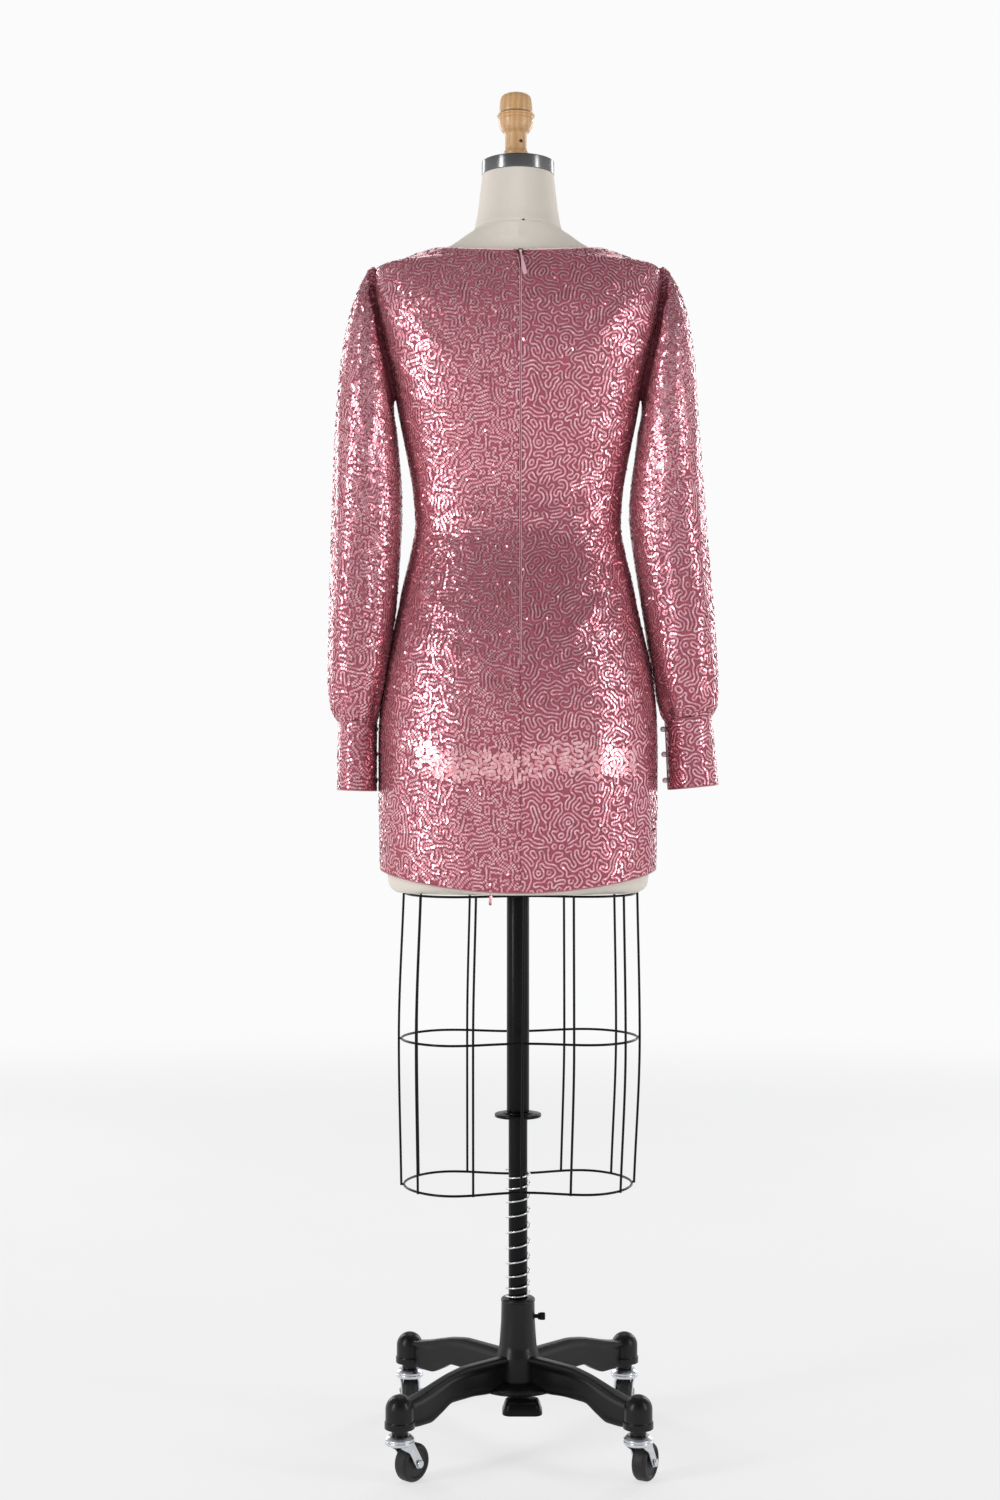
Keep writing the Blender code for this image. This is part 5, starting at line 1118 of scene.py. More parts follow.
def sequins_on(name, grid, closed, middle, shift, seed, outward):
    """Sequins along the wandering line, over a grid of cloth."""
    wide = np.concatenate([grid, grid[:, :1]], axis=1) if closed else grid
    u, v = flat_coordinates(wide, middle)
    if closed:
        v = v - v[-1] + v[-1].mean()    # a tube's cloth lies square to its lower end
    rows, columns = u.shape
    low, high = np.array((u.min(), v.min())), np.array((u.max(), v.max()))
    laid = line_over(low, high, shift)
    row = np.interp(laid[:, 1], v.mean(axis=1), np.arange(rows))
    column = np.interp(laid[:, 0], u.mean(axis=0), np.arange(columns))
    u_down, u_step = np.gradient(u)
    v_step, v_over = np.gradient(v)
    for _ in range(14):
        miss_u = laid[:, 0] - sampled(u, row, column)
        miss_v = laid[:, 1] - sampled(v, row, column)
        a, b = sampled(u_down, row, column), sampled(u_step, row, column)
        c, d = sampled(v_step, row, column), sampled(v_over, row, column)
        row = np.clip(row + (miss_v * b - miss_u * d) / (b * c - a * d), -1.0, rows)
        column = np.clip(column + (miss_u * c - miss_v * a) / (b * c - a * d), -1.0, columns)
    miss = np.hypot(laid[:, 0] - sampled(u, row, column), laid[:, 1] - sampled(v, row, column))
    margin_u = EDGE_MARGIN / sampled(u_step, row, column)
    margin_v = EDGE_MARGIN / sampled(v_step, row, column)
    kept = (miss < 0.8 * MM) & (row > margin_v) & (row < rows - 1 - margin_v)
    kept &= (column > margin_u) & (column < columns - 1 - margin_u)
    centre = sampled(wide, row, column)
    room_share = (centre[:, 2] - SLIDER_ROOM_LOW) / (SLIDER_ROOM_HIGH - SLIDER_ROOM_LOW)
    room = SLIDER_ROOM * np.clip(room_share, 0.0, 1.0) * (centre[:, 1] > 0)
    kept &= np.abs(centre[:, 0] - CENTRE_BACK_X) >= room
    row, column, heading, centre = row[kept], column[kept], laid[kept, 2], centre[kept]
    e_u = unit(sampled(np.gradient(wide, axis=1), row, column))
    normal = unit(np.cross(e_u, sampled(np.gradient(wide, axis=0), row, column))) * outward
    e_v = np.cross(normal, e_u)
    return sequin_piece(name, centre, e_u, e_v, normal, heading, seed, smoothed=smoothed_by_hand(centre))


def smoothed_by_hand(centre):
    """Which sequins lie in the stretch across the seat that has been stroked flat."""
    across, back, height = centre.T
    ragged = sum(d * MM * np.sin(across * n + phase) for n, d, phase in SMOOTHED_EDGE)
    inside = np.abs(height - SMOOTHED_HEIGHT + ragged) < SMOOTHED_REACH
    return inside & (back > 0) & (across > SMOOTHED_RIGHT) & (across < SMOOTHED_LEFT)


def sequin_piece(name, centre, e_u, e_v, normal, heading, seed, usual=SEQUIN_LOOSE, smoothed=None):
    """Joined cupped sequins at places on the cloth, each facing its own way."""
    draw = np.random.default_rng(seed)
    count = len(centre)
    if smoothed is None:
        smoothed = np.zeros(count, bool)
    smoothed = smoothed & (draw.uniform(size=count) < SMOOTHED_SHARE)
    ahead = e_u * np.cos(heading)[:, None] + e_v * np.sin(heading)[:, None]
    beside = np.cross(normal, ahead)
    loose = np.where(draw.uniform(size=count) < STRAY_SHARE, STRAY_LOOSE, usual)
    loose = np.where(smoothed, SMOOTHED_LOOSE, loose)
    lean = np.radians(SEQUIN_LEAN * ~smoothed + loose * draw.normal(size=count))[:, None]
    roll = np.radians(loose * draw.normal(size=count))[:, None]
    forward = ahead * np.cos(lean) + normal * np.sin(lean)
    out = normal * np.cos(lean) - ahead * np.sin(lean)
    sideways = beside * np.cos(roll) + out * np.sin(roll)
    out = out * np.cos(roll) - beside * np.sin(roll)
    radius = SEQUIN_RADIUS * (draw.uniform(0.92, 1.05, count) + SMOOTHED_SPREAD * smoothed)[:, None]
    spin = draw.uniform(0, 2 * np.pi, count)[:, None]
    middle = centre + normal * SEQUIN_LIFT
    points = [middle - out * SEQUIN_CUP]
    # Where each corner lies across and along its row; the sequin finishes paint shade from this, darker
    # towards the edges of the row.
    in_row = [np.zeros((count, 2))]
    for k in range(SEQUIN_SIDES):
        angle = spin + 2 * np.pi * k / SEQUIN_SIDES
        points.append(middle + radius * (forward * np.cos(angle) + sideways * np.sin(angle)))
        in_row.append(np.concatenate([np.sin(angle), np.cos(angle)], axis=1))
    points = on_origin(np.stack(points, axis=1)).reshape(-1, 3)
    in_row = np.stack(in_row, axis=1) * np.where(smoothed, SMOOTHED_ROW, 1.0)[:, None, None]
    in_row = in_row.reshape(-1, 2)
    ring = np.arange(SEQUIN_SIDES)
    fan = np.stack([np.zeros(SEQUIN_SIDES, int), 1 + ring, 1 + (ring + 1) % SEQUIN_SIDES], axis=1)
    handed = np.einsum("ij,ij->i", np.cross(forward, sideways), out) > 0
    first = np.arange(count)[:, None, None] * (SEQUIN_SIDES + 1)
    corners = first + np.where(handed[:, None, None], fan[None], fan[None, :, ::-1])
    corners = corners.reshape(-1, 3)
    tones = draw.choice(len(SEQUIN_FINISHES), size=count, p=TONE_SHARES)
    data = bpy.data.meshes.new(name)
    data.vertices.add(len(points))
    data.vertices.foreach_set("co", points.ravel())
    data.loops.add(corners.size)
    data.loops.foreach_set("vertex_index", corners.ravel())
    data.polygons.add(len(corners))
    data.polygons.foreach_set("loop_start", np.arange(0, corners.size, 3))
    for finish in SEQUIN_FINISHES:
        data.materials.append(finish)
    data.polygons.foreach_set("material_index", np.repeat(tones, SEQUIN_SIDES))
    data.uv_layers.new(name="row").data.foreach_set("uv", in_row[corners.ravel()].ravel())
    data.update(calc_edges=True)
    return piece(name, data, None, "form")


# --- The dress ---
def outward_sign(grid, centre):
    """+1 or -1, so that a grid's crossed steps point away from a centre line."""
    normals = np.cross(np.gradient(grid, axis=1), np.gradient(grid, axis=0))
    return 1.0 if ((grid - centre) * (1, 1, 0) * normals).sum() > 0 else -1.0


def dress_panel(name, node, grid_places, middle, shift, seed):
    """A body panel: its shell and its sequins."""
    grid = body_cloth(grid_places[..., 0], grid_places[..., 1])
    shell = cloth_shell(name, grid, False, "mesh", SHELL, (node,))
    outward = outward_sign(grid, np.zeros(3))
    sequins = sequins_on(f"{name}_sequins", grid, False, middle, shift, seed, outward)
    width, length, area = cloth_sizes(grid, False)


def tube_panel(name, node, grid, shift, seed):
    """A sleeve or a cuff, joined round: its shell and its sequins."""
    shell = cloth_shell(name, grid, True, "mesh", SHELL, (node,))
    rolled = np.roll(grid, grid.shape[1] // 2, axis=1)
    outward = outward_sign(grid, grid.mean(axis=1, keepdims=True))
    sequins = sequins_on(f"{name}_sequins", rolled, True, grid.shape[1] // 2, shift, seed, outward)
    width, length, area = cloth_sizes(grid, True)


Cut = namedtuple("Cut", "hand side sections cuff_hem back_shift back_seed sleeve_seed")
CUTS = (
    # which part of the sewn pattern each piece is cut from, and the seeds of its sequins
    Cut("left", 1, SLEEVE_LEFT, CUFF_LEFT_HEM, (0.02, 0.05), 31, 51),
    Cut("right", -1, SLEEVE_RIGHT, CUFF_RIGHT_HEM, (0.31, 0.17), 41, 61),
)
FRONT_SHIFT, FRONT_SEED = (0.11, 0.02), 21
SLEEVE_SHIFT, CUFF_SHIFT = (0.07, 0.21), (0.17, 0.09)


def dress():
    """All the panels. Gives back the grids of the sleeves and cuffs."""
    grids = {}
    dress_panel("front_panel", "front", front_places(), PANEL_COLUMNS, FRONT_SHIFT, FRONT_SEED)
    for cut in CUTS:
        dress_panel(f"{cut.hand}_back_panel", f"back_{cut.hand}", back_places(cut.side), 0,
                    cut.back_shift, cut.back_seed)
    for cut in CUTS:
        sleeve, cuff = f"sleeve_{cut.hand}", f"cuff_{cut.hand}"
        grids[sleeve] = sleeve_grid(cut.side, cut.sections)
        tube_panel(f"{sleeve}_cloth", sleeve, grids[sleeve], (SLEEVE_SHIFT[0] * cut.side, SLEEVE_SHIFT[1]),
                   cut.sleeve_seed)
        grids[cuff] = cuff_grid(cut.side, cut.sections[-1], cut.cuff_hem)
        tube_panel(f"{cuff}_cloth", cuff, grids[cuff], (CUFF_SHIFT[0], CUFF_SHIFT[1] * cut.side),
                   cut.sleeve_seed + 1)
    return grids


# --- Tools for turned, cut and bent pieces ---
POLE = Matrix.Translation((0, POLE_Y, 0))
LAY_ALONG_X = Matrix.Rotation(math.pi / 2, 4, "Y")
X_TO_Y = Matrix(((0, 1, 0, 0), (1, 0, 0, 0), (0, 0, 1, 0), (0, 0, 0, 1)))   # and Y to X


def placed(bm, matrix):
    bmesh.ops.transform(bm, matrix=matrix, verts=bm.verts)
    return bm


def rounded(points, radius, closed=False, steps=3):
    """An outline with its corners rounded off. An open one keeps its two ends."""
    points = [Vector(point) for point in points]
    count = len(points)
    corners = range(count) if closed else range(1, count - 1)
    made = [] if closed else [points[0]]
    for i in corners:
        before, corner, after = points[i - 1], points[i], points[(i + 1) % count]
        cut = min(radius, (before - corner).length * 0.45, (after - corner).length * 0.45)
        start = corner + (before - corner).normalized() * cut
        end = corner + (after - corner).normalized() * cut
        for k in range(steps + 1):
            f = k / steps
            made.append(start.lerp(corner, f).lerp(corner.lerp(end, f), f))
    return made if closed else made + [points[-1]]


def spun(profile, sides, matrix, closed=False):
    """A profile of (radius, height) spun round Z."""
    bm = bmesh.new()
    verts = [bm.verts.new((radius, 0, height)) for radius, height in profile]
    pairs = list(zip(verts, verts[1:])) + ([(verts[-1], verts[0])] if closed else [])
    edges = [bm.edges.new(pair) for pair in pairs]
    bmesh.ops.spin(
        bm, geom=verts + edges, axis=(0, 0, 1), cent=(0, 0, 0), angle=2 * math.pi,
        steps=sides, use_merge=True,
    )
    bmesh.ops.remove_doubles(bm, verts=bm.verts, dist=SAME_PLACE)
    return placed(bm, matrix)


def softened(bm, width, segments=3, over=30):
    """Bevels the edges that are sharper than an angle."""
    edges = [e for e in bm.edges if e.is_manifold and math.degrees(e.calc_face_angle(0.0)) > over]
    bmesh.ops.bevel(
        bm, geom=edges, offset=width, offset_type="OFFSET", segments=segments, profile=0.5,
        affect="EDGES", material=-1, clamp_overlap=True,
    )
    return bm


def block(low, high, bevel, matrix):
    """A box between two corners with softened edges."""
    bm = bmesh.new()
    size = Vector(high) - Vector(low)
    middle = (Vector(high) + Vector(low)) / 2
    place = Matrix.Translation(middle) @ Matrix.Diagonal((*size, 1.0))
    bmesh.ops.create_cube(bm, size=1.0, matrix=place)
    bmesh.ops.recalc_face_normals(bm, faces=bm.faces)
    return placed(softened(bm, bevel), matrix)


def bar(radius, low, high, sides, matrix, at=(0.0, 0.0), bevel=0.2 * MM):
    """A round or hexagonal bar along X with softened ends."""
    bm = bmesh.new()
    place = Matrix.Translation(((low + high) / 2, *at)) @ LAY_ALONG_X
    bmesh.ops.create_cone(
        bm, cap_ends=True, segments=sides, radius1=radius, radius2=radius, depth=high - low,
        matrix=place,
    )
    bmesh.ops.recalc_face_normals(bm, faces=bm.faces)
    return placed(softened(bm, bevel, 2, 50), matrix)


def slab(outline, low, high, bevel, matrix):
    """A flat outline of (y, z) given its thickness along X, with softened edges."""
    bm = bmesh.new()
    face = bm.faces.new([bm.verts.new((low, y, z)) for y, z in outline])
    made = bmesh.ops.extrude_face_region(bm, geom=[face])["geom"]
    verts = [item for item in made if isinstance(item, bmesh.types.BMVert)]
    bmesh.ops.translate(bm, verts=verts, vec=(high - low, 0, 0))
    bmesh.ops.recalc_face_normals(bm, faces=bm.faces)
    return placed(softened(bm, bevel, 2, 60), matrix)


def joined(*parts):
    """One bmesh from several closed ones."""
    whole = bmesh.new()
    for part in parts:
        bmesh.ops.recalc_face_normals(part, faces=part.faces)
        data = bpy.data.meshes.new("part")
        part.to_mesh(data)
        part.free()
        whole.from_mesh(data)
        bpy.data.meshes.remove(data)
    return whole


def solid(name, bm, slot, body, nodes=(), sharp=40):
    return piece(name, mesh_from(bm, name, sharp), FINISHES[slot], body, nodes)


def wire(name, points, radius, finish, body, nodes=(), closed=False, sides=3):
    """A round wire or cord through points."""
    curve = bpy.data.curves.new(name, "CURVE")
    curve.dimensions = "3D"
    curve.bevel_depth = radius
    curve.bevel_resolution = sides
    curve.use_fill_caps = not closed
    spline = curve.splines.new("POLY")
    spline.points.add(len(points) - 1)
    for place, point in zip(spline.points, points):
        place.co = (*point, 1.0)
    spline.use_cyclic_u = closed
    spline.use_smooth = True
    return piece(name, curve, FINISHES[finish], body, nodes)


# --- Edges and trim of the dress ---
EDGE_STEPS = 220
NECK_EDGE = 0.85 * MM
NECK_EDGE_SINK = 0.45 * MM
NECK_EDGE_RISE = 0.35 * MM
NECK_EDGE_GAP = 1.4         # degrees to each side of the zip
HEM_EDGE = 1.05 * MM
HEM_EDGE_SINK = 0.35 * MM
CUFF_EDGE = 0.95 * MM
ARMHOLE_EDGE = 0.75 * MM
ARMHOLE_EDGE_SINK = 0.4 * MM
GATHER_SEAM = 0.7 * MM
PLACKET_EDGE = 0.6 * MM
PLACKET_LIFT = 0.5 * MM
PLACKET_TURN = 11.0         # degrees round the cuff from its buttons
BUTTON_ANGLES = (("left", -140.0), ("right", 175.0))
ZIP_LIP = 0.55 * MM
LIP_LIFT = 0.25 * MM
LIP_ABOVE_ZIP = 1.5 * MM
LIP_APART = 0.90 * MM       # from the zip's middle to the middle of each folded lip
LIP_WAVES = ((9, 0.10, 0.3), (23, 0.06, 1.1))   # waves down the zip, depth in mm, phase
LIP_PARTING = 2.6 * MM      # how much further apart the lips are at the slider
LIP_PARTING_FROM = 0.965    # share of the zip's length where they begin to part
LIP_PARTING_CURVE = 1.5


def neck_edge():
    """The pale satin edge round the neckline, from one side of the zip to the other."""
    turns = np.linspace(NECK_EDGE_GAP, 360 - NECK_EDGE_GAP, EDGE_STEPS)
    points = on_origin(body_cloth(turns, reach_at(neckline_height(turns)), -NECK_EDGE_SINK))
    points[:, 2] += NECK_EDGE_RISE
    wire("neckline_satin_edge", points, NECK_EDGE, "lining", "form")


def hem_edges(grids):
    """Turned-in edges of the skirt and cuffs, the armhole and cuff seams, and the plackets."""
    turns = np.linspace(0, 360, EDGE_STEPS, endpoint=False)
    hem = on_origin(body_cloth(turns, reach_at(hem_height(turns)), -HEM_EDGE_SINK))
    wire("skirt_hem_edge", hem, HEM_EDGE, "mesh_edge", "form", closed=True)
    for hand, button_angle in BUTTON_ANGLES:
        cuff = on_origin(grids[f"cuff_{hand}"])
        wire(f"cuff_{hand}_edge", cuff[-1], CUFF_EDGE, "mesh_edge", "form", closed=True)
        wire(f"cuff_{hand}_gather_seam", cuff[0], GATHER_SEAM, "mesh_edge", "form", closed=True)
        column = round((button_angle + PLACKET_TURN) / 360 * SLEEVE_COLUMNS) % SLEEVE_COLUMNS
        out = unit((cuff[:, column] - cuff.mean(axis=1)) * (1, 1, 0)) * PLACKET_LIFT
        wire(f"cuff_{hand}_placket_edge", cuff[:, column] + out, PLACKET_EDGE, "mesh_edge", "form")
        seam = on_origin(grids[f"sleeve_{hand}"][0])
        inward = unit(seam.mean(axis=0) - seam) * ARMHOLE_EDGE_SINK
        wire(f"armhole_{hand}_seam", seam + inward, ARMHOLE_EDGE, "mesh_edge", "form", closed=True)


def zip_lips():
    """The two folded edges that close over the invisible zip."""
    heights = np.linspace(ZIP_BOTTOM, ZIP_TOP + LIP_ABOVE_ZIP, EDGE_STEPS)
    reach = reach_at(heights)
    middle = centre_back_turn(heights)
    shares = np.linspace(0.0, 1.0, EDGE_STEPS)
    waver = sum(d * MM * np.sin(2 * np.pi * n * shares + phase) for n, d, phase in LIP_WAVES)
    parting = np.clip((shares - LIP_PARTING_FROM) / (1 - LIP_PARTING_FROM), 0.0, 1.0)
    parting = LIP_PARTING * parting ** LIP_PARTING_CURVE
    for side, hand in ((1, "left"), (-1, "right")):
        apart = LIP_APART + waver * side + parting
        turns = middle + side * degrees_for(apart, middle, reach)
        points = on_origin(body_cloth(turns, reach, LIP_LIFT))
        wire(f"zip_lip_{hand}", points, ZIP_LIP, "lining_rose", "form")


TOOTH_PITCH = 1.3 * MM
TOOTH_ROWS = 4
TAPE_BELOW_TOP = 2.0 * MM
TAPE_THICK = 0.3 * MM
TAPE_SECTION = (
    # across the zip and below the cloth in mm, and how far a tooth rises there
    (-3.0, 1.5, 0.0), (-0.75, 1.35, 0.0), (-0.5, 0.85, 0.12), (0.0, 0.65, 0.16),
    (0.5, 0.85, 0.12), (0.75, 1.35, 0.0), (3.0, 1.5, 0.0),
)


def zip_tape_and_coil():
    """The tape behind the zip's lips, with the coil's fine teeth down its middle."""
    length = ZIP_TOP - TAPE_BELOW_TOP - ZIP_BOTTOM
    rows = TOOTH_ROWS * round(length / TOOTH_PITCH)
    share = np.arange(rows + 1) / rows
    heights = (ZIP_BOTTOM + length * share)[:, None]
    across, depth, tooth = (np.array(part) * MM for part in zip(*TAPE_SECTION))
    wave = np.cos(2 * np.pi * rows / TOOTH_ROWS * share)[:, None]
    middle = centre_back_turn(heights)
    turns = middle + degrees_for(across, middle, reach_at(heights))
    grid = body_cloth(turns, reach_at(heights), tooth * wave - depth)
    cloth_shell("zip_tape_and_coil", grid, False, "zip_coil", TAPE_THICK, ("zip_coil",))


# Heights of the sequins over the centre-back seam, and how far each is turned.
SEAM_SEQUINS = ((0.012, 0.4), (0.031, 1.0), (0.058, 0.5), (0.071, 0.9), (0.094, 0.5), (0.133, 0.8),
                (0.149, 0.4), (0.176, 0.9), (0.214, 0.6), (0.243, 1.0), (0.262, 0.5))
SEAM_SEQUIN_LIFT = 0.5 * MM
SEAM_SEQUIN_LOOSE = 5.0
THREAD_RADIUS = 0.22 * MM
THREAD_END = ((0.0335, 0.0950, 0.6780), (0.0333, 0.0968, 0.6755), (0.0322, 0.0972, 0.6725),
              (0.0337, 0.0967, 0.6695), (0.0329, 0.0960, 0.6665), (0.0341, 0.0962, 0.6640))
THREAD_NEARER = 0.5 * MM
ThreadSequin = namedtuple("ThreadSequin", "at faces heading")
THREAD_SEQUINS = [ThreadSequin(*row) for row in (
    # place along the points of the thread, the way it faces, and how it is turned
    (1.6, (0.3, 1, 0.2), 0.3), (2.7, (-0.4, 1, 0.1), 1.4),
    (3.6, (0.2, 1, -0.4), 2.2), (4.5, (-0.3, 1, 0.3), 0.8),
)]
THREAD_SEQUIN_LIFT = 0.3 * MM
THREAD_SEQUIN_LOOSE = 6.0


def seam_sequins():
    """Sequins that lie over the centre-back seam below the zip."""
    heights, heading = np.array(SEAM_SEQUINS).T
    turns = centre_back_turn(heights)
    reach = reach_at(heights)
    normal = skin_normal(turns, reach)
    e_u = unit(skin(turns + 0.5, reach) - skin(turns - 0.5, reach))
    centre = body_cloth(turns, reach, SEAM_SEQUIN_LIFT)
    sequin_piece("centre_seam_sequins", centre, e_u, np.cross(normal, e_u), normal, heading, 71,
                 SEAM_SEQUIN_LOOSE)


def thread_end():
    """A thread end with its last sequins, hanging below the hem."""
    curve = smooth_curve(np.arange(len(THREAD_END)), THREAD_END)
    points = curve(np.linspace(0, len(THREAD_END) - 1, 40))
    points[:, 1] += POLE_Y - THREAD_NEARER
    wire("hem_thread_end", points, THREAD_RADIUS, "thread", "form")
    at, faces, heading = (np.array(part) for part in zip(*THREAD_SEQUINS))
    centre = curve(at)
    centre[:, 1] += THREAD_SEQUIN_LIFT
    normal = unit(faces)
    e_u = unit(np.cross((0.0, 0.0, 1.0), normal))
    sequin_piece("hem_thread_sequins", centre, e_u, np.cross(normal, e_u), normal, heading, 72,
                 THREAD_SEQUIN_LOOSE)


BUTTON_RADIUS = 3.5 * MM
BUTTON_SHANK = ((1.7, -3.05), (1.9, -3.3), (1.9, -3.9), (0.0, -3.9))   # radius and height in mm
LOOP_POINTS = 28
LOOP_HALF_WIDTH = 4.3 * MM
LOOP_HALF_HEIGHT = 3.4 * MM
LOOP_BOW = 0.5 * MM
LOOP_BEHIND = 2.7 * MM      # from the ball's middle to the plane of its loop
LOOP_THREAD = 0.45 * MM


def buttons():
    """Pearl ball buttons, each with its shank and the thread loop that closes round it."""
    ball = [(BUTTON_RADIUS * math.sin(a), BUTTON_RADIUS * math.cos(a)) for a in np.linspace(0, 2.6, 22)]
    shank = [(radius * MM, height * MM) for radius, height in BUTTON_SHANK]
    for hand in ("left", "right"):
        cuff_low, cuff_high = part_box(f"cuff_{hand}")
        middle = (cuff_low + cuff_high) / 2
        for number in (1, 2, 3):
            low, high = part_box(f"button_{hand}_{number}")
            place = (low + high) / 2
            out = place - middle
            out.z = 0
            out.normalize()
            turned_to = Matrix.Translation(place) @ out.to_track_quat("Z", "Y").to_matrix().to_4x4()
            solid(f"pearl_{hand}_{number}", spun(ball + shank, 36, turned_to), "pearl", "form",
                  (f"button_{hand}_{number}",), 60)
            beside = out.cross(Vector((0, 0, 1)))
            foot = place - out * LOOP_BEHIND
            ring = []
            for k in range(LOOP_POINTS):
                a = 2 * math.pi * k / LOOP_POINTS
                reach = beside * LOOP_HALF_WIDTH * math.cos(a)
                reach.z += LOOP_HALF_HEIGHT * math.sin(a)
                ring.append(foot + reach + out * LOOP_BOW * math.cos(2 * a))
            name = f"button_{hand}_{number}_loop"
            wire(name, ring, LOOP_THREAD, "thread", "form", closed=True, sides=2)


# --- Zip slider and its pull ---
SLIDER_HEIGHT = 0.7585
SLIDER_LIFT = 1.0 * MM
SLIDER_PLATE = 1.0 * MM
SLIDER_OUTLINE = ((-2.8, 4.75), (2.8, 4.75), (2.3, -2.4), (1.2, -4.75), (-1.2, -4.75), (-2.3, -2.4))
BRIDGE_INSIDE, BRIDGE_OUTSIDE = 1.85 * MM, 2.7 * MM     # the two cheeks that hold the pin
BRIDGE_LOW, BRIDGE_HIGH = 0.4 * MM, 3.9 * MM
BRIDGE_HALF_LENGTH = 1.4 * MM
PIN_LIFT = 1.9 * MM         # above the plate
PIN_RADIUS = 0.5 * MM
PIN_HALF_LENGTH = 2.5 * MM
PULL_LENGTH = 31.0 * MM
PULL_TIP_LIFT = 1.3 * MM
PULL_THICK = 1.2 * MM
PULL_DROP = 0.93            # share of its length that it comes down along the leaning back
PULL_LEAN = 0.17
PULL_SIDE = ((1.1, 1.1), (1.1, 8.0), (2.6, 20.0), (2.6, 29.0), (1.5, 31.0))  # half width, down
EYE_SECTION = ((0.85, -1.5), (1.5, -1.5), (1.5, 1.5), (0.85, 1.5))           # radius, across


def slider_frame():
    """The slider's place on the cloth: x across, y out of the cloth, z up the zip."""
    reach = reach_at(SLIDER_HEIGHT)
    turn = centre_back_turn(SLIDER_HEIGHT)
    out = Vector(skin_normal(turn, reach))
    across = Vector((1, 0, 0))
    out = (out - across * out.dot(across)).normalized()
    up = across.cross(out)
    turned_to = Matrix((across, out, up)).transposed().to_4x4()
    turned_to.translation = Vector(skin(turn, reach)) + out * SLIDER_LIFT
    return turned_to


def zip_slider():
    turned_to = POLE @ slider_frame()
    outline = [(y * MM, z * MM) for y, z in rounded(SLIDER_OUTLINE, 1.2, True)]
    parts = [slab(outline, 0.0, SLIDER_PLATE, 0.25 * MM, turned_to @ X_TO_Y)]
    for side in (-1, 1):
        low, high = sorted((side * BRIDGE_INSIDE, side * BRIDGE_OUTSIDE))
        parts.append(block((low, BRIDGE_LOW, -BRIDGE_HALF_LENGTH), (high, BRIDGE_HIGH, BRIDGE_HALF_LENGTH),
                           0.3 * MM, turned_to))
    parts.append(bar(PIN_RADIUS, -PIN_HALF_LENGTH, PIN_HALF_LENGTH, 16, turned_to,
                     (SLIDER_PLATE + PIN_LIFT, 0), 0.1 * MM))
    solid("slider_body", joined(*parts), "zip_metal", "form", ("zip_slider",))


def zip_pull():
    """The pull tab: an eye round the slider's pin, a narrow neck and a wider end."""
    axis = slider_frame() @ Vector((0, SLIDER_PLATE + PIN_LIFT, 0))
    end_height = axis.z - FORM_BOTTOM - PULL_LENGTH * PULL_DROP
    reach = reach_at(end_height)
    turn = centre_back_turn(end_height)
    lift = PULL_TIP_LIFT + PULL_THICK / 2
    end = Vector(skin(turn, reach)) + Vector(skin_normal(turn, reach)) * lift
    down = Vector((0, end.y - axis.y, end.z - axis.z)).normalized()
    out = Vector((1, 0, 0)).cross(down)
    if out.y < 0:
        out.negate()
    turned_to = Matrix((out.cross(down), out, down)).transposed().to_4x4()
    turned_to.translation = axis
    turned_to = POLE @ turned_to
    right = [(x * MM, z * MM) for x, z in PULL_SIDE]
    outline = right + [(-x, z) for x, z in reversed(right)]
    outline = rounded([(x + PULL_LEAN * z, z) for x, z in outline], 1.6 * MM, True)
    tab = slab(outline, -PULL_THICK / 2, PULL_THICK / 2, 0.3 * MM, turned_to @ X_TO_Y)
    eye = [(r * MM, h * MM) for r, h in rounded(EYE_SECTION, 0.2, True)]
    eye = spun(eye, 28, turned_to @ LAY_ALONG_X, True)
    solid("pull_tab", joined(tab, eye), "zip_pull", "zip_pull", ("zip_pull",))


# --- The form: torso, neck band and finial ---
FormInset = namedtuple("FormInset", "height inset")
FORM_INSETS = [FormInset(*row) for row in (
    (0.000, 0.0190), (0.003, 0.0135), (0.010, 0.0095),
    (0.028, 0.0078), (0.073, 0.0055), (0.123, 0.0036),
    (0.173, 0.0025), (0.542, 0.0025), (0.595, 0.0028),
    (0.640, 0.0060), (0.755, 0.0090), (0.775, 0.0055),
    (0.785, 0.0025), (0.799, 0.0000), (0.867, 0.0000),
)]
TORSO_COLUMNS = 160
NECK_SEAM_HEIGHT = 0.8015
NECK_SEAM_DEPTH = 0.55 * MM
NECK_SEAM_WIDTH = 0.9 * MM
NECK_SEAM_ROWS = 3.0 * MM   # how far the close rows reach to each side of the seam
TORSO_ROWS = (
    # from one height to another, how many rows
    (0.0, 0.028, 12), (0.035, 0.77, 100), (0.774, 0.796, 10),
    (NECK_SEAM_HEIGHT - NECK_SEAM_ROWS, NECK_SEAM_HEIGHT + NECK_SEAM_ROWS, 13), (0.809, FORM_TOP, 22),
)
FORM_SEAM_TURNS = (0.0, 62.0, 118.0, 180.0, 242.0, 298.0)
FORM_SEAM_DEPTH = 0.35 * MM
FORM_SEAM_SPREAD = 1.6      # degrees
FORM_SEAM_TOP = 0.795       # the seams fade out below this
FORM_SEAM_FADE = 10.0 * MM
UNDER_SHARES = (0.0, 0.25, 0.55, 0.8, 0.95)     # rows of the closed underside, from its middle
OVER_SHARES = (0.9, 0.5, 0.0)                   # and of the closed top, towards its middle
NECK_HOLE_SHADE_RADIUS = 1.2 * MM
NECK_HOLE_SHADE_PLACE = (-0.0060, POLE_Y + 0.0536, FORM_BOTTOM + 0.8012)
BAND_HEIGHT = 16.5 * MM
BAND_RADIUS = 43.9 * MM
BAND_RIM = ((-0.4, 0.0), (0.0, 0.6), (0.0, 15.5), (-1.2, 16.5))     # out from its radius and up, in mm
FINIAL_X = 2.5 * MM
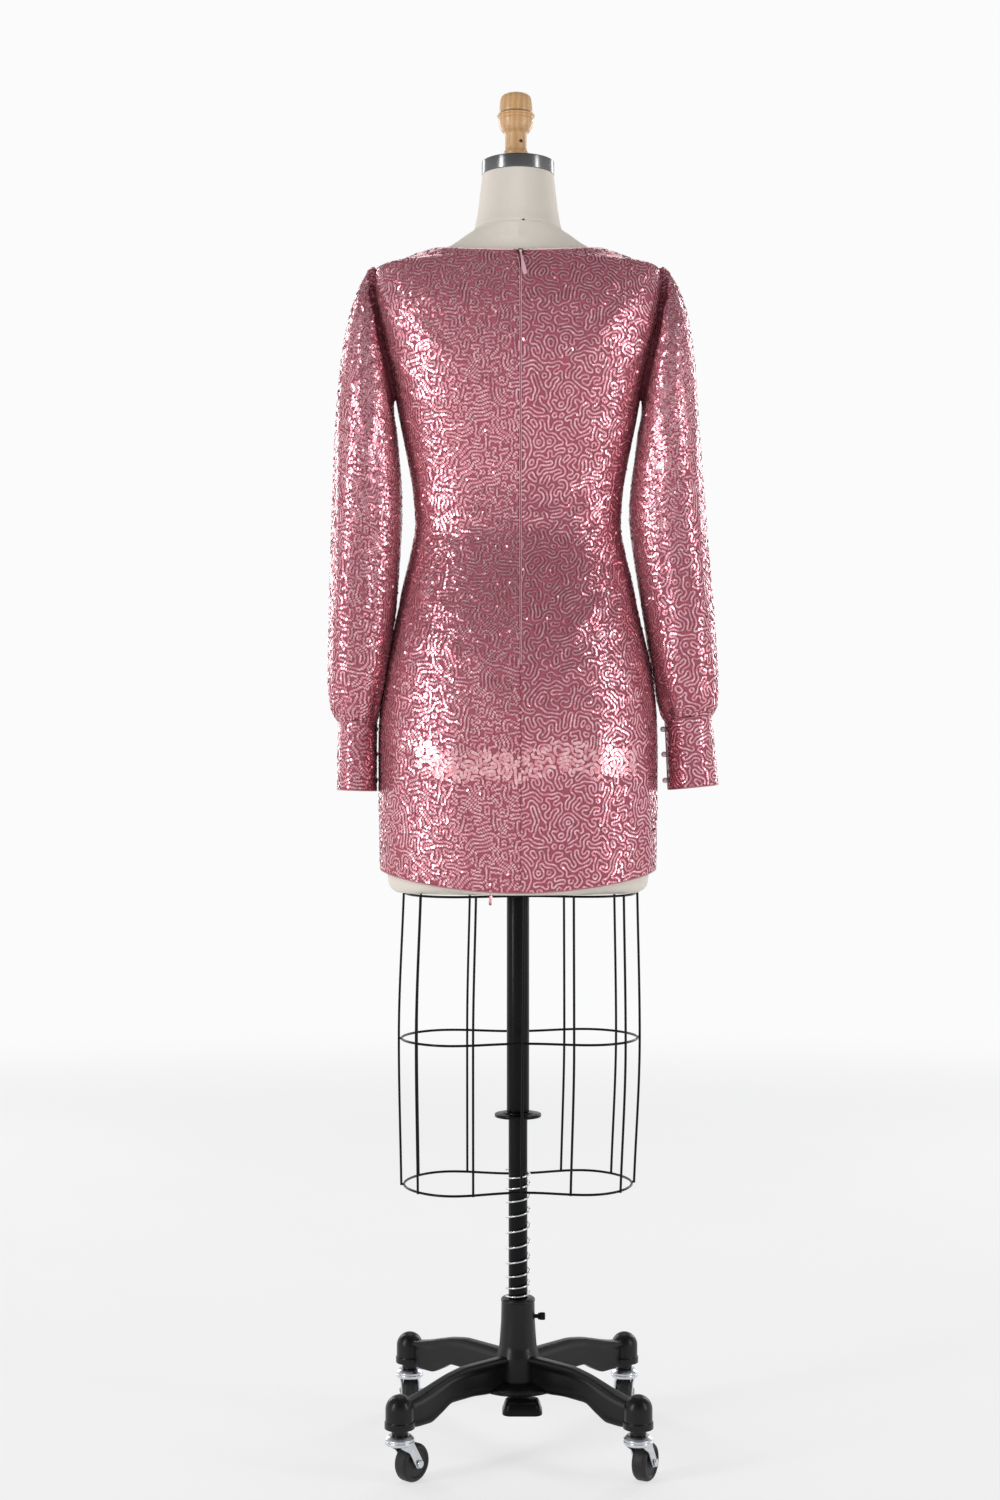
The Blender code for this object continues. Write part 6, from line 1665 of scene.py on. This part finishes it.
FINIAL_HOLE = (-3.5 * MM, 13.0 * MM, 23.0 * MM)     # across, back from the pole, above the band
FINIAL_HOLE_RADIUS = 2.2 * MM
FINIAL_HOLE_REACH = 9.0 * MM
FINIAL_PROFILE = (
    # radius and height above the neck band in mm, from the top
    (0.0, 82.0), (11.0, 82.0), (14.8, 81.2), (17.3, 79.2), (18.7, 75.8), (19.6, 69.5), (20.2, 61.6),
    (20.0, 59.2), (19.2, 58.2), (21.6, 57.5), (23.2, 56.6), (22.6, 55.2), (20.6, 54.0), (20.4, 53.0),
    (21.1, 50.0), (20.5, 45.5), (19.2, 41.0), (17.0, 37.4), (14.6, 35.0), (13.4, 33.4), (13.2, 29.0),
    (13.2, 16.5), (13.4, 14.0), (14.2, 12.8), (15.4, 11.4), (14.8, 10.2), (14.4, 0.3), (0.0, 0.3),
)


def torso():
    """The linen torso and neck, with its seams and a closed underside."""
    inset = smooth_curve([row.height for row in FORM_INSETS], [row.inset for row in FORM_INSETS])
    heights = np.unique(np.concatenate([np.linspace(*rows) for rows in TORSO_ROWS]))
    turns = np.arange(TORSO_COLUMNS) * 360 / TORSO_COLUMNS
    reach = reach_at(heights)[:, None]
    depth = np.repeat(inset(heights)[:, None], TORSO_COLUMNS, axis=1)
    off = (heights[:, None] - NECK_SEAM_HEIGHT) / NECK_SEAM_WIDTH
    depth = depth + NECK_SEAM_DEPTH * np.exp(-off * off)
    low = np.clip((FORM_SEAM_TOP - heights[:, None]) / FORM_SEAM_FADE, 0.0, 1.0)
    for turn in FORM_SEAM_TURNS:
        off = angle_between(turns, turn) / FORM_SEAM_SPREAD
        depth = depth + FORM_SEAM_DEPTH * np.exp(-off * off)[None, :] * low
    grid = skin(turns[None, :], reach) - skin_normal(turns[None, :], reach) * depth[..., None]
    grid[0, :, 2] = FORM_BOTTOM
    under = [grid[0] * (share, share, 1) for share in UNDER_SHARES]
    over = [grid[-1] * (share, share, 1) for share in OVER_SHARES]
    grid = np.concatenate([under, grid, over])
    bm = cloth_grid(grid, True)
    bmesh.ops.remove_doubles(bm, verts=bm.verts, dist=SAME_PLACE)
    solid("linen_torso", bm, "linen", "form", ("form_torso",), 50)
    # A small black ball stands for the shade in a hole in the neck.
    bm = bmesh.new()
    bmesh.ops.create_uvsphere(bm, u_segments=20, v_segments=12, radius=NECK_HOLE_SHADE_RADIUS)
    solid("neck_hole_shade_ball", placed(bm, Matrix.Translation(NECK_HOLE_SHADE_PLACE)), "black_enamel", "form")


def drilled(bm, place, radius, reach):
    """A closed form with a round hole cut into it along Y, to both sides of a place."""
    drill = bmesh.new()
    bmesh.ops.create_cone(
        drill, cap_ends=True, segments=20, radius1=radius, radius2=radius, depth=2 * reach,
        matrix=Matrix.Translation(place) @ Matrix.Rotation(math.pi / 2, 4, "X"),
    )
    made = []
    for part in (bm, drill):
        bmesh.ops.recalc_face_normals(part, faces=part.faces)
        data = bpy.data.meshes.new("part")
        part.to_mesh(data)
        part.free()
        made.append(bpy.data.objects.new("part", data))
        bpy.context.scene.collection.objects.link(made[-1])
    cut = made[0].modifiers.new("hole", "BOOLEAN")
    cut.operation = "DIFFERENCE"
    cut.solver = "EXACT"
    cut.object = made[1]
    whole = made[0].evaluated_get(bpy.context.evaluated_depsgraph_get())
    result = bmesh.new()
    result.from_mesh(whole.to_mesh())
    whole.to_mesh_clear()
    for part in made:
        bpy.data.meshes.remove(part.data)
    return result


def form_top():
    """The brushed neck band and the turned finial with its small hole."""
    base = FORM_BOTTOM + FORM_TOP + SEAM
    top = base + BAND_HEIGHT
    band = [(BAND_RADIUS + out * MM, base + up * MM) for out, up in BAND_RIM]
    band = rounded([(0.0, base), *band, (0.0, top)], 0.5 * MM)
    bm = spun(band, 96, POLE)
    solid("steel_neck_band", bm, "polished_steel", "form", ("neck_band",))
    profile = [(radius * MM, top + height * MM) for radius, height in FINIAL_PROFILE]
    place = POLE @ Matrix.Translation((FINIAL_X, 0, 0))
    bm = spun(rounded(profile, 0.45 * MM), 64, place)
    hole = POLE @ (Vector(FINIAL_HOLE) + Vector((0, 0, top)))
    bm = drilled(bm, hole, FINIAL_HOLE_RADIUS, FINIAL_HOLE_REACH)
    solid("turned_finial", bm, "turned_wood", "form", ("finial",))


# --- Wire skirt cage ---
WIRE_RADIUS = 1.5 * MM
CAGE_GAP = 0.3 * MM
CAGE_TURN = math.radians(3.0)
CAGE_LOBE = 0.1095
CAGE_PINCH = 0.45
HOOP_POINTS = 160
Hoop = namedtuple("Hoop", "height half_width shift")
HOOPS = (Hoop(0.6725, 0.1385, -3.5 * MM), Hoop(0.4975, 0.1430, -2.0 * MM), Hoop(0.3210, 0.1380, 0.0))
WIRE_ANGLES = (-57.0, -25.0, 0.0, 25.0, 60.0, 90.0, 122.0, 154.5, 180.0, 205.5, 238.0, 270.0)
UPRIGHT_ABOVE = 0.5 * MM    # past the middle of the highest hoop
UPRIGHT_BELOW = 1.0 * MM    # and of the lowest
UPRIGHT_POINTS = 25
WELD_RADIUS = 1.9 * MM
WELD_FLATNESS = 0.75


def cage_point(hoop, angle, outward=0.0):
    """A point of a hoop's two-lobed outline. Angle 0 is the back and 90 the left side."""
    across = math.sin(math.radians(angle))
    along = math.cos(math.radians(angle))
    point = Vector((hoop.half_width * across, CAGE_LOBE * along * (1 - CAGE_PINCH * along**6), 0))
    if outward:
        ahead = cage_point(hoop, angle + 1) - cage_point(hoop, angle - 1)
        ahead = Matrix.Rotation(-CAGE_TURN, 3, "Z") @ ahead
        out = Vector((-ahead.y, ahead.x, 0)).normalized()
        if out.dot(point) < 0:
            out.negate()
        point += out * outward
    point = Matrix.Rotation(CAGE_TURN, 3, "Z") @ point
    return point + Vector((hoop.shift, 0, hoop.height))


def cage():
    """Three hoops, the uprights outside them and a blob of weld where they meet."""
    for number, hoop in enumerate(HOOPS, 1):
        points = [POLE @ cage_point(hoop, k * 360 / HOOP_POINTS) for k in range(HOOP_POINTS)]
        name = f"cage_hoop_{number}_wire"
        wire(name, points, WIRE_RADIUS, "black_enamel", "form",
             (f"cage_hoop_{number}",), True)
    welds = []
    outward = 2 * WIRE_RADIUS + CAGE_GAP
    for number, angle in enumerate(WIRE_ANGLES, 1):
        ends = [POLE @ cage_point(hoop, angle, outward) for hoop in HOOPS]
        ends[0].z += UPRIGHT_ABOVE
        ends[-1].z -= UPRIGHT_BELOW
        line = smooth_curve([-end.z for end in ends], [tuple(end) for end in ends])
        points = line(np.linspace(-ends[0].z, -ends[-1].z, UPRIGHT_POINTS))
        name = f"cage_upright_{number:02d}"
        wire(name, points, WIRE_RADIUS, "black_enamel", "form",
             (f"cage_wire_{number:02d}",))
        for hoop in HOOPS:
            middle = POLE @ cage_point(hoop, angle, outward / 2)
            weld = bmesh.new()
            place = Matrix.Translation(middle) @ Matrix.Diagonal((1.0, 1.0, WELD_FLATNESS, 1.0))
            bmesh.ops.create_icosphere(weld, subdivisions=2, radius=WELD_RADIUS, matrix=place)
            welds.append(weld)
    solid("cage_welds", joined(*welds), "black_enamel", "form", sharp=180)


# --- Pole, spring and base ---
TUBE_RADIUS = 13.65 * MM
TUBE_BORE = 12.2 * MM
TUBE_BOTTOM = 0.4079
TUBE_CROWN = 14.0 * MM
FLANGE_RADIUS = 28.25 * MM
FLANGE_HEIGHT = 6.0 * MM
FLANGE_RIM = 3.8 * MM       # height of its rim, and of its slope where the collar starts
FLANGE_SLOPE = 4.6 * MM
COLLAR_RADIUS = 18.5 * MM
ROD_RADIUS = 11.45 * MM
ROD_TOP = 0.600
ROD_RUN = 0.4 * MM
SPRING_RADIUS = 14.2 * MM
SPRING_WIRE = 1.1 * MM
SPRING_TURNS = 10.0
SPRING_TURN_POINTS = 28
SPRING_TOP = 0.338
HUB_TOP = 0.1825
SOCKET_BOTTOM = 0.122
SCREW_HEIGHT = 0.1595
PEDAL_PIN_HEIGHT = 0.0680


def pole():
    """The sliding tube and its flange, the rod with its spring."""
    top = FORM_BOTTOM - SEAM
    bore_top = top - TUBE_CROWN
    tube = rounded(((0.0, top), (TUBE_RADIUS, top), (TUBE_RADIUS, TUBE_BOTTOM), (TUBE_BORE, TUBE_BOTTOM),
                    (TUBE_BORE, bore_top), (0.0, bore_top)), 0.5 * MM)
    solid("sliding_tube", spun(tube, 48, POLE), "black_enamel", "form", ("upper_tube",))
    high = TUBE_BOTTOM - SEAM
    low = high - FLANGE_HEIGHT
    bore = ROD_RADIUS + ROD_RUN
    flange = ((bore, low), (FLANGE_RADIUS, low), (FLANGE_RADIUS, low + FLANGE_RIM),
              (COLLAR_RADIUS, low + FLANGE_SLOPE), (COLLAR_RADIUS, high), (bore, high))
    flange = spun(rounded(flange, 0.8 * MM, True), 64, POLE, True)
    solid("stop_flange", flange, "black_enamel", "form", ("tube_flange",))
    rod = rounded(((0.0, ROD_TOP), (ROD_RADIUS, ROD_TOP), (ROD_RADIUS, SOCKET_BOTTOM + SEAM),
                   (0.0, SOCKET_BOTTOM + SEAM)), 1.0 * MM)
    solid("steel_rod", spun(rod, 48, POLE), "black_enamel", "base", ("rod",))
    low = HUB_TOP + SPRING_WIRE + SEAM
    high = SPRING_TOP - SPRING_WIRE
    share = np.linspace(0.0, 1.0, round(SPRING_TURNS * SPRING_TURN_POINTS) + 1)
    angle = 2 * np.pi * SPRING_TURNS * share
    # The first and last turns lie close, as on a ground spring.
    climb = lerp(share, share * share * (3 - 2 * share), 0.5)
    across, back = SPRING_RADIUS * np.cos(angle), SPRING_RADIUS * np.sin(angle)
    points = np.stack([across, back, lerp(low, high, climb)], axis=1)
    wire("bright_spring", on_origin(points), SPRING_WIRE, "zinc", "base", ("spring",))


HUB_PROFILE = ((19.0, 182.5), (20.6, 181.3), (20.8, 179.0), (20.1, 178.0), (20.6, 155.0), (22.6, 125.0),
               (26.2, 113.0), (30.0, 86.0), (50.0, 81.5), (50.0, 75.8))
Leg = namedtuple("Leg", "reach top bottom half_width")
LEG_SECTIONS = [Leg(*row) for row in (
    (0.010, 0.1150, 0.0762, 0.0090), (0.050, 0.1158, 0.0765, 0.0078),
    (0.085, 0.1160, 0.0790, 0.0072), (0.112, 0.1128, 0.0790, 0.0072),
    (0.132, 0.1080, 0.0700, 0.0076), (0.150, 0.1030, 0.0630, 0.0082),
    (0.168, 0.0985, 0.0632, 0.0092), (0.190, 0.0945, 0.0668, 0.0098),
)]
LEG_WEB = 0.62              # of the half width: the waist between the upper rib and the lower
LEG_SIDE = (
    # half width as a share of the rib's, if it is the rib's, or of the web's; share of the depth
    (0.7, True, 1.0), (1.0, True, 0.88), (1.0, False, 0.70),
    (0.92, False, 0.22), (1.15, False, 0.1), (1.0, False, 0.0),
)
LEG_STEPS = 44
STEM_SPREAD = 0.137
CAP_RADIUS = 16.5 * MM
CAP_SHOULDER = 88.0 * MM
CAP_PROFILE = ((16.5, 87.0), (16.5, 74.5), (17.6, 73.5), (17.6, 66.0), (9.5, 66.0), (9.5, 58.5),
               (0.0, 58.5))
LUG_INSIDE, LUG_OUTSIDE = 9.0 * MM, 13.0 * MM           # the pedal's two lugs under the hub
LUG_HALF_LENGTH = 8.0 * MM
LUG_BELOW_PIN = 4.5 * MM
LUG_TOP = 77.8 * MM


def skinned(bm, rows):
    """Faces between closed rows of points, with both ends closed, set round the pole."""
    for near, far in zip(rows, rows[1:]):
        for c in range(len(near)):
            n = (c + 1) % len(near)
            bm.faces.new((near[c], near[n], far[n], far[c]))
    bm.faces.new(rows[0])
    bm.faces.new(rows[-1])
    return placed(bm, POLE)


def leg(heading):
    """A curved leg: a waisted section with a rounded rib, swept from the hub to its cap."""
    reaches = [section.reach for section in LEG_SECTIONS]
    curve = smooth_curve(reaches, LEG_SECTIONS)
    out = Vector((math.cos(heading), math.sin(heading), 0))
    across = Vector((-out.y, out.x, 0))
    bm = bmesh.new()
    rows = []
    for reach in np.linspace(reaches[0], reaches[-1], LEG_STEPS):
        section = Leg(*curve(reach).tolist())
        side = []
        for share, rib, up in LEG_SIDE:
            wide = section.half_width * share * (1 if rib else LEG_WEB)
            side.append((wide, lerp(section.bottom, section.top, up)))
        outline = rounded(side + [(-x, z) for x, z in reversed(side)], 1.8 * MM, True)
        foot = out * float(reach)
        rows.append([bm.verts.new(foot + across * x + Vector((0, 0, z))) for x, z in outline])
    return skinned(bm, rows)


def base():
    """Hub with its socket, four legs with domed caps, and the pedal's lugs."""
    bore = ROD_RADIUS + ROD_RUN
    outside = rounded([(r * MM, h * MM) for r, h in HUB_PROFILE], 2.0 * MM, steps=4)
    hub = [Vector((0.0, SOCKET_BOTTOM)), Vector((bore, SOCKET_BOTTOM)), Vector((bore, HUB_TOP - MM)),
           Vector((bore + 0.8 * MM, HUB_TOP))] + outside + [Vector((0.0, outside[-1].y))]
    parts = [spun(hub, 64, POLE)]
    dome = [(CAP_RADIUS * math.cos(a), CAP_SHOULDER + CAP_RADIUS * math.sin(a))
            for a in np.linspace(math.pi / 2, 0.0, 14)]
    cap = dome + rounded([(r * MM, h * MM) for r, h in CAP_PROFILE], 0.8 * MM)
    for side_x, side_y, _ in CASTERS:
        parts.append(leg(math.atan2(side_y, side_x)))
        place = POLE @ Matrix.Translation((side_x * STEM_SPREAD, side_y * STEM_SPREAD, 0))
        parts.append(spun([(max(r, 0.0), h) for r, h in cap], 48, place))
    for side in (-1, 1):
        low, high = sorted((side * LUG_INSIDE, side * LUG_OUTSIDE))
        parts.append(block((low, -LUG_HALF_LENGTH, PEDAL_PIN_HEIGHT - LUG_BELOW_PIN),
                           (high, LUG_HALF_LENGTH, LUG_TOP), 0.9 * MM, POLE))
    solid("cast_base", joined(*parts), "cast_iron", "base", ("base_casting",), 50)


SHANK_RADIUS, SHANK_REACH = 2.5 * MM, (-27.0 * MM, -11.8 * MM)
SCREW_COLLAR_RADIUS, SCREW_COLLAR_REACH = 4.3 * MM, (-26.6 * MM, -24.2 * MM)
WING_REACH = (-33.0 * MM, -26.0 * MM)
WING_HALF_THICK, WING_HALF_HEIGHT = 2.2 * MM, 4.5 * MM


def set_screw():
    """The clamping screw with its hexagonal collar and wing head."""
    shank = bar(SHANK_RADIUS, *SHANK_REACH, 24, POLE, (0, SCREW_HEIGHT))
    collar = bar(SCREW_COLLAR_RADIUS, *SCREW_COLLAR_REACH, 6, POLE, (0, SCREW_HEIGHT), 0.3 * MM)
    wing = block((WING_REACH[0], -WING_HALF_THICK, SCREW_HEIGHT - WING_HALF_HEIGHT),
                 (WING_REACH[1], WING_HALF_THICK, SCREW_HEIGHT + WING_HALF_HEIGHT), 1.3 * MM, POLE)
    solid("wing_screw", joined(shank, collar, wing), "black_enamel", "set_screw", ("set_screw",))


# inset from the pad's outline and height, in mm
PAD_ROWS = ((1.8, 60.5), (0.4, 61.0), (0.0, 62.4), (3.2, 71.6), (4.4, 73.8), (6.6, 75.0))
PAD_HALF_WIDTH, PAD_HALF_LENGTH = 23.8 * MM, 20.0 * MM
PAD_CORNER = 10.0 * MM
PAD_MIDDLE = (-4.5 * MM, 58.0 * MM)
PAD_COLUMNS = 48
LEVER_BOX = ((-8.2 * MM, -5.0 * MM, 62.5 * MM), (8.2 * MM, 46.0 * MM, 73.5 * MM))
PEDAL_PIN_RADIUS = 2.2 * MM
PEDAL_PIN_HALF_LENGTH = 14.0 * MM


def pedal():
    """The foot pad with its rounded corners, its lever and its pin."""
    bm = bmesh.new()
    rows = []
    for inset, height in PAD_ROWS:
        row = []
        for k in range(PAD_COLUMNS):
            a = 2 * math.pi * (k + 0.5) / PAD_COLUMNS
            sign_x, sign_y = math.copysign(1, math.cos(a)), math.copysign(1, math.sin(a))
            x = sign_x * (PAD_HALF_WIDTH - PAD_CORNER) + (PAD_CORNER - inset * MM) * math.cos(a)
            y = sign_y * (PAD_HALF_LENGTH - PAD_CORNER) + (PAD_CORNER - inset * MM) * math.sin(a)
            row.append(bm.verts.new((x + PAD_MIDDLE[0], y + PAD_MIDDLE[1], height * MM)))
        rows.append(row)
    pad = skinned(bm, rows)
    lever = block(*LEVER_BOX, 1.6 * MM, POLE)
    pin = bar(PEDAL_PIN_RADIUS, -PEDAL_PIN_HALF_LENGTH, PEDAL_PIN_HALF_LENGTH, 24, POLE,
              (0, PEDAL_PIN_HEIGHT))
    solid("foot_pedal", joined(pad, lever, pin), "black_enamel", "pedal", ("pedal",))


# --- Casters ---
Caster = namedtuple("Caster", "side_x side_y heading")
CASTERS = (Caster(1, 1, 230.0), Caster(-1, 1, 243.0), Caster(-1, -1, 272.0), Caster(1, -1, 268.0))
TRAIL = 20.5 * MM
AXLE_HEIGHT = 22.2 * MM
FORK_INSIDE = 10.0 * MM
FORK_PLATE = 2.0 * MM
BOLT_RADIUS = 2.8 * MM
NUT_RADIUS, BOLT_HEAD_RADIUS = 4.9 * MM, 4.6 * MM
BOLT_HEAD = 2.6 * MM
RACE_PROFILE = ((0.0, 58.2), (13.0, 58.2), (17.0, 54.6), (17.0, 53.4), (16.2, 53.0), (16.2, 51.8),
                (17.0, 51.4), (17.0, 48.7), (15.0, 47.2), (0.0, 47.2))
FORK_OUTLINE = ((11.0, 48.7), (8.0, 45.2), (-5.0, 37.5), (-14.5, 21.2), (-17.0, 17.2), (-23.0, 16.8),
                (-26.5, 21.2), (-25.5, 26.2), (-11.5, 48.7))
WHEEL_PROFILE = ((3.4, -9.0), (7.2, -9.0), (7.8, -7.4), (15.6, -7.0), (16.8, -8.8), (19.6, -9.0),
                 (22.2, -5.5), (22.2, 5.5), (19.6, 9.0), (16.8, 8.8), (15.6, 7.0), (7.8, 7.4),
                 (7.2, 9.0), (3.4, 9.0))


def casters():
    """Four casters: a swivelling fork with its raceway, a bolted axle and a rubber wheel."""
    for number, caster in enumerate(CASTERS, 1):
        turned_to = Matrix.Rotation(math.radians(caster.heading + 90), 4, "Z")
        turned_to.translation = (caster.side_x * STEM_SPREAD, caster.side_y * STEM_SPREAD + POLE_Y, 0)
        race = rounded([(r * MM, h * MM) for r, h in RACE_PROFILE], 0.7 * MM)
        parts = [spun(race, 48, turned_to)]
        outline = rounded([(y * MM, z * MM) for y, z in FORK_OUTLINE], 3.0 * MM, True)
        for side in (-1, 1):
            low, high = sorted((side * FORK_INSIDE, side * (FORK_INSIDE + FORK_PLATE)))
            parts.append(slab(outline, low, high, 0.4 * MM, turned_to))
        body = f"caster_{number}"
        solid(f"caster_fork_and_race_{number}", joined(*parts), "zinc", body, (f"caster_fork_{number}",))
        hub = turned_to @ Matrix.Translation((0, -TRAIL, AXLE_HEIGHT))
        end = FORK_INSIDE + FORK_PLATE + SEAM
        head = end + BOLT_HEAD
        axle = joined(
            bar(BOLT_RADIUS, -end, end, 24, hub),
            bar(NUT_RADIUS, end, head, 6, hub, bevel=0.35 * MM),
            bar(BOLT_HEAD_RADIUS, -head, -end, 32, hub, bevel=0.9 * MM),
        )
        solid(f"caster_bolt_{number}", axle, "zinc", body, (f"caster_axle_{number}",))
        profile = rounded([(r * MM, h * MM) for r, h in WHEEL_PROFILE], 1.3 * MM, True, 4)
        tyre = spun(profile, 72, hub @ LAY_ALONG_X, True)
        solid(f"caster_tyre_{number}", tyre, "wheel_rubber", f"wheel_{number}",
              (f"caster_wheel_{number}",))


# --- Setting: floor and light ---
FLOOR_SIZE = 14.0
FLOOR_BRIGHT_FROM = 1.6     # metres from the form, where the floor starts to turn as pale as AIR
FLOOR_BRIGHT_RUN = 2.6
AIR = (0.965, 0.965, 0.97)  # the studio's white


def floor():
    """A pale floor that runs out into a white studio."""
    bm = bmesh.new()
    bmesh.ops.create_grid(bm, x_segments=1, y_segments=1, size=FLOOR_SIZE)
    made = Finish("pale_floor", {"Specular IOR Level": 0.0})
    grain = made.noise(3.0, 3.0)
    where = made.node("ShaderNodeTexCoord", out="Object")
    away = made.node("ShaderNodeVectorMath", {"operation": "LENGTH"}, {0: where}, out="Value")
    far = made.node("ShaderNodeMapRange", {"interpolation_type": "SMOOTHSTEP"}, {
        "Value": away, "From Min": FLOOR_BRIGHT_FROM, "From Max": FLOOR_BRIGHT_FROM + FLOOR_BRIGHT_RUN,
    })
    made.shade(
        base_color=made.mix(far, made.mix(grain, (0.33, 0.33, 0.332), (0.35, 0.35, 0.352)),
                            (0.0, 0.0, 0.0)),
        roughness=grain * 0.1 + 0.6,
    )
    made.surface.inputs["Emission Strength"].default_value = 1.0
    made.feed(made.surface.inputs["Emission Color"],
              made.mix(far, (0.61, 0.61, 0.612), AIR))
    data = mesh_from(bm, "studio_floor")
    data.materials.append(made.material)
    plane = bpy.data.objects.new("studio_floor", data)
    bpy.context.scene.collection.objects.link(plane)


Lamp = namedtuple("Lamp", "name place aim width height power")
LAMPS = (
    Lamp("key_left", (2.5, 1.8, 1.5), (0, 0, 1.1), 0.50, 2.3, 42),
    Lamp("fill_right", (-2.6, 1.4, 1.5), (0, 0, 1.1), 0.34, 2.2, 24),
    Lamp("top", (0.0, -1.4, 3.0), (0, 0, 1.0), 1.6, 1.2, 9),
    Lamp("front_left", (1.8, -2.2, 1.6), (0, 0, 1.0), 0.5, 1.8, 18),
    Lamp("front_right", (-1.8, -2.2, 1.6), (0, 0, 1.0), 0.5, 1.8, 18),
)
# The room's brightness from the -Y end, before the dress's front (0), to the dimmer +Y end (1)
ROOM = ((0.0, 1.0), (0.48, 1.0), (0.66, 0.84), (0.84, 0.66), (1.0, 0.60))
CEILING_FROM = 0.08         # upward part of a direction where the dark ceiling begins
CEILING_FULL = 0.60
CEILING_SHADE = 0.30        # how bright the ceiling is beside the walls


def lights():
    for lamp in LAMPS:
        data = bpy.data.lights.new(lamp.name, "AREA")
        data.shape = "RECTANGLE"
        data.size = lamp.width
        data.size_y = lamp.height
        data.energy = lamp.power
        made = bpy.data.objects.new(lamp.name, data)
        made.location = lamp.place
        way = Vector(lamp.aim) - Vector(lamp.place)
        made.rotation_euler = way.to_track_quat("-Z", "Y").to_euler()
        bpy.context.scene.collection.objects.link(made)


def backdrop_light():
    """A pale studio round the form: bright to look at, softer in what it throws on things."""
    world = bpy.data.worlds.new("pale_studio")
    bpy.context.scene.world = world
    world.use_nodes = True
    nodes, links = world.node_tree.nodes, world.node_tree.links
    nodes.clear()
    out, mix, seen, way, parts, share, ramp, thrown, looked_at, ceiling = (
        nodes.new(f"ShaderNode{kind}") for kind in (
            "OutputWorld", "MixShader", "LightPath", "TexCoord", "SeparateXYZ", "MapRange", "ValToRGB",
            "Background", "Background", "MapRange"))
    share.inputs["From Min"].default_value = -1.0
    while len(ramp.color_ramp.elements) < len(ROOM):
        ramp.color_ramp.elements.new(1.0)
    for element, (position, bright) in zip(ramp.color_ramp.elements, ROOM):
        element.position = position
        element.color = (bright * 0.97, bright * 0.98, bright, 1.0)
    looked_at.inputs["Color"].default_value = (*AIR, 1.0)
    for name, value in (("From Min", CEILING_FROM), ("From Max", CEILING_FULL),
                        ("To Min", 1.0), ("To Max", CEILING_SHADE)):
        ceiling.inputs[name].default_value = value
    for source, target in (
        (way.outputs["Generated"], parts.inputs["Vector"]), (parts.outputs["Y"], share.inputs["Value"]),
        (share.outputs["Result"], ramp.inputs["Fac"]), (ramp.outputs["Color"], thrown.inputs["Color"]),
        (parts.outputs["Z"], ceiling.inputs["Value"]),
        (ceiling.outputs["Result"], thrown.inputs["Strength"]),
        (seen.outputs["Is Camera Ray"], mix.inputs["Fac"]), (thrown.outputs["Background"], mix.inputs[1]),
        (looked_at.outputs["Background"], mix.inputs[2]), (mix.outputs["Shader"], out.inputs["Surface"]),
    ):
        links.new(source, target)
    bpy.context.scene.view_settings.view_transform = "Standard"


# --- Make everything ---
camera()
torso()
form_top()
grids = dress()
neck_edge()
hem_edges(grids)
zip_tape_and_coil()
zip_lips()
zip_slider()
zip_pull()
seam_sequins()
thread_end()
buttons()
cage()
pole()
base()
set_screw()
pedal()
casters()
floor()
lights()
backdrop_light()
